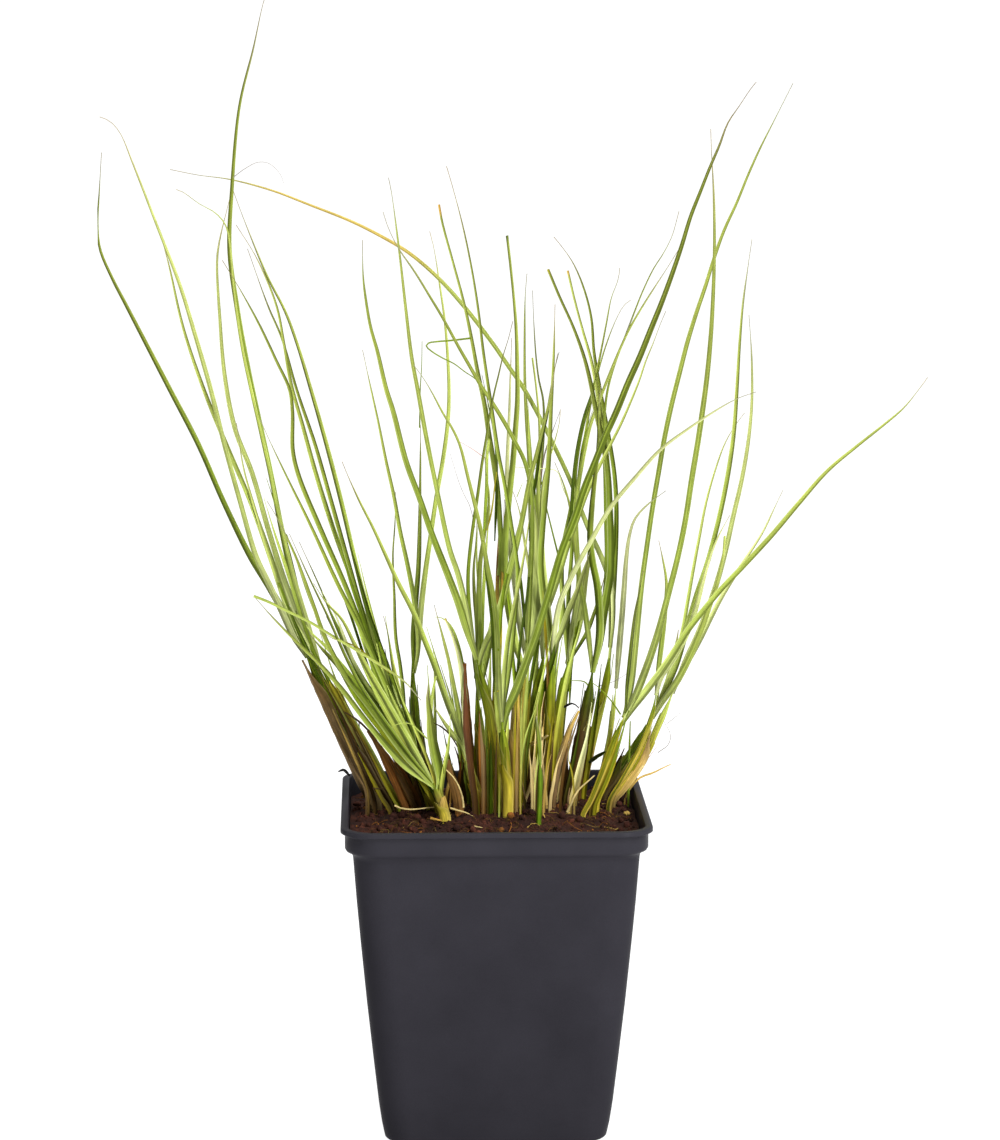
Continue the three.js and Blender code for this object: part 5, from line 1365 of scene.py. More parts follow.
def build_tillers(strands, leaf):
    """One piece for each tiller: its stem, its leaf sheaths and its blades."""
    for number, tiller in enumerate(TILLERS):
        name = tiller["name"]
        rng = random.Random(SEED + number)
        shape = Shape()
        add_stem(shape, tiller, rng)
        own = [s for s in strands if s.owner == name and s.blade is not None]
        place = -1
        for strand in own:
            if not strand.is_leg:
                place += 1
            tone = TONES[name][place] + rng.uniform(-0.05, 0.05)
            add_blade(shape, strand, tone, CUT_TIPS.get((name, place)), rng)
        build(name.replace("tiller", "grass"), shape, leaf, (name,))


def build_dry(strands, papery):
    """The dead sheaths, leaves and stem that the solids have."""
    rng = random.Random(SEED + 90)
    for wrap in WRAPS:
        tiller = next(t for t in TILLERS if t["name"] == wrap["tiller"])
        shape = Shape()
        gap = WRAP_GAP + max(tiller["radius"]) - tiller["radius"][0]
        add_shell(shape, tiller, wrap["reach"], gap + 0.1, wrap["thick"] * 0.45, WRAP_OPENING, 0.0,
                  DRY_SHADES[wrap["name"]], flare=0.25, ragged=0.12, rng=rng)
        build(wrap["name"] + "_paper", shape, papery, (wrap["name"],))
    for leaf in DRY_LEAVES:
        strand = next(s for s in strands if s.owner == leaf["name"])
        shape = Shape()
        places = smooth_route(with_root(fine_places(strand, DRY_STEP)), DRY_STEP)
        add_dry_leaf(shape, places, leaf, DRY_SHADES[leaf["name"]], rng)
        build(leaf["name"] + "_paper", shape, papery, (leaf["name"],))


# Dead leaves: spacing along them, steps across, wall, and how far they are curled up.
DRY_STEP = 2.0
DRY_SIDES = 10
DRY_WALL = 0.22
DRY_CURL = 2.2
ROLLED_CURL = math.tau * 0.86


def add_dry_leaf(shape, places, leaf, colours, rng):
    """Curled dead leaf, or a dead stem rolled shut, with a ragged end."""
    wide, back = frames(places)
    last = len(places) - 1
    half = leaf["width"] / 2
    curl = ROLLED_CURL if leaf.get("round") else DRY_CURL
    rings, tints, along = [], [], []
    for index, place in enumerate(places):
        t = index / last
        size = half * (0.62 + 0.38 * ease(t * 3)) * (1 - 0.45 * ease((t - 0.7) / 0.3))
        bow = size if leaf.get("round") else size / math.sin(curl / 2) * 0.95
        turn = 0.7 * t
        shade = three_stops(colours, t)
        outer, inner, outer_row, inner_row = [], [], [], []
        for step in range(DRY_SIDES + 1):
            share = step / DRY_SIDES
            angle = -math.pi / 2 + (share - 0.5) * curl + turn
            rough = 1 + rng.uniform(-0.04, 0.04) * (1 + 2 * t)
            radius = bow * rough
            direction = spoke(wide[index], back[index], angle)
            centre = place if leaf.get("round") else place + back[index] * (bow * 0.6)
            outer.append(centre + direction * radius)
            inner.append(centre + direction * (radius - DRY_WALL))
            streak = 1 + 0.2 * math.sin(share * 23 + 1.3)
            outer_row.append(shade * streak)
            # The inner face is painted darker, as shade inside the curl.
            inner_row.append(shade * streak * 0.7)
        rings.append(outer + inner[::-1])
        tints.append(outer_row + inner_row[::-1])
        along.append(t * DRY_GRAIN)
    row = [step / DRY_SIDES * 2 - 1 for step in range(DRY_SIDES + 1)]
    shape.loft(rings, tints, row + row[::-1], along)


def square_ring(half, corner, z, flats=6):
    """Points round a square with round corners, with extra points along its flat sides."""
    ring = []
    centre = half - corner
    angles = [step / CORNER_STEPS * math.pi / 2 for step in range(CORNER_STEPS + 1)]
    for quarter in range(4):
        turn = quarter * math.pi / 2
        c, s = math.cos(turn), math.sin(turn)
        arc = [(centre + corner * math.cos(a), centre + corner * math.sin(a)) for a in angles]
        flat = [(centre * (1 - 2 * k / flats), half) for k in range(1, flats)]
        ring += [(x * c - y * s, x * s + y * c, z) for x, y in arc + flat]
    return ring


def corner_at(z):
    """Corner radius of the pot at a height."""
    return lerp(BASE_CORNER, TOP_CORNER, z / POT_HEIGHT)


def body_half(z):
    """Half width of the pot's body at a height."""
    levels = [level for level, _ in BODY_PROFILE]
    return float(np.interp(z, levels, [half for _, half in BODY_PROFILE]))


# Outside of the foot ring, and of the collar and the rolled lip, as height and half width.
FOOT_PROFILE = [
    (0.0, FOOT_HALF - 0.4), (0.4, FOOT_HALF), (FOOT_STEP, FOOT_HALF),
    (FOOT_STEP + 0.1, 38.6), (FOOT_STEP + 0.4, 39.4), (FOOT_STEP + 0.9, 39.8),
]
COLLAR_PROFILE = [
    (BODY_TOP + 1.2, 50.9), (COLLAR_LOW - 1.2, 52.0), (COLLAR_LOW - 0.6, 53.0),
    (COLLAR_LOW + 0.4, COLLAR_HALF), (115.0, COLLAR_HALF), (117.3, COLLAR_HALF),
    (117.8, 53.8), (118.05, 54.6), (118.35, LIP_HALF), (119.5, LIP_HALF),
    (119.85, 54.8), (POT_HEIGHT, 54.4),
]
BODY_LEVELS = 26
BODY_BULGE = 0.35
INNER_LEVELS = (77.3, 32.1, 9.1)


def pot_levels():
    """Outside and inside levels of the pot as (z, half width), with rounded edges."""
    rises = np.linspace(BODY_PROFILE[1][0], BODY_TOP, BODY_LEVELS)
    body = [(float(z), body_half(z) + BODY_BULGE) for z in rises]
    outer = FOOT_PROFILE + body + COLLAR_PROFILE
    collar = COLLAR_HALF - POT_WALL
    ledge = COLLAR_LOW - POT_WALL
    inner = [(POT_HEIGHT, collar + 0.5), (119.8, collar + 0.15), (119.4, collar),
             (ledge + 0.6, collar - 0.2), (ledge, body_half(ledge) - POT_WALL)]
    inner += [(z, body_half(z) - POT_WALL) for z in INNER_LEVELS]
    inner += [(FLOOR_TOP, body_half(FLOOR_TOP) - POT_WALL - 1.2)]
    return outer, inner


def build_pot(plastic):
    """Moulded square pot with open drain holes."""
    outer, inner = pot_levels()
    rings = [square_ring(half, corner_at(z), z) for z, half in outer]
    rings += [square_ring(half, corner_at(z) - POT_WALL, z) for z, half in inner]
    sides = len(rings[0])
    shape = Shape()
    plain = [[(1.0, 1.0, 1.0)] * sides] * len(rings)
    shape.loft(rings, plain, [0.0] * sides, [ring[0][2] for ring in rings])
    pot = build("nursery_pot", shape, plastic, ("pot",), sharp=POT_SHARP)
    cut_drains(pot)


def drain_cutter():
    """Object with a round bar for each of the eight drain holes."""
    mesh = bpy.data.meshes.new("drains")
    cuts = bmesh.new()
    for x in (-1, 0, 1):
        for y in (-1, 0, 1):
            if x or y:
                made = bmesh.ops.create_cone(
                    cuts, cap_ends=True, segments=DRAIN_SIDES, depth=DRAIN_DEPTH * MM,
                    radius1=DRAIN_RADIUS * MM, radius2=DRAIN_RADIUS * MM)
                bmesh.ops.translate(cuts, verts=made["verts"],
                                    vec=Vector((x * DRAIN_REACH, y * DRAIN_REACH, 0)) * MM)
    cuts.to_mesh(mesh)
    cuts.free()
    tool = bpy.data.objects.new("drains", mesh)
    bpy.context.scene.collection.objects.link(tool)
    return tool


def cut_drains(pot):
    """Cuts the drain holes through the pot's floor."""
    tool = drain_cutter()
    step = pot.modifiers.new("drains", "BOOLEAN")
    step.operation = "DIFFERENCE"
    step.solver = "EXACT"
    step.object = tool
    view = bpy.context.evaluated_depsgraph_get()
    made = bpy.data.meshes.new_from_object(pot.evaluated_get(view))
    pot.modifiers.clear()
    pot.data = made
    made.set_sharp_from_angle(angle=math.radians(POT_SHARP))
    bpy.data.objects.remove(tool)


def soil_level(x, y):
    """Height of the soil as in the solids: a low mound round the tuft, with lumps."""
    mound = SOIL_MOUND * math.exp(-((x / 34) ** 2) - ((y - 6) / 30) ** 2)
    lumps = 0.45 * math.sin(x * 0.31 + 1.2) * math.cos(y * 0.27 + 0.4)
    return SOIL_EDGE + mound + lumps + 0.3 * math.sin(x * 0.57 - y * 0.49 + 2)


# Unevenness of the soil: scale and height of its clods and its grains. It is calmer near the wall.
CLOD_SCALE, CLOD_RISE = 0.22, 1.1
GRAIN_SCALE, GRAIN_RISE = 0.9, 0.5
CALM_FROM, CALM_WIDTH, CALM_SHARE = 46, 6, 0.35


def crumbly(x, y):
    """Height of the soil with its crumbs and pits."""
    spot = Vector((x, y, 3.7))
    coarse = noise.fractal(spot * CLOD_SCALE, 1.0, 2.0, 4)
    fine = noise.fractal(spot * GRAIN_SCALE, 1.0, 2.0, 3)
    edge = 1 - ease((max(abs(x), abs(y)) - CALM_FROM) / CALM_WIDTH)
    rough = CALM_SHARE + (1 - CALM_SHARE) * edge
    return soil_level(x, y) + (CLOD_RISE * coarse + GRAIN_RISE * fine) * rough


def soil_tint(x, y, rng):
    """Dark peat, in places redder or drier."""
    damp = noise.noise(Vector((x * 0.12, y * 0.12, 8.1)))
    base = lerp(linear("peat"), linear("dry_peat"), clamp(0.5 + damp, 0, 1))
    return base * rng.uniform(0.75, 1.3)


# The soil's surface: its rings, the points along each side, and how much lies on it.
SOIL_RINGS = 62
SOIL_FLATS = 26
SOIL_SHARP = 60.0
CRUMBS = 1500
CRUMB_REACH = 50.0
CRUMB_LEAST, CRUMB_SPREAD = 0.35, 1.1
CORNER_FROM, CORNER_MIDDLE, CORNER_REACH = 42, 40, 10
RUSTY_SHARE = 0.06
FIBRES = 420
FIBRE_STEPS = 6
FIBRE_REACH = 46.0
FIBRE_SHADES = ("brown", "brown", "umber", "rust", "umber", "brown", "umber", "straw")

# The pale clod at the right, seen against the rim.
CLOD_AT = (48.5, 114.5, -4)
CLOD_LIFT = np.array([0, 0, 0.4])
CLOD_RADII = (1.5, 1.1, 0.9)
CLOD_TURN = 0.4


def soil_rings():
    """Rings of the soil's body, from the floor up the wall and in over the crumbly top."""
    _, inner = pot_levels()
    rings = []
    for z, half in reversed(inner[4:]):
        low = z + (FIT_GAP if z == FLOOR_TOP else 0.0)
        rings.append(square_ring(half - FIT_GAP, corner_at(z) - POT_WALL, low, SOIL_FLATS))
    reach = COLLAR_HALF - POT_WALL - 0.2 - FIT_GAP
    for k in range(SOIL_RINGS):
        half = reach * (1 - k / SOIL_RINGS)
        ring = square_ring(half, max(half * 0.22, 0.3), 0, SOIL_FLATS)
        rings.append([(x, y, crumbly(x, y)) for x, y, _ in ring])
    return rings


def beyond_corner(x, y):
    """Whether a place lies outside the pot's round corners."""
    if abs(x) <= CORNER_FROM or abs(y) <= CORNER_FROM:
        return False
    return math.hypot(abs(x) - CORNER_MIDDLE, abs(y) - CORNER_MIDDLE) > CORNER_REACH


def add_crumb(shape, rng):
    """One loose crumb on the soil, now and then a rusty one."""
    x, y = rng.uniform(-CRUMB_REACH, CRUMB_REACH), rng.uniform(-CRUMB_REACH, CRUMB_REACH)
    if beyond_corner(x, y):
        return
    size = CRUMB_LEAST + CRUMB_SPREAD * rng.random() ** 3
    tint = soil_tint(x, y, rng) * rng.uniform(0.8, 1.9)
    if rng.random() < RUSTY_SHARE:
        tint = linear("rust") * 0.6
    radii = [size * rng.uniform(0.7, 1.3) for _ in range(3)]
    centre = (x, y, crumbly(x, y) + radii[2] * rng.uniform(-0.2, 0.55))
    shape.lump(centre, radii, rng.uniform(0, math.tau), tint, rng)


def build_soil(peat):
    """Peat with an uneven top, loose crumbs and fibres."""
    rng = random.Random(SEED + 200)
    shape = Shape()
    rings = soil_rings()
    tints = [[soil_tint(x, y, rng) for x, y, _ in ring] for ring in rings]
    shape.loft(rings, tints, [0.0] * len(rings[0]), [0.0] * len(rings))
    for _ in range(CRUMBS):
        add_crumb(shape, rng)
    for _ in range(FIBRES):
        add_fibre(shape, rng)
    shape.lump(placed(*CLOD_AT) + CLOD_LIFT, CLOD_RADII, CLOD_TURN, linear("straw") * 0.6, rng)
    build("peat", shape, peat, ("soil",), sharp=SOIL_SHARP)


def thread(shape, places, radius, tint, end=0.5, sides=5):
    """Thin round thread through points, tapering towards its end."""
    wide, back = frames(places)
    last = len(places) - 1
    rings = []
    for index, place in enumerate(places):
        size = radius * lerp(1.0, end, index / last)
        rings.append([place + wide[index] * size * math.cos(k / sides * math.tau)
                      + back[index] * size * math.sin(k / sides * math.tau) for k in range(sides)])
    tints = [[tint] * sides] * len(rings)
    shape.loft(rings, tints, [0.0] * sides, [index * THREAD_GRAIN for index in range(len(rings))])


def add_fibre(shape, rng):
    """One short curved fibre that lies on the soil."""
    x, y = rng.uniform(-FIBRE_REACH, FIBRE_REACH), rng.uniform(-FIBRE_REACH, FIBRE_REACH)
    heading, bend = rng.uniform(0, math.tau), rng.uniform(-0.5, 0.5)
    rise = rng.uniform(0.0, 1.6)
    length, points = rng.uniform(2.5, 9.0), []
    for k in range(FIBRE_STEPS + 1):
        height = crumbly(x, y) + 0.12 + rise * math.sin(k / FIBRE_STEPS * math.pi)
        points.append(np.array([x, y, height]))
        x = clamp(x + math.cos(heading) * length / FIBRE_STEPS, -CRUMB_REACH, CRUMB_REACH)
        y = clamp(y + math.sin(heading) * length / FIBRE_STEPS, -CRUMB_REACH, CRUMB_REACH)
        heading += bend
    shade = rng.choice(FIBRE_SHADES)
    thread(shape, np.array(points), rng.uniform(0.08, 0.2), linear(shade) * rng.uniform(0.35, 0.7))


# Small loose growth, read off the front. Hairs hang on the blades they touch: colour, thickness and
# route. Scraps stand in the soil or on a strand, and roots lie on the soil. Both have a depth before
# the route, and a root without one follows the surface of the soil.
HAIRS = [
    ("grey", 0.3, [(-92, 345), (-88, 348), (-83, 350.5), (-79, 350), (-75, 346), (-74, 343)]),
    ("mid", 0.8, [(-8, 288), (-15, 287.2), (-20, 286.8), (-23, 286.3), (-23.8, 285.3), (-22, 283.5),
                  (-18, 281), (-14, 279), (-10, 276), (-7, 274), (-4, 271), (-2, 268)]),
    ("mid", 0.6, [(-26.3, 256), (-26, 270), (-25.5, 278), (-25.3, 287)]),
    ("grey", 0.3, [(-6.5, 220), (-8.5, 228), (-10.5, 232), (-12.5, 237), (-14, 242), (-15.5, 247)]),
    ("pink", 0.3, [(-3, 245), (-7, 248), (-12, 251)]),
    ("pale", 0.5, [(28.5, 227), (25, 234), (23, 240), (20, 241), (12.5, 241.3), (6, 242)]),
    ("light", 0.4, [(8.5, 231), (10.5, 236)]),
    ("grey", 0.3, [(45.5, 285), (49.5, 295)]),
    ("light", 0.6, [(-24, 143), (-27, 146), (-30, 148.5), (-34, 148.5), (-37, 147)]),
    ("mid", 0.7, [(35, 161), (33, 163.5), (28, 164)]),
    ("mid", 0.7, [(46, 151.5), (43, 156), (38, 161.5), (36, 163)]),
    ("grey", 0.3, [(38, 162), (42, 163), (46, 165), (49, 167)]),
    ("grey", 0.35, [(59.6, 137.3), (63.4, 140.3), (64.2, 143.7), (61.7, 149)]),
    ("grey", 0.25, [(63, 148), (69, 153)]),
    ("pink", 0.3, [(54.5, 133), (60, 140.5)]),
    ("mid", 0.9, [(25, 203), (22.4, 213.5), (20.3, 222), (18.2, 231), (17, 238)]),
    ("olive", 0.9, [(-2.5, 219), (-1, 224), (0, 230), (0.5, 235), (1.2, 240)]),
]
SCRAPS = [
    ("cream", 1.1, 6, [(11, 118), (13, 124), (15, 131), (17.4, 141), (17, 151)]),
    ("cream", 1.4, -7, [(12.4, 136), (12.8, 139.8), (16, 142), (19.5, 144)]),
    ("cream", 0.9, 3, [(14.5, 117), (14.2, 125), (15, 136)]),
    ("cream", 0.7, 10, [(21, 119), (22, 128), (24, 137), (27, 146), (30, 152)]),
    ("taupe", 0.8, 12, [(24.5, 121), (26, 134), (29, 145), (31, 151)]),
    ("cream", 1.3, 20, [(41.5, 118), (43, 120), (46.3, 122.5), (49.3, 126), (54.3, 132.7)]),
    ("straw", 0.7, 22, [(48, 121), (53, 128), (58, 130), (62, 132), (64.3, 133)]),
    ("black", 0.8, 14, [(22, 146), (24, 153), (26, 154.7), (29, 155.7), (31, 154)]),
    ("mid", 0.8, 20, [(49, 122), (49.2, 138.5), (49.5, 149)]),
    ("umber", 0.7, 13, [(-34, 133), (-37, 139.5), (-43, 144), (-48.7, 149.5), (-54, 153), (-57, 154)]),
    ("umber", 0.5, 13, [(-48.5, 143), (-48.5, 150)]),
    ("umber", 0.6, 10, [(-13, 140), (-15, 143.5), (-18.5, 147), (-22, 149)]),
    ("rust", 1.5, 8, [(-31, 120), (-33, 128), (-38, 136), (-43, 143)]),
    ("brown", 1.3, 6, [(-29, 119), (-32, 127), (-36, 134)]),
    ("yellow", 1.1, 2, [(9, 118), (9.5, 135), (9, 150), (8.6, 168)]),
    ("dark", 1.1, 24, [(2, 120), (2.5, 140), (1.5, 160), (-0.5, 186)]),
    ("rust", 1.2, 16, [(15, 120), (15.8, 135), (17, 150), (18.5, 163)]),
    ("olive", 1.3, 22, [(10, 121), (9.5, 140), (9.2, 160), (9, 176)]),
    ("light", 1.4, -12, [(-19.6, 126), (-22.4, 138), (-22.8, 153), (-22, 160), (-20.8, 166)]),
    ("dark", 1.4, 9, [(34.3, 133.3), (37, 135.8), (40.5, 138)]),
    ("black", 1.0, 28, [(-52, 129.5), (-54, 131.5), (-56, 131)]),
]
ROOTS = [
    ("cream", 0.75, -6, [(-35.8, 118.4), (-33.6, 117.4), (-30, 116.9), (-25, 117.3), (-22, 117.6),
                         (-19.6, 117.6)]),
    ("cream", 0.75, -10, [(-15.6, 117.3), (-12.8, 116.4), (-10, 115.6), (-7.2, 114.2)]),
    ("cream", 0.5, None, [(-7, 110.5), (-4, 110)]),
    ("cream", 0.8, -10, [(-10.8, 117.5), (-11.2, 121), (-12.6, 125.5), (-14.6, 128.8), (-17, 131.4)]),
    ("orange", 1.1, -17, [(-22.8, 113.6), (-20.8, 113.1), (-18.6, 112.6)]),
    ("straw", 0.6, None, [(18, 115), (18.8, 113.5)]),
    ("cream", 0.9, -3, [(26.8, 115.5), (28.2, 118.5), (29.5, 121.5), (31.2, 124), (34, 126.6),
                        (36.7, 129)]),
    ("taupe", 0.8, -1, [(27.2, 118), (27.2, 121), (27.7, 124.5)]),
    ("taupe", 0.7, -4, [(11.8, 120.5), (10.8, 124.5), (10.2, 128)]),
    ("umber", 0.6, -3, [(-43.5, 124.8), (-41.5, 124.6), (-39, 125)]),
]

# More leaf sheaths and short leaves that fill the foot of the tuft, each with its colours at the foot
# and at the top, its width, its depth and its route. A route that starts below FOOT_LEVEL stands in
# the soil, and another grows from the strand nearest to its start.
FOOT_LEVEL = 125.0
STALKS = [
    ("taupe", "taupe", 2.2, 12, [(-43.5, 118), (-47.5, 127), (-53, 138), (-58.5, 149),
                                 (-64, 161), (-68, 171)]),
    ("umber", "umber", 3.0, 21, [(-38.5, 119), (-43, 127), (-48.5, 138), (-54, 149),
                                 (-59, 159), (-62.5, 167)]),
    ("umber", "brown", 1.7, 12, [(-37.5, 118), (-42, 127), (-47, 137), (-52.7, 149),
                                 (-57.5, 159), (-60.5, 166)]),
    ("olive", "light", 1.0, 7, [(-33, 117), (-38, 127), (-43.5, 138), (-49.5, 149), (-54, 157)]),
    ("rust", "brown", 2.2, 7, [(-30, 118), (-34, 126), (-38.5, 134), (-42, 141), (-44.5, 145)]),
    ("umber", "rust", 2.0, 9, [(-27, 119), (-31, 127), (-35.5, 135), (-39.5, 141)]),
    ("umber", "umber", 2.6, 16, [(-29, 120), (-31, 128), (-34, 136), (-37, 143)]),
    ("umber", "dark", 2.2, 17, [(-24, 121), (-26, 129), (-29, 139), (-33, 150), (-38, 161), (-42, 171)]),
    ("umber", "dark", 2.2, 6, [(-21.5, 118), (-26, 128), (-33, 139), (-41, 151), (-48, 163),
                               (-54, 175), (-60, 188)]),
    ("umber", "olive", 1.8, 2, [(-37.5, 116), (-40.5, 121), (-44.5, 129), (-49, 138)]),
    ("dark", "olive", 1.6, 0, [(-33, 115.5), (-36, 121), (-40, 129), (-44.5, 138)]),
    ("umber", "brown", 2.4, 4, [(-28.5, 116.5), (-31, 122), (-34.5, 129), (-38, 136)]),
    ("umber", "umber", 2.4, 6, [(-24, 117), (-26, 123), (-28.5, 130), (-31.5, 138)]),
    ("umber", "umber", 2.2, 22, [(-43, 121), (-45.5, 127), (-49, 134), (-52, 141)]),
    ("olive", "dark", 2.0, -2, [(-20, 117), (-24, 126), (-30, 136), (-37.5, 146), (-44, 157), (-50, 169)]),
    ("rust", "brown", 2.0, 6, [(-13, 118), (-13.5, 124), (-14.5, 131), (-16, 136)]),
    ("umber", "umber", 2.2, 12, [(-10, 119), (-10.8, 127), (-12, 134), (-14, 140)]),
    ("brown", "umber", 1.4, 14, [(-15.5, 120), (-16.5, 128), (-18.5, 136)]),
    ("umber", "dark", 1.8, 18, [(-19, 120), (-20, 129), (-21, 138), (-21.5, 147)]),
    ("rust", "rust", 2.6, -1, [(-3.4, 116.5), (-3.6, 125), (-4.2, 135), (-4.9, 145), (-5.1, 153)]),
    ("dark", "dark", 2.0, -6, [(-1.2, 116.5), (-1.2, 126), (-1.1, 136), (-0.8, 145)]),
    ("umber", "umber", 2.6, 10, [(4.6, 119), (4.2, 130), (4.0, 140), (4.8, 149)]),
    ("yellow", "light", 1.2, -4, [(4.4, 135), (4.9, 144), (5.6, 153)]),
    ("umber", "olive", 1.9, 17, [(10.8, 121), (11.1, 132), (11.5, 143), (12.3, 154), (13.8, 165),
                                 (15.4, 176)]),
    ("yellow", "light", 1.5, 8, [(11, 122), (12, 133), (13.2, 143), (15, 153), (17.2, 163),
                                 (19.4, 173), (21.5, 184)]),
    ("dark", "dark", 1.7, 10, [(11.3, 131), (12.5, 141), (15, 151), (18.3, 161), (21.5, 172),
                               (24.3, 183), (27.5, 195)]),
    ("umber", "olive", 1.7, 19, [(17.5, 121), (17.8, 133), (18.1, 145), (18.9, 157), (20, 168), (21, 179)]),
    ("brown", "straw", 1.7, 12, [(16, 121), (16.8, 131), (17.6, 142), (18.6, 152)]),
    ("straw", "olive", 1.5, 9, [(19, 120), (19.6, 130), (20.5, 140), (21.6, 151)]),
    ("umber", "brown", 2.6, 23, [(25.5, 121), (26, 129), (27, 138)]),
    ("brown", "olive", 2.2, 21, [(22.8, 121), (22.4, 131), (22, 141), (21.7, 151), (22.2, 162)]),
    ("olive", "light", 1.8, 12, [(21.5, 127), (22.5, 140), (24.2, 152), (26.2, 163), (28.7, 174),
                                 (31.8, 186)]),
    ("umber", "dark", 2.2, 30, [(8.5, 123), (8.8, 138), (8.4, 153), (7.6, 167), (6.4, 182)]),
    ("umber", "umber", 2.4, 31, [(40.5, 122), (42.5, 127), (45, 133), (47.5, 139)]),
    ("yellow", "olive", 1.4, 5, [(38, 119), (40.6, 125), (43.5, 132), (46, 139)]),
    ("straw", "yellow", 1.6, 9, [(42, 119.5), (45.7, 124), (49.7, 129.5)]),
    ("umber", "dark", 1.8, 26, [(14.5, 122), (14.8, 135), (15.4, 148), (16.4, 160), (18.2, 172)]),
    ("umber", "olive", 1.8, 28, [(1.5, 122), (1.3, 135), (0.6, 148), (0.2, 160), (0.4, 173)]),
    ("olive", "light", 2.6, -5, [(-20, 117), (-24.5, 127), (-31, 139), (-38.5, 152),
                                 (-45, 165), (-51, 179)]),
    ("olive", "mid", 2.4, -8, [(-19.5, 116), (-24, 125), (-31, 135), (-40, 146), (-49, 158),
                               (-56, 170), (-62, 182)]),
    ("dark", "mid", 2.4, 3, [(-22, 118), (-27.5, 130), (-34, 143), (-39.5, 156), (-43.5, 169), (-47, 183)]),
    ("olive", "light", 2.8, 4, [(-23, 118), (-27, 130), (-31.5, 142), (-36, 154), (-39.5, 166),
                                (-42, 178)]),
    ("dark", "dark", 2.0, 8, [(-24, 119), (-28, 131), (-32, 143), (-35, 154), (-37.3, 165), (-39, 176)]),
    ("olive", "mid", 2.0, 14, [(-36, 119), (-42, 130), (-48.5, 141), (-55.5, 153), (-61.5, 165),
                               (-66.5, 177), (-71, 190)]),
    ("dark", "dark", 1.6, 18, [(-39, 119), (-44, 129), (-50, 141), (-57, 154), (-63.5, 167),
                               (-69.5, 181), (-74, 193)]),
    ("olive", "light", 1.4, 16, [(-34, 119), (-41, 131), (-48, 144), (-53, 155), (-58, 168), (-62.5, 183)]),
    ("olive", "mid", 2.2, 24, [(-22, 121), (-25.5, 135), (-28.5, 150), (-29, 165), (-28.6, 182)]),
    ("olive", "light", 1.8, 2, [(-6, 117.5), (-9, 130), (-12, 143), (-15, 156), (-19, 170)]),
    ("olive", "mid", 1.6, 8, [(-6.4, 119), (-6.4, 131), (-6, 145), (-5.8, 160), (-5.7, 176)]),
    ("umber", "russet", 2.4, -9, [(-6.4, 118), (-7.6, 128), (-8.8, 138), (-9.7, 147), (-10.1, 157),
                                  (-10.5, 171)]),
    ("olive", "light", 2.0, 9, [(-2, 119), (-2.4, 133), (-2.2, 148), (-1.4, 163), (-0.8, 180)]),
    ("olive", "light", 1.9, 1, [(3, 118), (3.2, 132), (2.2, 146), (0.8, 160), (0, 176)]),
    ("yellow", "light", 1.8, 7, [(10, 120), (10.6, 134), (11.3, 148), (12.2, 162), (13.4, 178)]),
    ("olive", "mid", 2.0, 13, [(15, 121), (15.4, 134), (16.3, 148), (17.6, 162), (18.6, 178)]),
    ("straw", "light", 1.8, 22, [(18.5, 122), (19.4, 136), (20.5, 150), (22.4, 164), (25, 180)]),
    ("olive", "light", 1.8, 28, [(24, 123), (24.4, 137), (25.4, 151), (27, 165), (29.4, 181)]),
    ("cream", "straw", 1.0, 18, [(23.5, 121), (25, 130), (27, 139), (29, 147)]),
    ("cream", "straw", 0.9, 9, [(21, 120), (22.6, 129), (24.6, 138), (27.4, 148)]),
    ("olive", "dark", 1.8, 27, [(33, 122), (34.5, 133), (36.2, 145), (37.8, 157), (39, 170)]),
    ("olive", "mid", 1.4, 2, [(37, 117.5), (40.2, 125.5), (43.4, 134), (46.2, 143), (49, 153)]),
    ("dark", "olive", 1.6, 20, [(44, 121), (48.3, 128), (52.3, 135), (55.6, 143), (58.4, 152)]),
    ("umber", "straw", 1.0, 5, [(-45.5, 124), (-48, 131), (-51, 138), (-54.5, 146), (-58, 154)]),
    ("umber", "taupe", 0.7, 4, [(-46.5, 124), (-49.5, 130), (-52, 136)]),
    ("umber", "umber", 1.5, 6, [(-43, 120), (-46, 129), (-50, 139), (-54, 149.5), (-59, 160),
                                (-63.5, 169)]),
    ("olive", "light", 1.4, -6, [(-19.5, 118), (-22.5, 127), (-26.5, 136), (-31.5, 147),
                                 (-36, 157), (-41, 169)]),
    ("dark", "dark", 1.1, -9, [(-20, 118), (-24, 127), (-29, 137), (-34.5, 148), (-39.5, 159)]),
    ("yellow", "light", 1.2, -11, [(-19, 119), (-21, 127), (-24, 136), (-28.5, 147), (-33, 158),
                                   (-36.5, 168)]),
    ("dark", "dark", 1.1, -7, [(-18.8, 120), (-20, 130), (-21.8, 140), (-23.5, 149)]),
    ("rust", "straw", 1.1, 2, [(-17.5, 116), (-17, 122), (-15.5, 129), (-14.6, 134.5)]),
    ("brown", "rust", 1.3, 3, [(-14, 116.5), (-13, 124), (-12, 132), (-11.3, 139)]),
    ("umber", "umber", 1.4, 7, [(-12, 118), (-11.4, 127), (-10.6, 136)]),
    ("straw", "rust", 0.8, 4, [(-15.8, 117), (-15.6, 124), (-16.8, 131), (-18, 137)]),
    ("olive", "mid", 1.2, 5, [(-13, 118), (-14.5, 128), (-16.5, 138), (-18.5, 148)]),
    ("dark", "dark", 1.3, 15, [(-66, 172), (-68.5, 178), (-71.5, 185.5), (-74.5, 193), (-77.5, 202),
                               (-80.5, 211), (-84, 221), (-88, 233)]),
    ("dark", "mid", 1.2, 6, [(-64.5, 171), (-68, 178.5), (-72, 187), (-75.5, 196), (-79, 206), (-83, 217)]),
    ("mid", "light", 1.2, 0, [(-62, 170), (-65.5, 178), (-69, 188), (-72, 198), (-75, 208), (-78.5, 219),
                              (-82, 231)]),
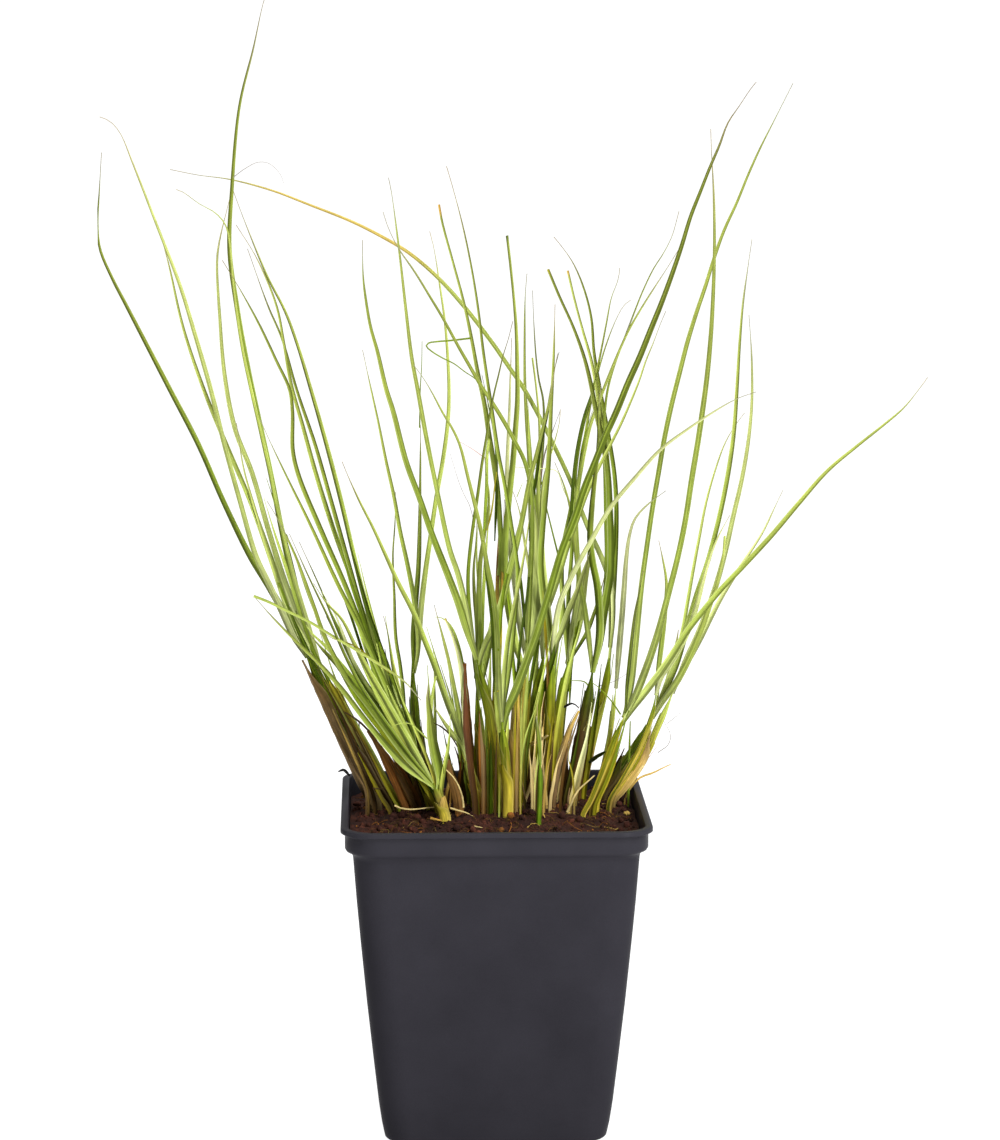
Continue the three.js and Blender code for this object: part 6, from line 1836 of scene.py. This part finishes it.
    ("dark", "mid", 1.3, 10, [(-61, 168), (-64, 176), (-67, 185), (-69.5, 195), (-71.8, 205), (-74, 214),
                              (-77, 225), (-81, 238)]),
    ("mid", "mid", 1.4, -4, [(-44, 155), (-50, 163), (-55, 169.5), (-59.5, 178), (-63, 187), (-66.8, 197),
                             (-70.5, 208), (-74, 218)]),
    ("dark", "mid", 1.1, -6, [(-40, 155), (-46, 164), (-51, 173), (-55.5, 183), (-60, 193), (-63, 200)]),
    ("dark", "dark", 1.4, 2, [(-38, 152), (-44, 166), (-47.5, 176), (-51, 187), (-55, 198), (-59.5, 208),
                              (-64, 217), (-69, 228)]),
    ("mid", "light", 1.2, 7, [(-36, 152), (-42, 166), (-46.5, 178), (-50, 190), (-54, 201), (-58.5, 212),
                              (-63, 222)]),
    ("dark", "mid", 1.4, 12, [(-34, 153), (-40.5, 168), (-44.5, 179), (-48, 190), (-51.5, 201), (-54.5, 212),
                              (-57.5, 223)]),
    ("dark", "dark", 1.5, 15, [(-32, 153), (-36.5, 166), (-40.5, 177), (-44, 187), (-47, 197), (-49.8, 208),
                               (-52.5, 219)]),
    ("mid", "light", 1.1, 20, [(-32, 150), (-36, 162), (-40, 175), (-43.5, 188), (-46.3, 200),
                               (-48.6, 211)]),
    ("light", "pale", 1.1, -10, [(-38, 152), (-45, 162), (-50, 171), (-53.5, 180), (-57, 189),
                                 (-61.5, 197)]),
    ("olive", "olive", 0.5, -12, [(-37, 167), (-43, 171.5), (-48, 176), (-53, 178.5), (-58, 180),
                                  (-63, 183.5)]),
    ("mid", "light", 1.5, -8, [(-45, 157), (-50.5, 165), (-55, 170.5), (-60, 176.5), (-65, 181.5),
                               (-69, 187)]),
    ("dark", "mid", 1.3, 9, [(-54, 153), (-58.5, 163), (-62.5, 171), (-66.5, 178), (-70.5, 185)]),
    ("mid", "mid", 1.2, 18, [(-30, 148), (-33.5, 158), (-37.5, 168), (-41, 178), (-44, 188)]),
    ("olive", "light", 0.9, 4, [(-31, 150), (-34, 162), (-36.5, 173), (-38.8, 188)]),
    ("dark", "dark", 1.0, 6, [(-10.5, 145), (-13.5, 160), (-16, 170), (-18.6, 181), (-21.2, 192)]),
    ("mid", "light", 1.1, 12, [(-10.5, 168), (-12.5, 177), (-15, 183.5), (-18, 187), (-21, 187.5)]),
    ("mid", "light", 1.2, 16, [(-6.8, 165), (-5, 185), (-5, 195), (-6, 208), (-5.5, 222)]),
    ("mid", "light", 1.4, 11, [(-4.8, 166), (-4.2, 178), (-3.9, 190), (-3.3, 203), (-2.3, 216), (-1, 228)]),
    ("dark", "dark", 1.2, 0, [(0.4, 160), (0.2, 172), (-0.2, 183), (-1.5, 196), (-3, 208), (-5.3, 223)]),
    ("olive", "brown", 1.4, 22, [(1.7, 160), (1.4, 185), (1.5, 205), (2.5, 228)]),
    ("olive", "brown", 1.1, 27, [(2.6, 170), (2.8, 190), (3.4, 210), (4, 230)]),
    ("mid", "dark", 1.2, 19, [(1.8, 175), (3.5, 195), (5.5, 205), (7.5, 213.5), (10, 224), (12, 234)]),
    ("dark", "dark", 1.2, 31, [(12, 178), (11, 190), (9.8, 201), (8.2, 210), (6, 220), (4, 232)]),
    ("mid", "mid", 1.1, 5, [(7.8, 160), (6.8, 178), (6.2, 188), (5, 197), (4, 206)]),
    ("dark", "dark", 1.3, 28, [(8, 160), (9.8, 180), (12, 195), (13, 210), (13.3, 225), (12, 240)]),
    ("light", "light", 1.8, 34, [(14.6, 160), (16, 180), (16.2, 195), (16, 210), (17, 226)]),
    ("brown", "olive", 1.1, 6, [(20, 155), (19.5, 172), (18.6, 185), (17.8, 197)]),
    ("mid", "light", 1.2, 18, [(21, 155), (22.5, 172), (24, 184), (24.5, 195), (24, 206)]),
    ("dark", "dark", 1.4, 12, [(12, 155), (14.8, 172), (16.5, 182), (19, 192), (22, 203), (25, 214),
                               (28, 226)]),
    ("mid", "mid", 1.2, 32, [(27.6, 155), (28.3, 172), (30, 183), (32.3, 194), (33.5, 205), (34.5, 216)]),
    ("dark", "dark", 1.8, 36, [(27, 160), (29, 178), (31, 190), (33, 200), (34.7, 211)]),
    ("mid", "light", 1.2, 38, [(-3.6, 215), (-2.5, 232), (-2.3, 245), (-1.5, 255), (-2, 265)]),
    ("dark", "dark", 1.2, 42, [(0.5, 215), (1.2, 240), (0.5, 252), (-1.5, 263), (-4, 275)]),
    ("mid", "light", 1.2, 46, [(15.8, 212), (15.5, 225), (13.8, 240), (12.8, 255), (12.3, 268)]),
    ("dark", "dark", 1.3, 2, [(13, 215), (13.5, 226), (15.5, 238), (17, 250), (19.5, 262),
                              (21.5, 275), (23.5, 283)]),
    ("taupe", "grey", 0.7, 14, [(16, 230), (17, 238), (18.5, 247), (21, 254), (24, 262)]),
    ("dark", "dark", 1.2, 20, [(27.5, 215), (28.7, 237), (30, 248), (32.5, 260), (35, 268), (38, 279)]),
    ("mid", "mid", 1.1, 24, [(28.5, 215), (30.8, 240), (32.5, 252), (35.5, 262)]),
    ("light", "pale", 1.1, 30, [(41, 160), (42.2, 175), (43, 185), (42.8, 197), (42.3, 208), (41.5, 220)]),
    ("dark", "dark", 1.5, 24, [(37.5, 170), (39.6, 186), (41, 195), (42.5, 205), (43.6, 216), (44, 230)]),
    ("light", "pale", 0.9, 28, [(58.8, 152), (59.8, 162), (60.3, 172), (60.4, 185)]),
    ("light", "light", 1.6, 10, [(-20.5, 120), (-21.5, 132), (-22.3, 145), (-23, 158), (-23.8, 170)]),
    ("mid", "light", 1.2, 14, [(-19.5, 121), (-20.5, 134), (-21, 148), (-21.2, 162), (-21.6, 175)]),
    ("mid", "light", 1.3, 8, [(-9, 122), (-11.5, 135), (-14, 148), (-17, 160), (-20.5, 172), (-24, 184)]),
    ("olive", "mid", 1.3, 3, [(-8, 120), (-10, 132), (-12.5, 144), (-14.5, 156), (-16, 168)]),
    ("straw", "olive", 1.0, 11, [(-3, 119), (-4.5, 132), (-5.5, 146), (-6.2, 158)]),
    ("cream", "straw", 0.9, 2, [(-1, 118), (-0.4, 127), (-0.8, 137)]),
    ("umber", "umber", 1.2, 3, [(7.6, 118), (7.9, 130), (8.3, 143), (8.6, 155)]),
    ("straw", "cream", 0.9, 5, [(15.2, 119), (16.4, 130), (16.8, 142), (17.4, 153), (18.6, 160)]),
    ("straw", "cream", 0.8, 4, [(19.4, 119), (18.4, 128), (17.6, 138), (17.5, 148)]),
    ("cream", "taupe", 0.8, 12, [(20.5, 120), (22.2, 130), (24.8, 140), (28, 149), (31.4, 155)]),
    ("cream", "taupe", 0.7, 14, [(22.5, 121), (24.6, 131), (27, 141), (30.5, 151)]),
    ("straw", "pale", 1.1, 13, [(30, 120), (31.5, 128), (33, 137), (34.2, 146), (35.6, 156)]),
    ("umber", "dark", 1.1, 13, [(26, 119), (28, 129), (30, 139), (31.6, 149)]),
    ("umber", "olive", 1.2, 0, [(35.5, 117), (39, 125), (42.4, 134), (45.2, 143), (47.3, 151)]),
    ("straw", "light", 0.7, -5, [(10, 120), (10.1, 127), (10, 137), (10, 150), (10.3, 160)]),
    ("olive", "light", 0.9, -5, [(10, 121), (10.2, 131), (10.8, 138), (12, 144.5), (14, 150.5),
                                 (16.5, 157)]),
    ("umber", "dark", 1.1, -3, [(11.5, 121), (12, 134), (12.8, 142), (14.2, 150), (16.4, 160)]),
    ("cream", "light", 0.9, -5, [(14.8, 120), (15.3, 129), (15.9, 134), (16.5, 139.5), (17.1, 145),
                                 (17.2, 151)]),
    ("taupe", "cream", 0.8, -4, [(14, 120), (14.3, 131), (14.9, 138), (15.3, 144), (15.8, 150), (16, 156)]),
    ("umber", "umber", 1.0, -2, [(15.6, 120), (16.2, 133), (17.1, 144), (18.3, 154)]),
    ("straw", "cream", 0.7, -5, [(16.4, 120), (16.9, 130), (17.8, 134.5), (18.6, 138), (19, 142)]),
    ("cream", "cream", 1.2, -6, [(14.3, 120), (14.1, 126), (13.8, 131), (13.2, 136), (13, 139)]),
    ("straw", "straw", 1.0, -5, [(18.4, 119), (18.9, 125), (19.4, 129), (20, 133), (21, 137)]),
    ("taupe", "cream", 1.5, -3, [(20.6, 120), (21.6, 126), (22.2, 129.5), (23, 133), (24.3, 136.5),
                                 (25.6, 140)]),
    ("umber", "umber", 1.0, -2, [(20.4, 119), (20.6, 128), (21.3, 137), (22, 146)]),
    ("umber", "brown", 1.2, -1, [(24.4, 119), (25, 127), (26, 135), (27.3, 142)]),
    ("taupe", "olive", 0.7, -2, [(29.4, 120), (28.6, 130), (27.3, 135), (27.5, 141)]),
    ("straw", "pale", 1.6, 2, [(28, 119), (29.3, 124), (30.3, 129), (31.6, 134), (33, 139.5), (34.4, 146),
                              (35.5, 152)]),
    ("olive", "light", 1.5, -12, [(-18.8, 118), (-18.8, 124), (-17.7, 132), (-16.4, 139), (-15.7, 146),
                                 (-15.6, 152)]),
    ("umber", "rust", 1.6, -5, [(-6.6, 117), (-7, 125), (-7.6, 133), (-8.4, 140)]),
    ("brown", "taupe", 1.6, -7, [(-3.4, 116), (-3.4, 124), (-3.7, 134), (-4.4, 144), (-5, 152)]),
    ("dark", "olive", 0.9, -8, [(-5.4, 116), (-6.2, 124), (-7.4, 132), (-8.4, 139)]),
    ("umber", "dark", 0.8, -8, [(-2, 116), (-2, 128), (-2.4, 140), (-3, 150)]),
    ("umber", "umber", 0.8, -10, [(0.7, 116), (0.9, 126), (1, 136), (1.4, 147)]),
    ("light", "olive", 0.8, -10, [(2.2, 115.5), (2.3, 124), (2.2, 133), (2, 142)]),
    ("umber", "umber", 0.8, -10, [(3.6, 115), (3.7, 124), (3.7, 132), (3.4, 140)]),
    ("taupe", "straw", 1.4, -4, [(8.6, 119), (8.6, 129), (8.9, 139), (9, 150), (9.4, 162)]),
    ("brown", "olive", 1.0, -5, [(7.2, 118), (7.4, 129), (7.6, 139), (7.9, 150), (8, 160)]),
]


def rooted(strands, route, depth):
    """Places of a seen route that starts in the soil, or higher up on the strand nearest to it."""
    if route[0][1] < FOOT_LEVEL:
        return with_root([placed(x, z, depth) for x, z in route])
    start = depth_near(strands, *route[0])
    reach = len(route) - 1
    depths = [lerp(start, depth, ease(index / reach)) for index in range(reach + 1)]
    return [placed(x, z, d) for (x, z), d in zip(route, depths)]


# Spacing along a stalk, and where each third of them starts and ends from left to right.
STALK_STEP = 2.2
THIRDS = (("left", -200, -17), ("centre", -17, 24), ("right", 24, 200))


def add_stalk(shape, low, high, width, depth, route, strands, rng):
    """Keeled strip that keeps its width and ends in a point. It stands in the soil or on a blade."""
    places = smooth_route(rooted(strands, route, depth), STALK_STEP)
    wide, back = frames(places)
    last = len(places) - 1
    turn, fold = rng.uniform(-0.6, 0.6), rng.uniform(0.5, 0.9)
    shaded_half = rng.choice([-1, 1])
    rings, tints = [], []
    for index, place in enumerate(places):
        t = index / last
        half = width / 2 * (1 - 0.85 * ease((t - 0.6) / 0.4)) * (0.45 + 0.55 * ease(t / 0.15))
        angle = turn + 0.5 * t
        across = spoke(wide[index], back[index], angle)
        behind = spoke(back[index], -wide[index], angle)
        shade = lerp(linear(low), linear(high), ease(t * 1.2))
        ring, row = [], []
        for u, under in zip(RING_ACROSS, UNDERSIDE):
            offset = section_offset(u, under, fold * half, LEAF_THICK)
            ring.append(place + across * (u * half) + behind * offset)
            # One half of the strip is painted in shade and the other painted lit.
            row.append(shade * (0.7 if u * shaded_half > 0.2 else 1.15))
        rings.append(ring)
        tints.append(row)
    shape.loft(rings, tints, RING_ACROSS, [index * STALK_STEP for index in range(last + 1)])


def build_stalks(strands, leaf):
    """Leaf sheaths and short leaves in the foot of the tuft, as one piece for each third."""
    rng = random.Random(SEED + 400)
    for part, start, end in THIRDS:
        shape = Shape()
        for low, high, width, depth, route in STALKS:
            if start <= route[0][0] < end:
                add_stalk(shape, low, high, width, depth, route, strands, rng)
        build("leaf_sheaths_" + part, shape, leaf)


def depth_near(strands, x, z):
    """Depth of the strand that passes nearest to a seen point."""
    best = None
    for strand in strands:
        for index in range(len(strand.points) - 1):
            a, b = strand.points[index], strand.points[index + 1]
            along = b - a
            share = clamp(float((np.array([x, z]) - a) @ along / (along @ along)), 0.0, 1.0)
            far = float(np.linalg.norm(a + along * share - (x, z)))
            if best is None or far < best[0]:
                best = (far, lerp(strand.depths[index], strand.depths[index + 1], share))
    return best[1]


# A root's depth is found by halving, and it lies this far above the soil.
HALVINGS = 30
ROOT_LIFT = 0.8


def soil_depth(x, z):
    """Depth at which the line of sight through a seen point comes down to just above the soil."""
    low, high = -CRUMB_REACH, CRUMB_REACH
    for _ in range(HALVINGS):
        middle = (low + high) / 2
        place = placed(x, z, middle)
        if place[2] > crumbly(place[0], place[1]) + ROOT_LIFT:
            low = middle
        else:
            high = middle
    return low


# Hairs, scraps and roots: spacing along each, how far a hair comes forward at each knot, the share of
# its thickness left at its end, how much wider a scrap is than it is seen, and the sides of a root.
HAIR_STEP = 1.2
HAIR_LEAN = 0.4
HAIR_END = 0.4
SCRAP_SWELL = 1.2
ROOT_STEP = 0.8
ROOT_SIDES = 6


def hair_shape(strands):
    """Fine hairs that start on the strand nearest to them and hang forward."""
    shape = Shape()
    for shade, thick, route in HAIRS:
        start = depth_near(strands, *route[0])
        knots = [placed(x, z, start - HAIR_LEAN * index) for index, (x, z) in enumerate(route)]
        thread(shape, smooth_route(knots, HAIR_STEP), thick / 2, linear(shade), HAIR_END)
    return shape


def scrap_shape(strands):
    """Dead scraps that stand in the soil or hang on a strand."""
    shape = Shape()
    rng = random.Random(SEED + 300)
    for shade, wide, depth, route in SCRAPS:
        places = smooth_route(rooted(strands, route, depth), DRY_STEP)
        add_dry_leaf(shape, places, {"width": wide * SCRAP_SWELL}, (shade, shade, shade), rng)
    return shape


def root_shape():
    """Root threads that lie on the soil."""
    shape = Shape()
    for shade, thick, depth, route in ROOTS:
        knots = [placed(x, z, soil_depth(x, z) if depth is None else depth) for x, z in route]
        thread(shape, smooth_route(knots, ROOT_STEP), thick / 2, linear(shade), sides=ROOT_SIDES)
    return shape


def build_bits(strands, papery, leaf):
    """Hairs, dry scraps and roots, each resting on what carries it."""
    build("fine_hairs", hair_shape(strands), leaf)
    build("dry_scraps", scrap_shape(strands), papery)
    build("surface_roots", root_shape(), papery)


# Most values of a noise lie in this range.
NOISE_LOW, NOISE_HIGH = 0.3, 0.7

# Veins across a blade, and how far its streaks are stretched along it.
VEINS = 17.0
STREAK_STRETCH = 0.06

PLASTIC_COLOUR = (0.0248, 0.0237, 0.0295, 1)


class Nodes:
    """A material's nodes, with short ways to add and join them."""

    def __init__(self, name):
        self.material = bpy.data.materials.new(name)
        self.material.use_nodes = True
        self.tree = self.material.node_tree
        self.shader = next(n for n in self.tree.nodes if n.type == "BSDF_PRINCIPLED")

    def add(self, kind, **values):
        node = self.tree.nodes.new(kind)
        for key, value in values.items():
            setattr(node, key, value)
        return node

    def link(self, source, target):
        self.tree.links.new(source, target)

    def attribute(self, name):
        node = self.add("ShaderNodeAttribute", attribute_name=name)
        return node.outputs["Color" if name == "tint" else "Fac"]

    def maths(self, operation, first, second=None):
        node = self.add("ShaderNodeMath", operation=operation)
        for socket, value in zip(node.inputs, (first, second)):
            if isinstance(value, (int, float)):
                socket.default_value = value
            elif value is not None:
                self.link(value, socket)
        return node.outputs[0]

    def noise(self, scale, detail=3.0, vector=None, roughness=0.55):
        node = self.add("ShaderNodeTexNoise")
        node.inputs["Scale"].default_value = scale
        node.inputs["Detail"].default_value = detail
        node.inputs["Roughness"].default_value = roughness
        if vector is None:
            vector = self.add("ShaderNodeTexCoord").outputs["Object"]
        self.link(vector, node.inputs["Vector"])
        return node.outputs["Fac"]

    def spread(self, value, low, high, low_to, high_to):
        """Maps one range of a value to another."""
        node = self.add("ShaderNodeMapRange")
        for socket, number in zip(list(node.inputs)[1:5], (low, high, low_to, high_to)):
            socket.default_value = number
        self.link(value, node.inputs["Value"])
        return node.outputs["Result"]

    def toned(self, noise_value, low, high):
        """Maps the usual range of a noise to another range."""
        return self.spread(noise_value, NOISE_LOW, NOISE_HIGH, low, high)

    def scaled(self, colour, factor):
        """Colour times a factor from nodes."""
        node = self.add("ShaderNodeVectorMath", operation="SCALE")
        self.link(colour, node.inputs[0])
        self.link(factor, node.inputs["Scale"])
        return node.outputs[0]

    def coat(self, colour, factor, roughness):
        """Gives the surface a colour times a factor, and a roughness from nodes."""
        self.link(self.scaled(colour, factor), self.shader.inputs["Base Color"])
        self.link(roughness, self.shader.inputs["Roughness"])

    def shine(self, level):
        self.shader.inputs["Specular IOR Level"].default_value = level

    def bump(self, height, strength, distance):
        node = self.add("ShaderNodeBump")
        node.inputs["Strength"].default_value = strength
        node.inputs["Distance"].default_value = distance
        self.link(height, node.inputs["Height"])
        self.link(node.outputs["Normal"], self.shader.inputs["Normal"])

    def streaks(self, fine):
        """Long streaks that run with the grain: noise stretched along the leaf."""
        parts = self.add("ShaderNodeCombineXYZ")
        self.link(self.maths("MULTIPLY", self.attribute("across"), fine), parts.inputs["X"])
        self.link(self.maths("MULTIPLY", self.attribute("along"), STREAK_STRETCH), parts.inputs["Y"])
        return self.noise(1.0, 3.0, parts.outputs[0])


def leaf_material():
    """Living blade: fine veins along it, lighter and darker streaks, a satin surface."""
    m = Nodes("grass_leaf")
    veins = m.maths("SINE", m.maths("MULTIPLY", m.attribute("across"), VEINS))
    streaks = m.streaks(3.5)
    patches = m.noise(130.0, 2.0)
    factor = m.maths("ADD", m.toned(streaks, 0.60, 1.26), m.spread(veins, -1, 1, -0.08, 0.08))
    factor = m.maths("MULTIPLY", factor, m.toned(patches, 0.88, 1.12))
    m.coat(m.attribute("tint"), factor, m.toned(streaks, 0.58, 0.44))
    m.shine(0.1)
    m.bump(veins, 0.25, 0.00006)
    return m.material


def paper_material():
    """Dead sheath: dull, fibrous, with pale and dark streaks."""
    m = Nodes("grass_paper")
    streaks = m.streaks(7.0)
    blotches = m.noise(240.0, 4.0)
    factor = m.maths("MULTIPLY", m.toned(streaks, 0.55, 1.35), m.toned(blotches, 0.75, 1.2))
    m.coat(m.attribute("tint"), factor, m.toned(blotches, 0.75, 0.92))
    m.shine(0.25)
    m.bump(streaks, 0.5, 0.00015)
    return m.material


def peat_material():
    """Dark crumbly peat with redder grains."""
    m = Nodes("peat_soil")
    grains = m.noise(900.0, 4.0, roughness=0.7)
    clods = m.noise(160.0, 3.0)
    factor = m.maths("MULTIPLY", m.toned(grains, 0.45, 1.7), m.toned(clods, 0.7, 1.3))
    m.coat(m.attribute("tint"), factor, m.toned(grains, 0.82, 0.98))
    m.shine(0.2)
    m.bump(grains, 0.8, 0.0005)
    return m.material


def plastic_material():
    """Charcoal moulded plastic, with a faint grain. It is shinier higher up the pot, and its colour is
    painted lighter towards the top as light from above.
    """
    m = Nodes("charcoal_plastic")
    grain = m.noise(2600.0, 2.0)
    marks = m.noise(38.0, 4.0)
    colour = m.add("ShaderNodeRGB").outputs[0]
    colour.default_value = PLASTIC_COLOUR
    factor = m.maths("MULTIPLY", m.toned(marks, 0.90, 1.12), m.toned(grain, 0.95, 1.05))
    height = m.attribute("along")
    # Painted light: the colour goes from darker at the foot to lighter at the top, as light falling from
    # above.
    factor = m.maths("MULTIPLY", factor, m.spread(height, 0.0, 110.0, 0.82, 1.11))
    m.coat(colour, factor, m.toned(marks, 0.40, 0.36))
    m.link(m.spread(height, 108.0, 119.0, 0.01, 0.05), m.shader.inputs["Specular IOR Level"])
    m.bump(grain, 0.10, 0.00005)
    return m.material


# Camera, fitted to the pot's rim, collar and foot. Lengths in metres.
CAMERA_AT = Vector((-0.0410, -1.3871, 0.4176))
CAMERA_TO = Vector((0.03094, 0.98793, -0.15176))
CAMERA_RIGHT = Vector((0.99951, -0.03130, 0.0))
CAMERA_UP = Vector((0.00475, 0.15169, 0.98842))
LENS = 123.44
SENSOR = 36.0

# Stage, in metres. The white surround is brighter on the right.
FLOOR_SIZE = 140.0
FLOOR_DROP = 0.0004
FLOOR_GREY = (0.25, 0.25, 0.25, 1)
FLOOR_GLOW = 0.98
WHITE = (1, 1, 1, 1)
SURROUND_LEFT, SURROUND_RIGHT = 0.02, 0.90

# Lamps: name, place, size and power.
LAMPS = (
    ("key", (0.7, -1.1, 1.4), (0.7, 0.7), 16.5),
    ("strip", (0.38, -0.75, 0.42), (0.04, 0.8), 5.0),
    ("top", (-0.1, 0.2, 1.8), (1.0, 1.0), 14.0),
)
LAMP_TARGET = (0, 0, 0.18)


def aim(item, place, target):
    """Puts a lamp somewhere and turns it towards a target."""
    item.location = place
    item.rotation_mode = "QUATERNION"
    item.rotation_quaternion = (Vector(target) - Vector(place)).to_track_quat("-Z", "Y")


def add_camera():
    data = bpy.data.cameras.new("camera")
    data.lens = LENS
    data.sensor_width = SENSOR
    data.sensor_fit = "AUTO"
    data.clip_start, data.clip_end = 0.05, 200.0
    camera = bpy.data.objects.new("camera", data)
    bpy.context.scene.collection.objects.link(camera)
    camera.location = CAMERA_AT
    camera.rotation_mode = "QUATERNION"
    turn = Matrix((CAMERA_RIGHT, CAMERA_UP, -CAMERA_TO)).transposed()
    camera.rotation_quaternion = turn.to_quaternion()
    bpy.context.scene.camera = camera


def add_light(name, place, size, power):
    data = bpy.data.lights.new(name, "AREA")
    data.shape = "RECTANGLE"
    data.size, data.size_y = size
    data.energy = power
    lamp = bpy.data.objects.new(name, data)
    bpy.context.scene.collection.objects.link(lamp)
    aim(lamp, place, LAMP_TARGET)


def floor_material():
    """Dull floor that glows nearly white, as plain as the photo's background."""
    m = Nodes("pale_floor")
    m.shader.inputs["Base Color"].default_value = FLOOR_GREY
    m.shader.inputs["Roughness"].default_value = 0.9
    m.shine(0.0)
    m.shader.inputs["Emission Color"].default_value = WHITE
    m.shader.inputs["Emission Strength"].default_value = FLOOR_GLOW
    return m.material


def add_floor():
    mesh = bpy.data.meshes.new("floor")
    half = FLOOR_SIZE / 2
    ends = [(-half, -half, 0), (half, -half, 0), (half, half, 0), (-half, half, 0)]
    mesh.from_pydata(ends, [], [(0, 1, 2, 3)])
    floor = bpy.data.objects.new("floor", mesh)
    bpy.context.scene.collection.objects.link(floor)
    floor.location.z = -FLOOR_DROP
    mesh.materials.append(floor_material())


def add_surround():
    """White world whose strength rises from left to right."""
    world = bpy.data.worlds.new("surround")
    world.use_nodes = True
    tree = world.node_tree
    background = tree.nodes["Background"]
    background.inputs["Color"].default_value = WHITE
    sides = tree.nodes.new("ShaderNodeSeparateXYZ")
    tree.links.new(tree.nodes.new("ShaderNodeTexCoord").outputs["Generated"], sides.inputs[0])
    strength = tree.nodes.new("ShaderNodeMapRange")
    numbers = (-1.0, 1.0, SURROUND_LEFT, SURROUND_RIGHT)
    for socket, number in zip(list(strength.inputs)[1:5], numbers):
        socket.default_value = number
    tree.links.new(sides.outputs["X"], strength.inputs["Value"])
    tree.links.new(strength.outputs["Result"], background.inputs["Strength"])
    bpy.context.scene.world = world


def add_stage():
    """Plain pale floor, white surround and soft lamps."""
    add_floor()
    add_surround()
    for lamp in LAMPS:
        add_light(*lamp)
    bpy.context.scene.view_settings.view_transform = "Standard"
    bpy.context.scene.view_settings.look = "None"


def corners(box):
    """A box's two corners as plain numbers."""
    return [[float(value) for value in corner] for corner in box]


def main():
    strands = all_strands()
    bend_clear(strands)
    leaf, papery = leaf_material(), paper_material()
    build_tillers(strands, leaf)
    build_dry(strands, papery)
    build_pot(plastic_material())
    build_soil(peat_material())
    build_bits(strands, papery, leaf)
    build_stalks(strands, leaf)
    add_stage()
    add_camera()
    bpy.context.view_layer.update()


main()
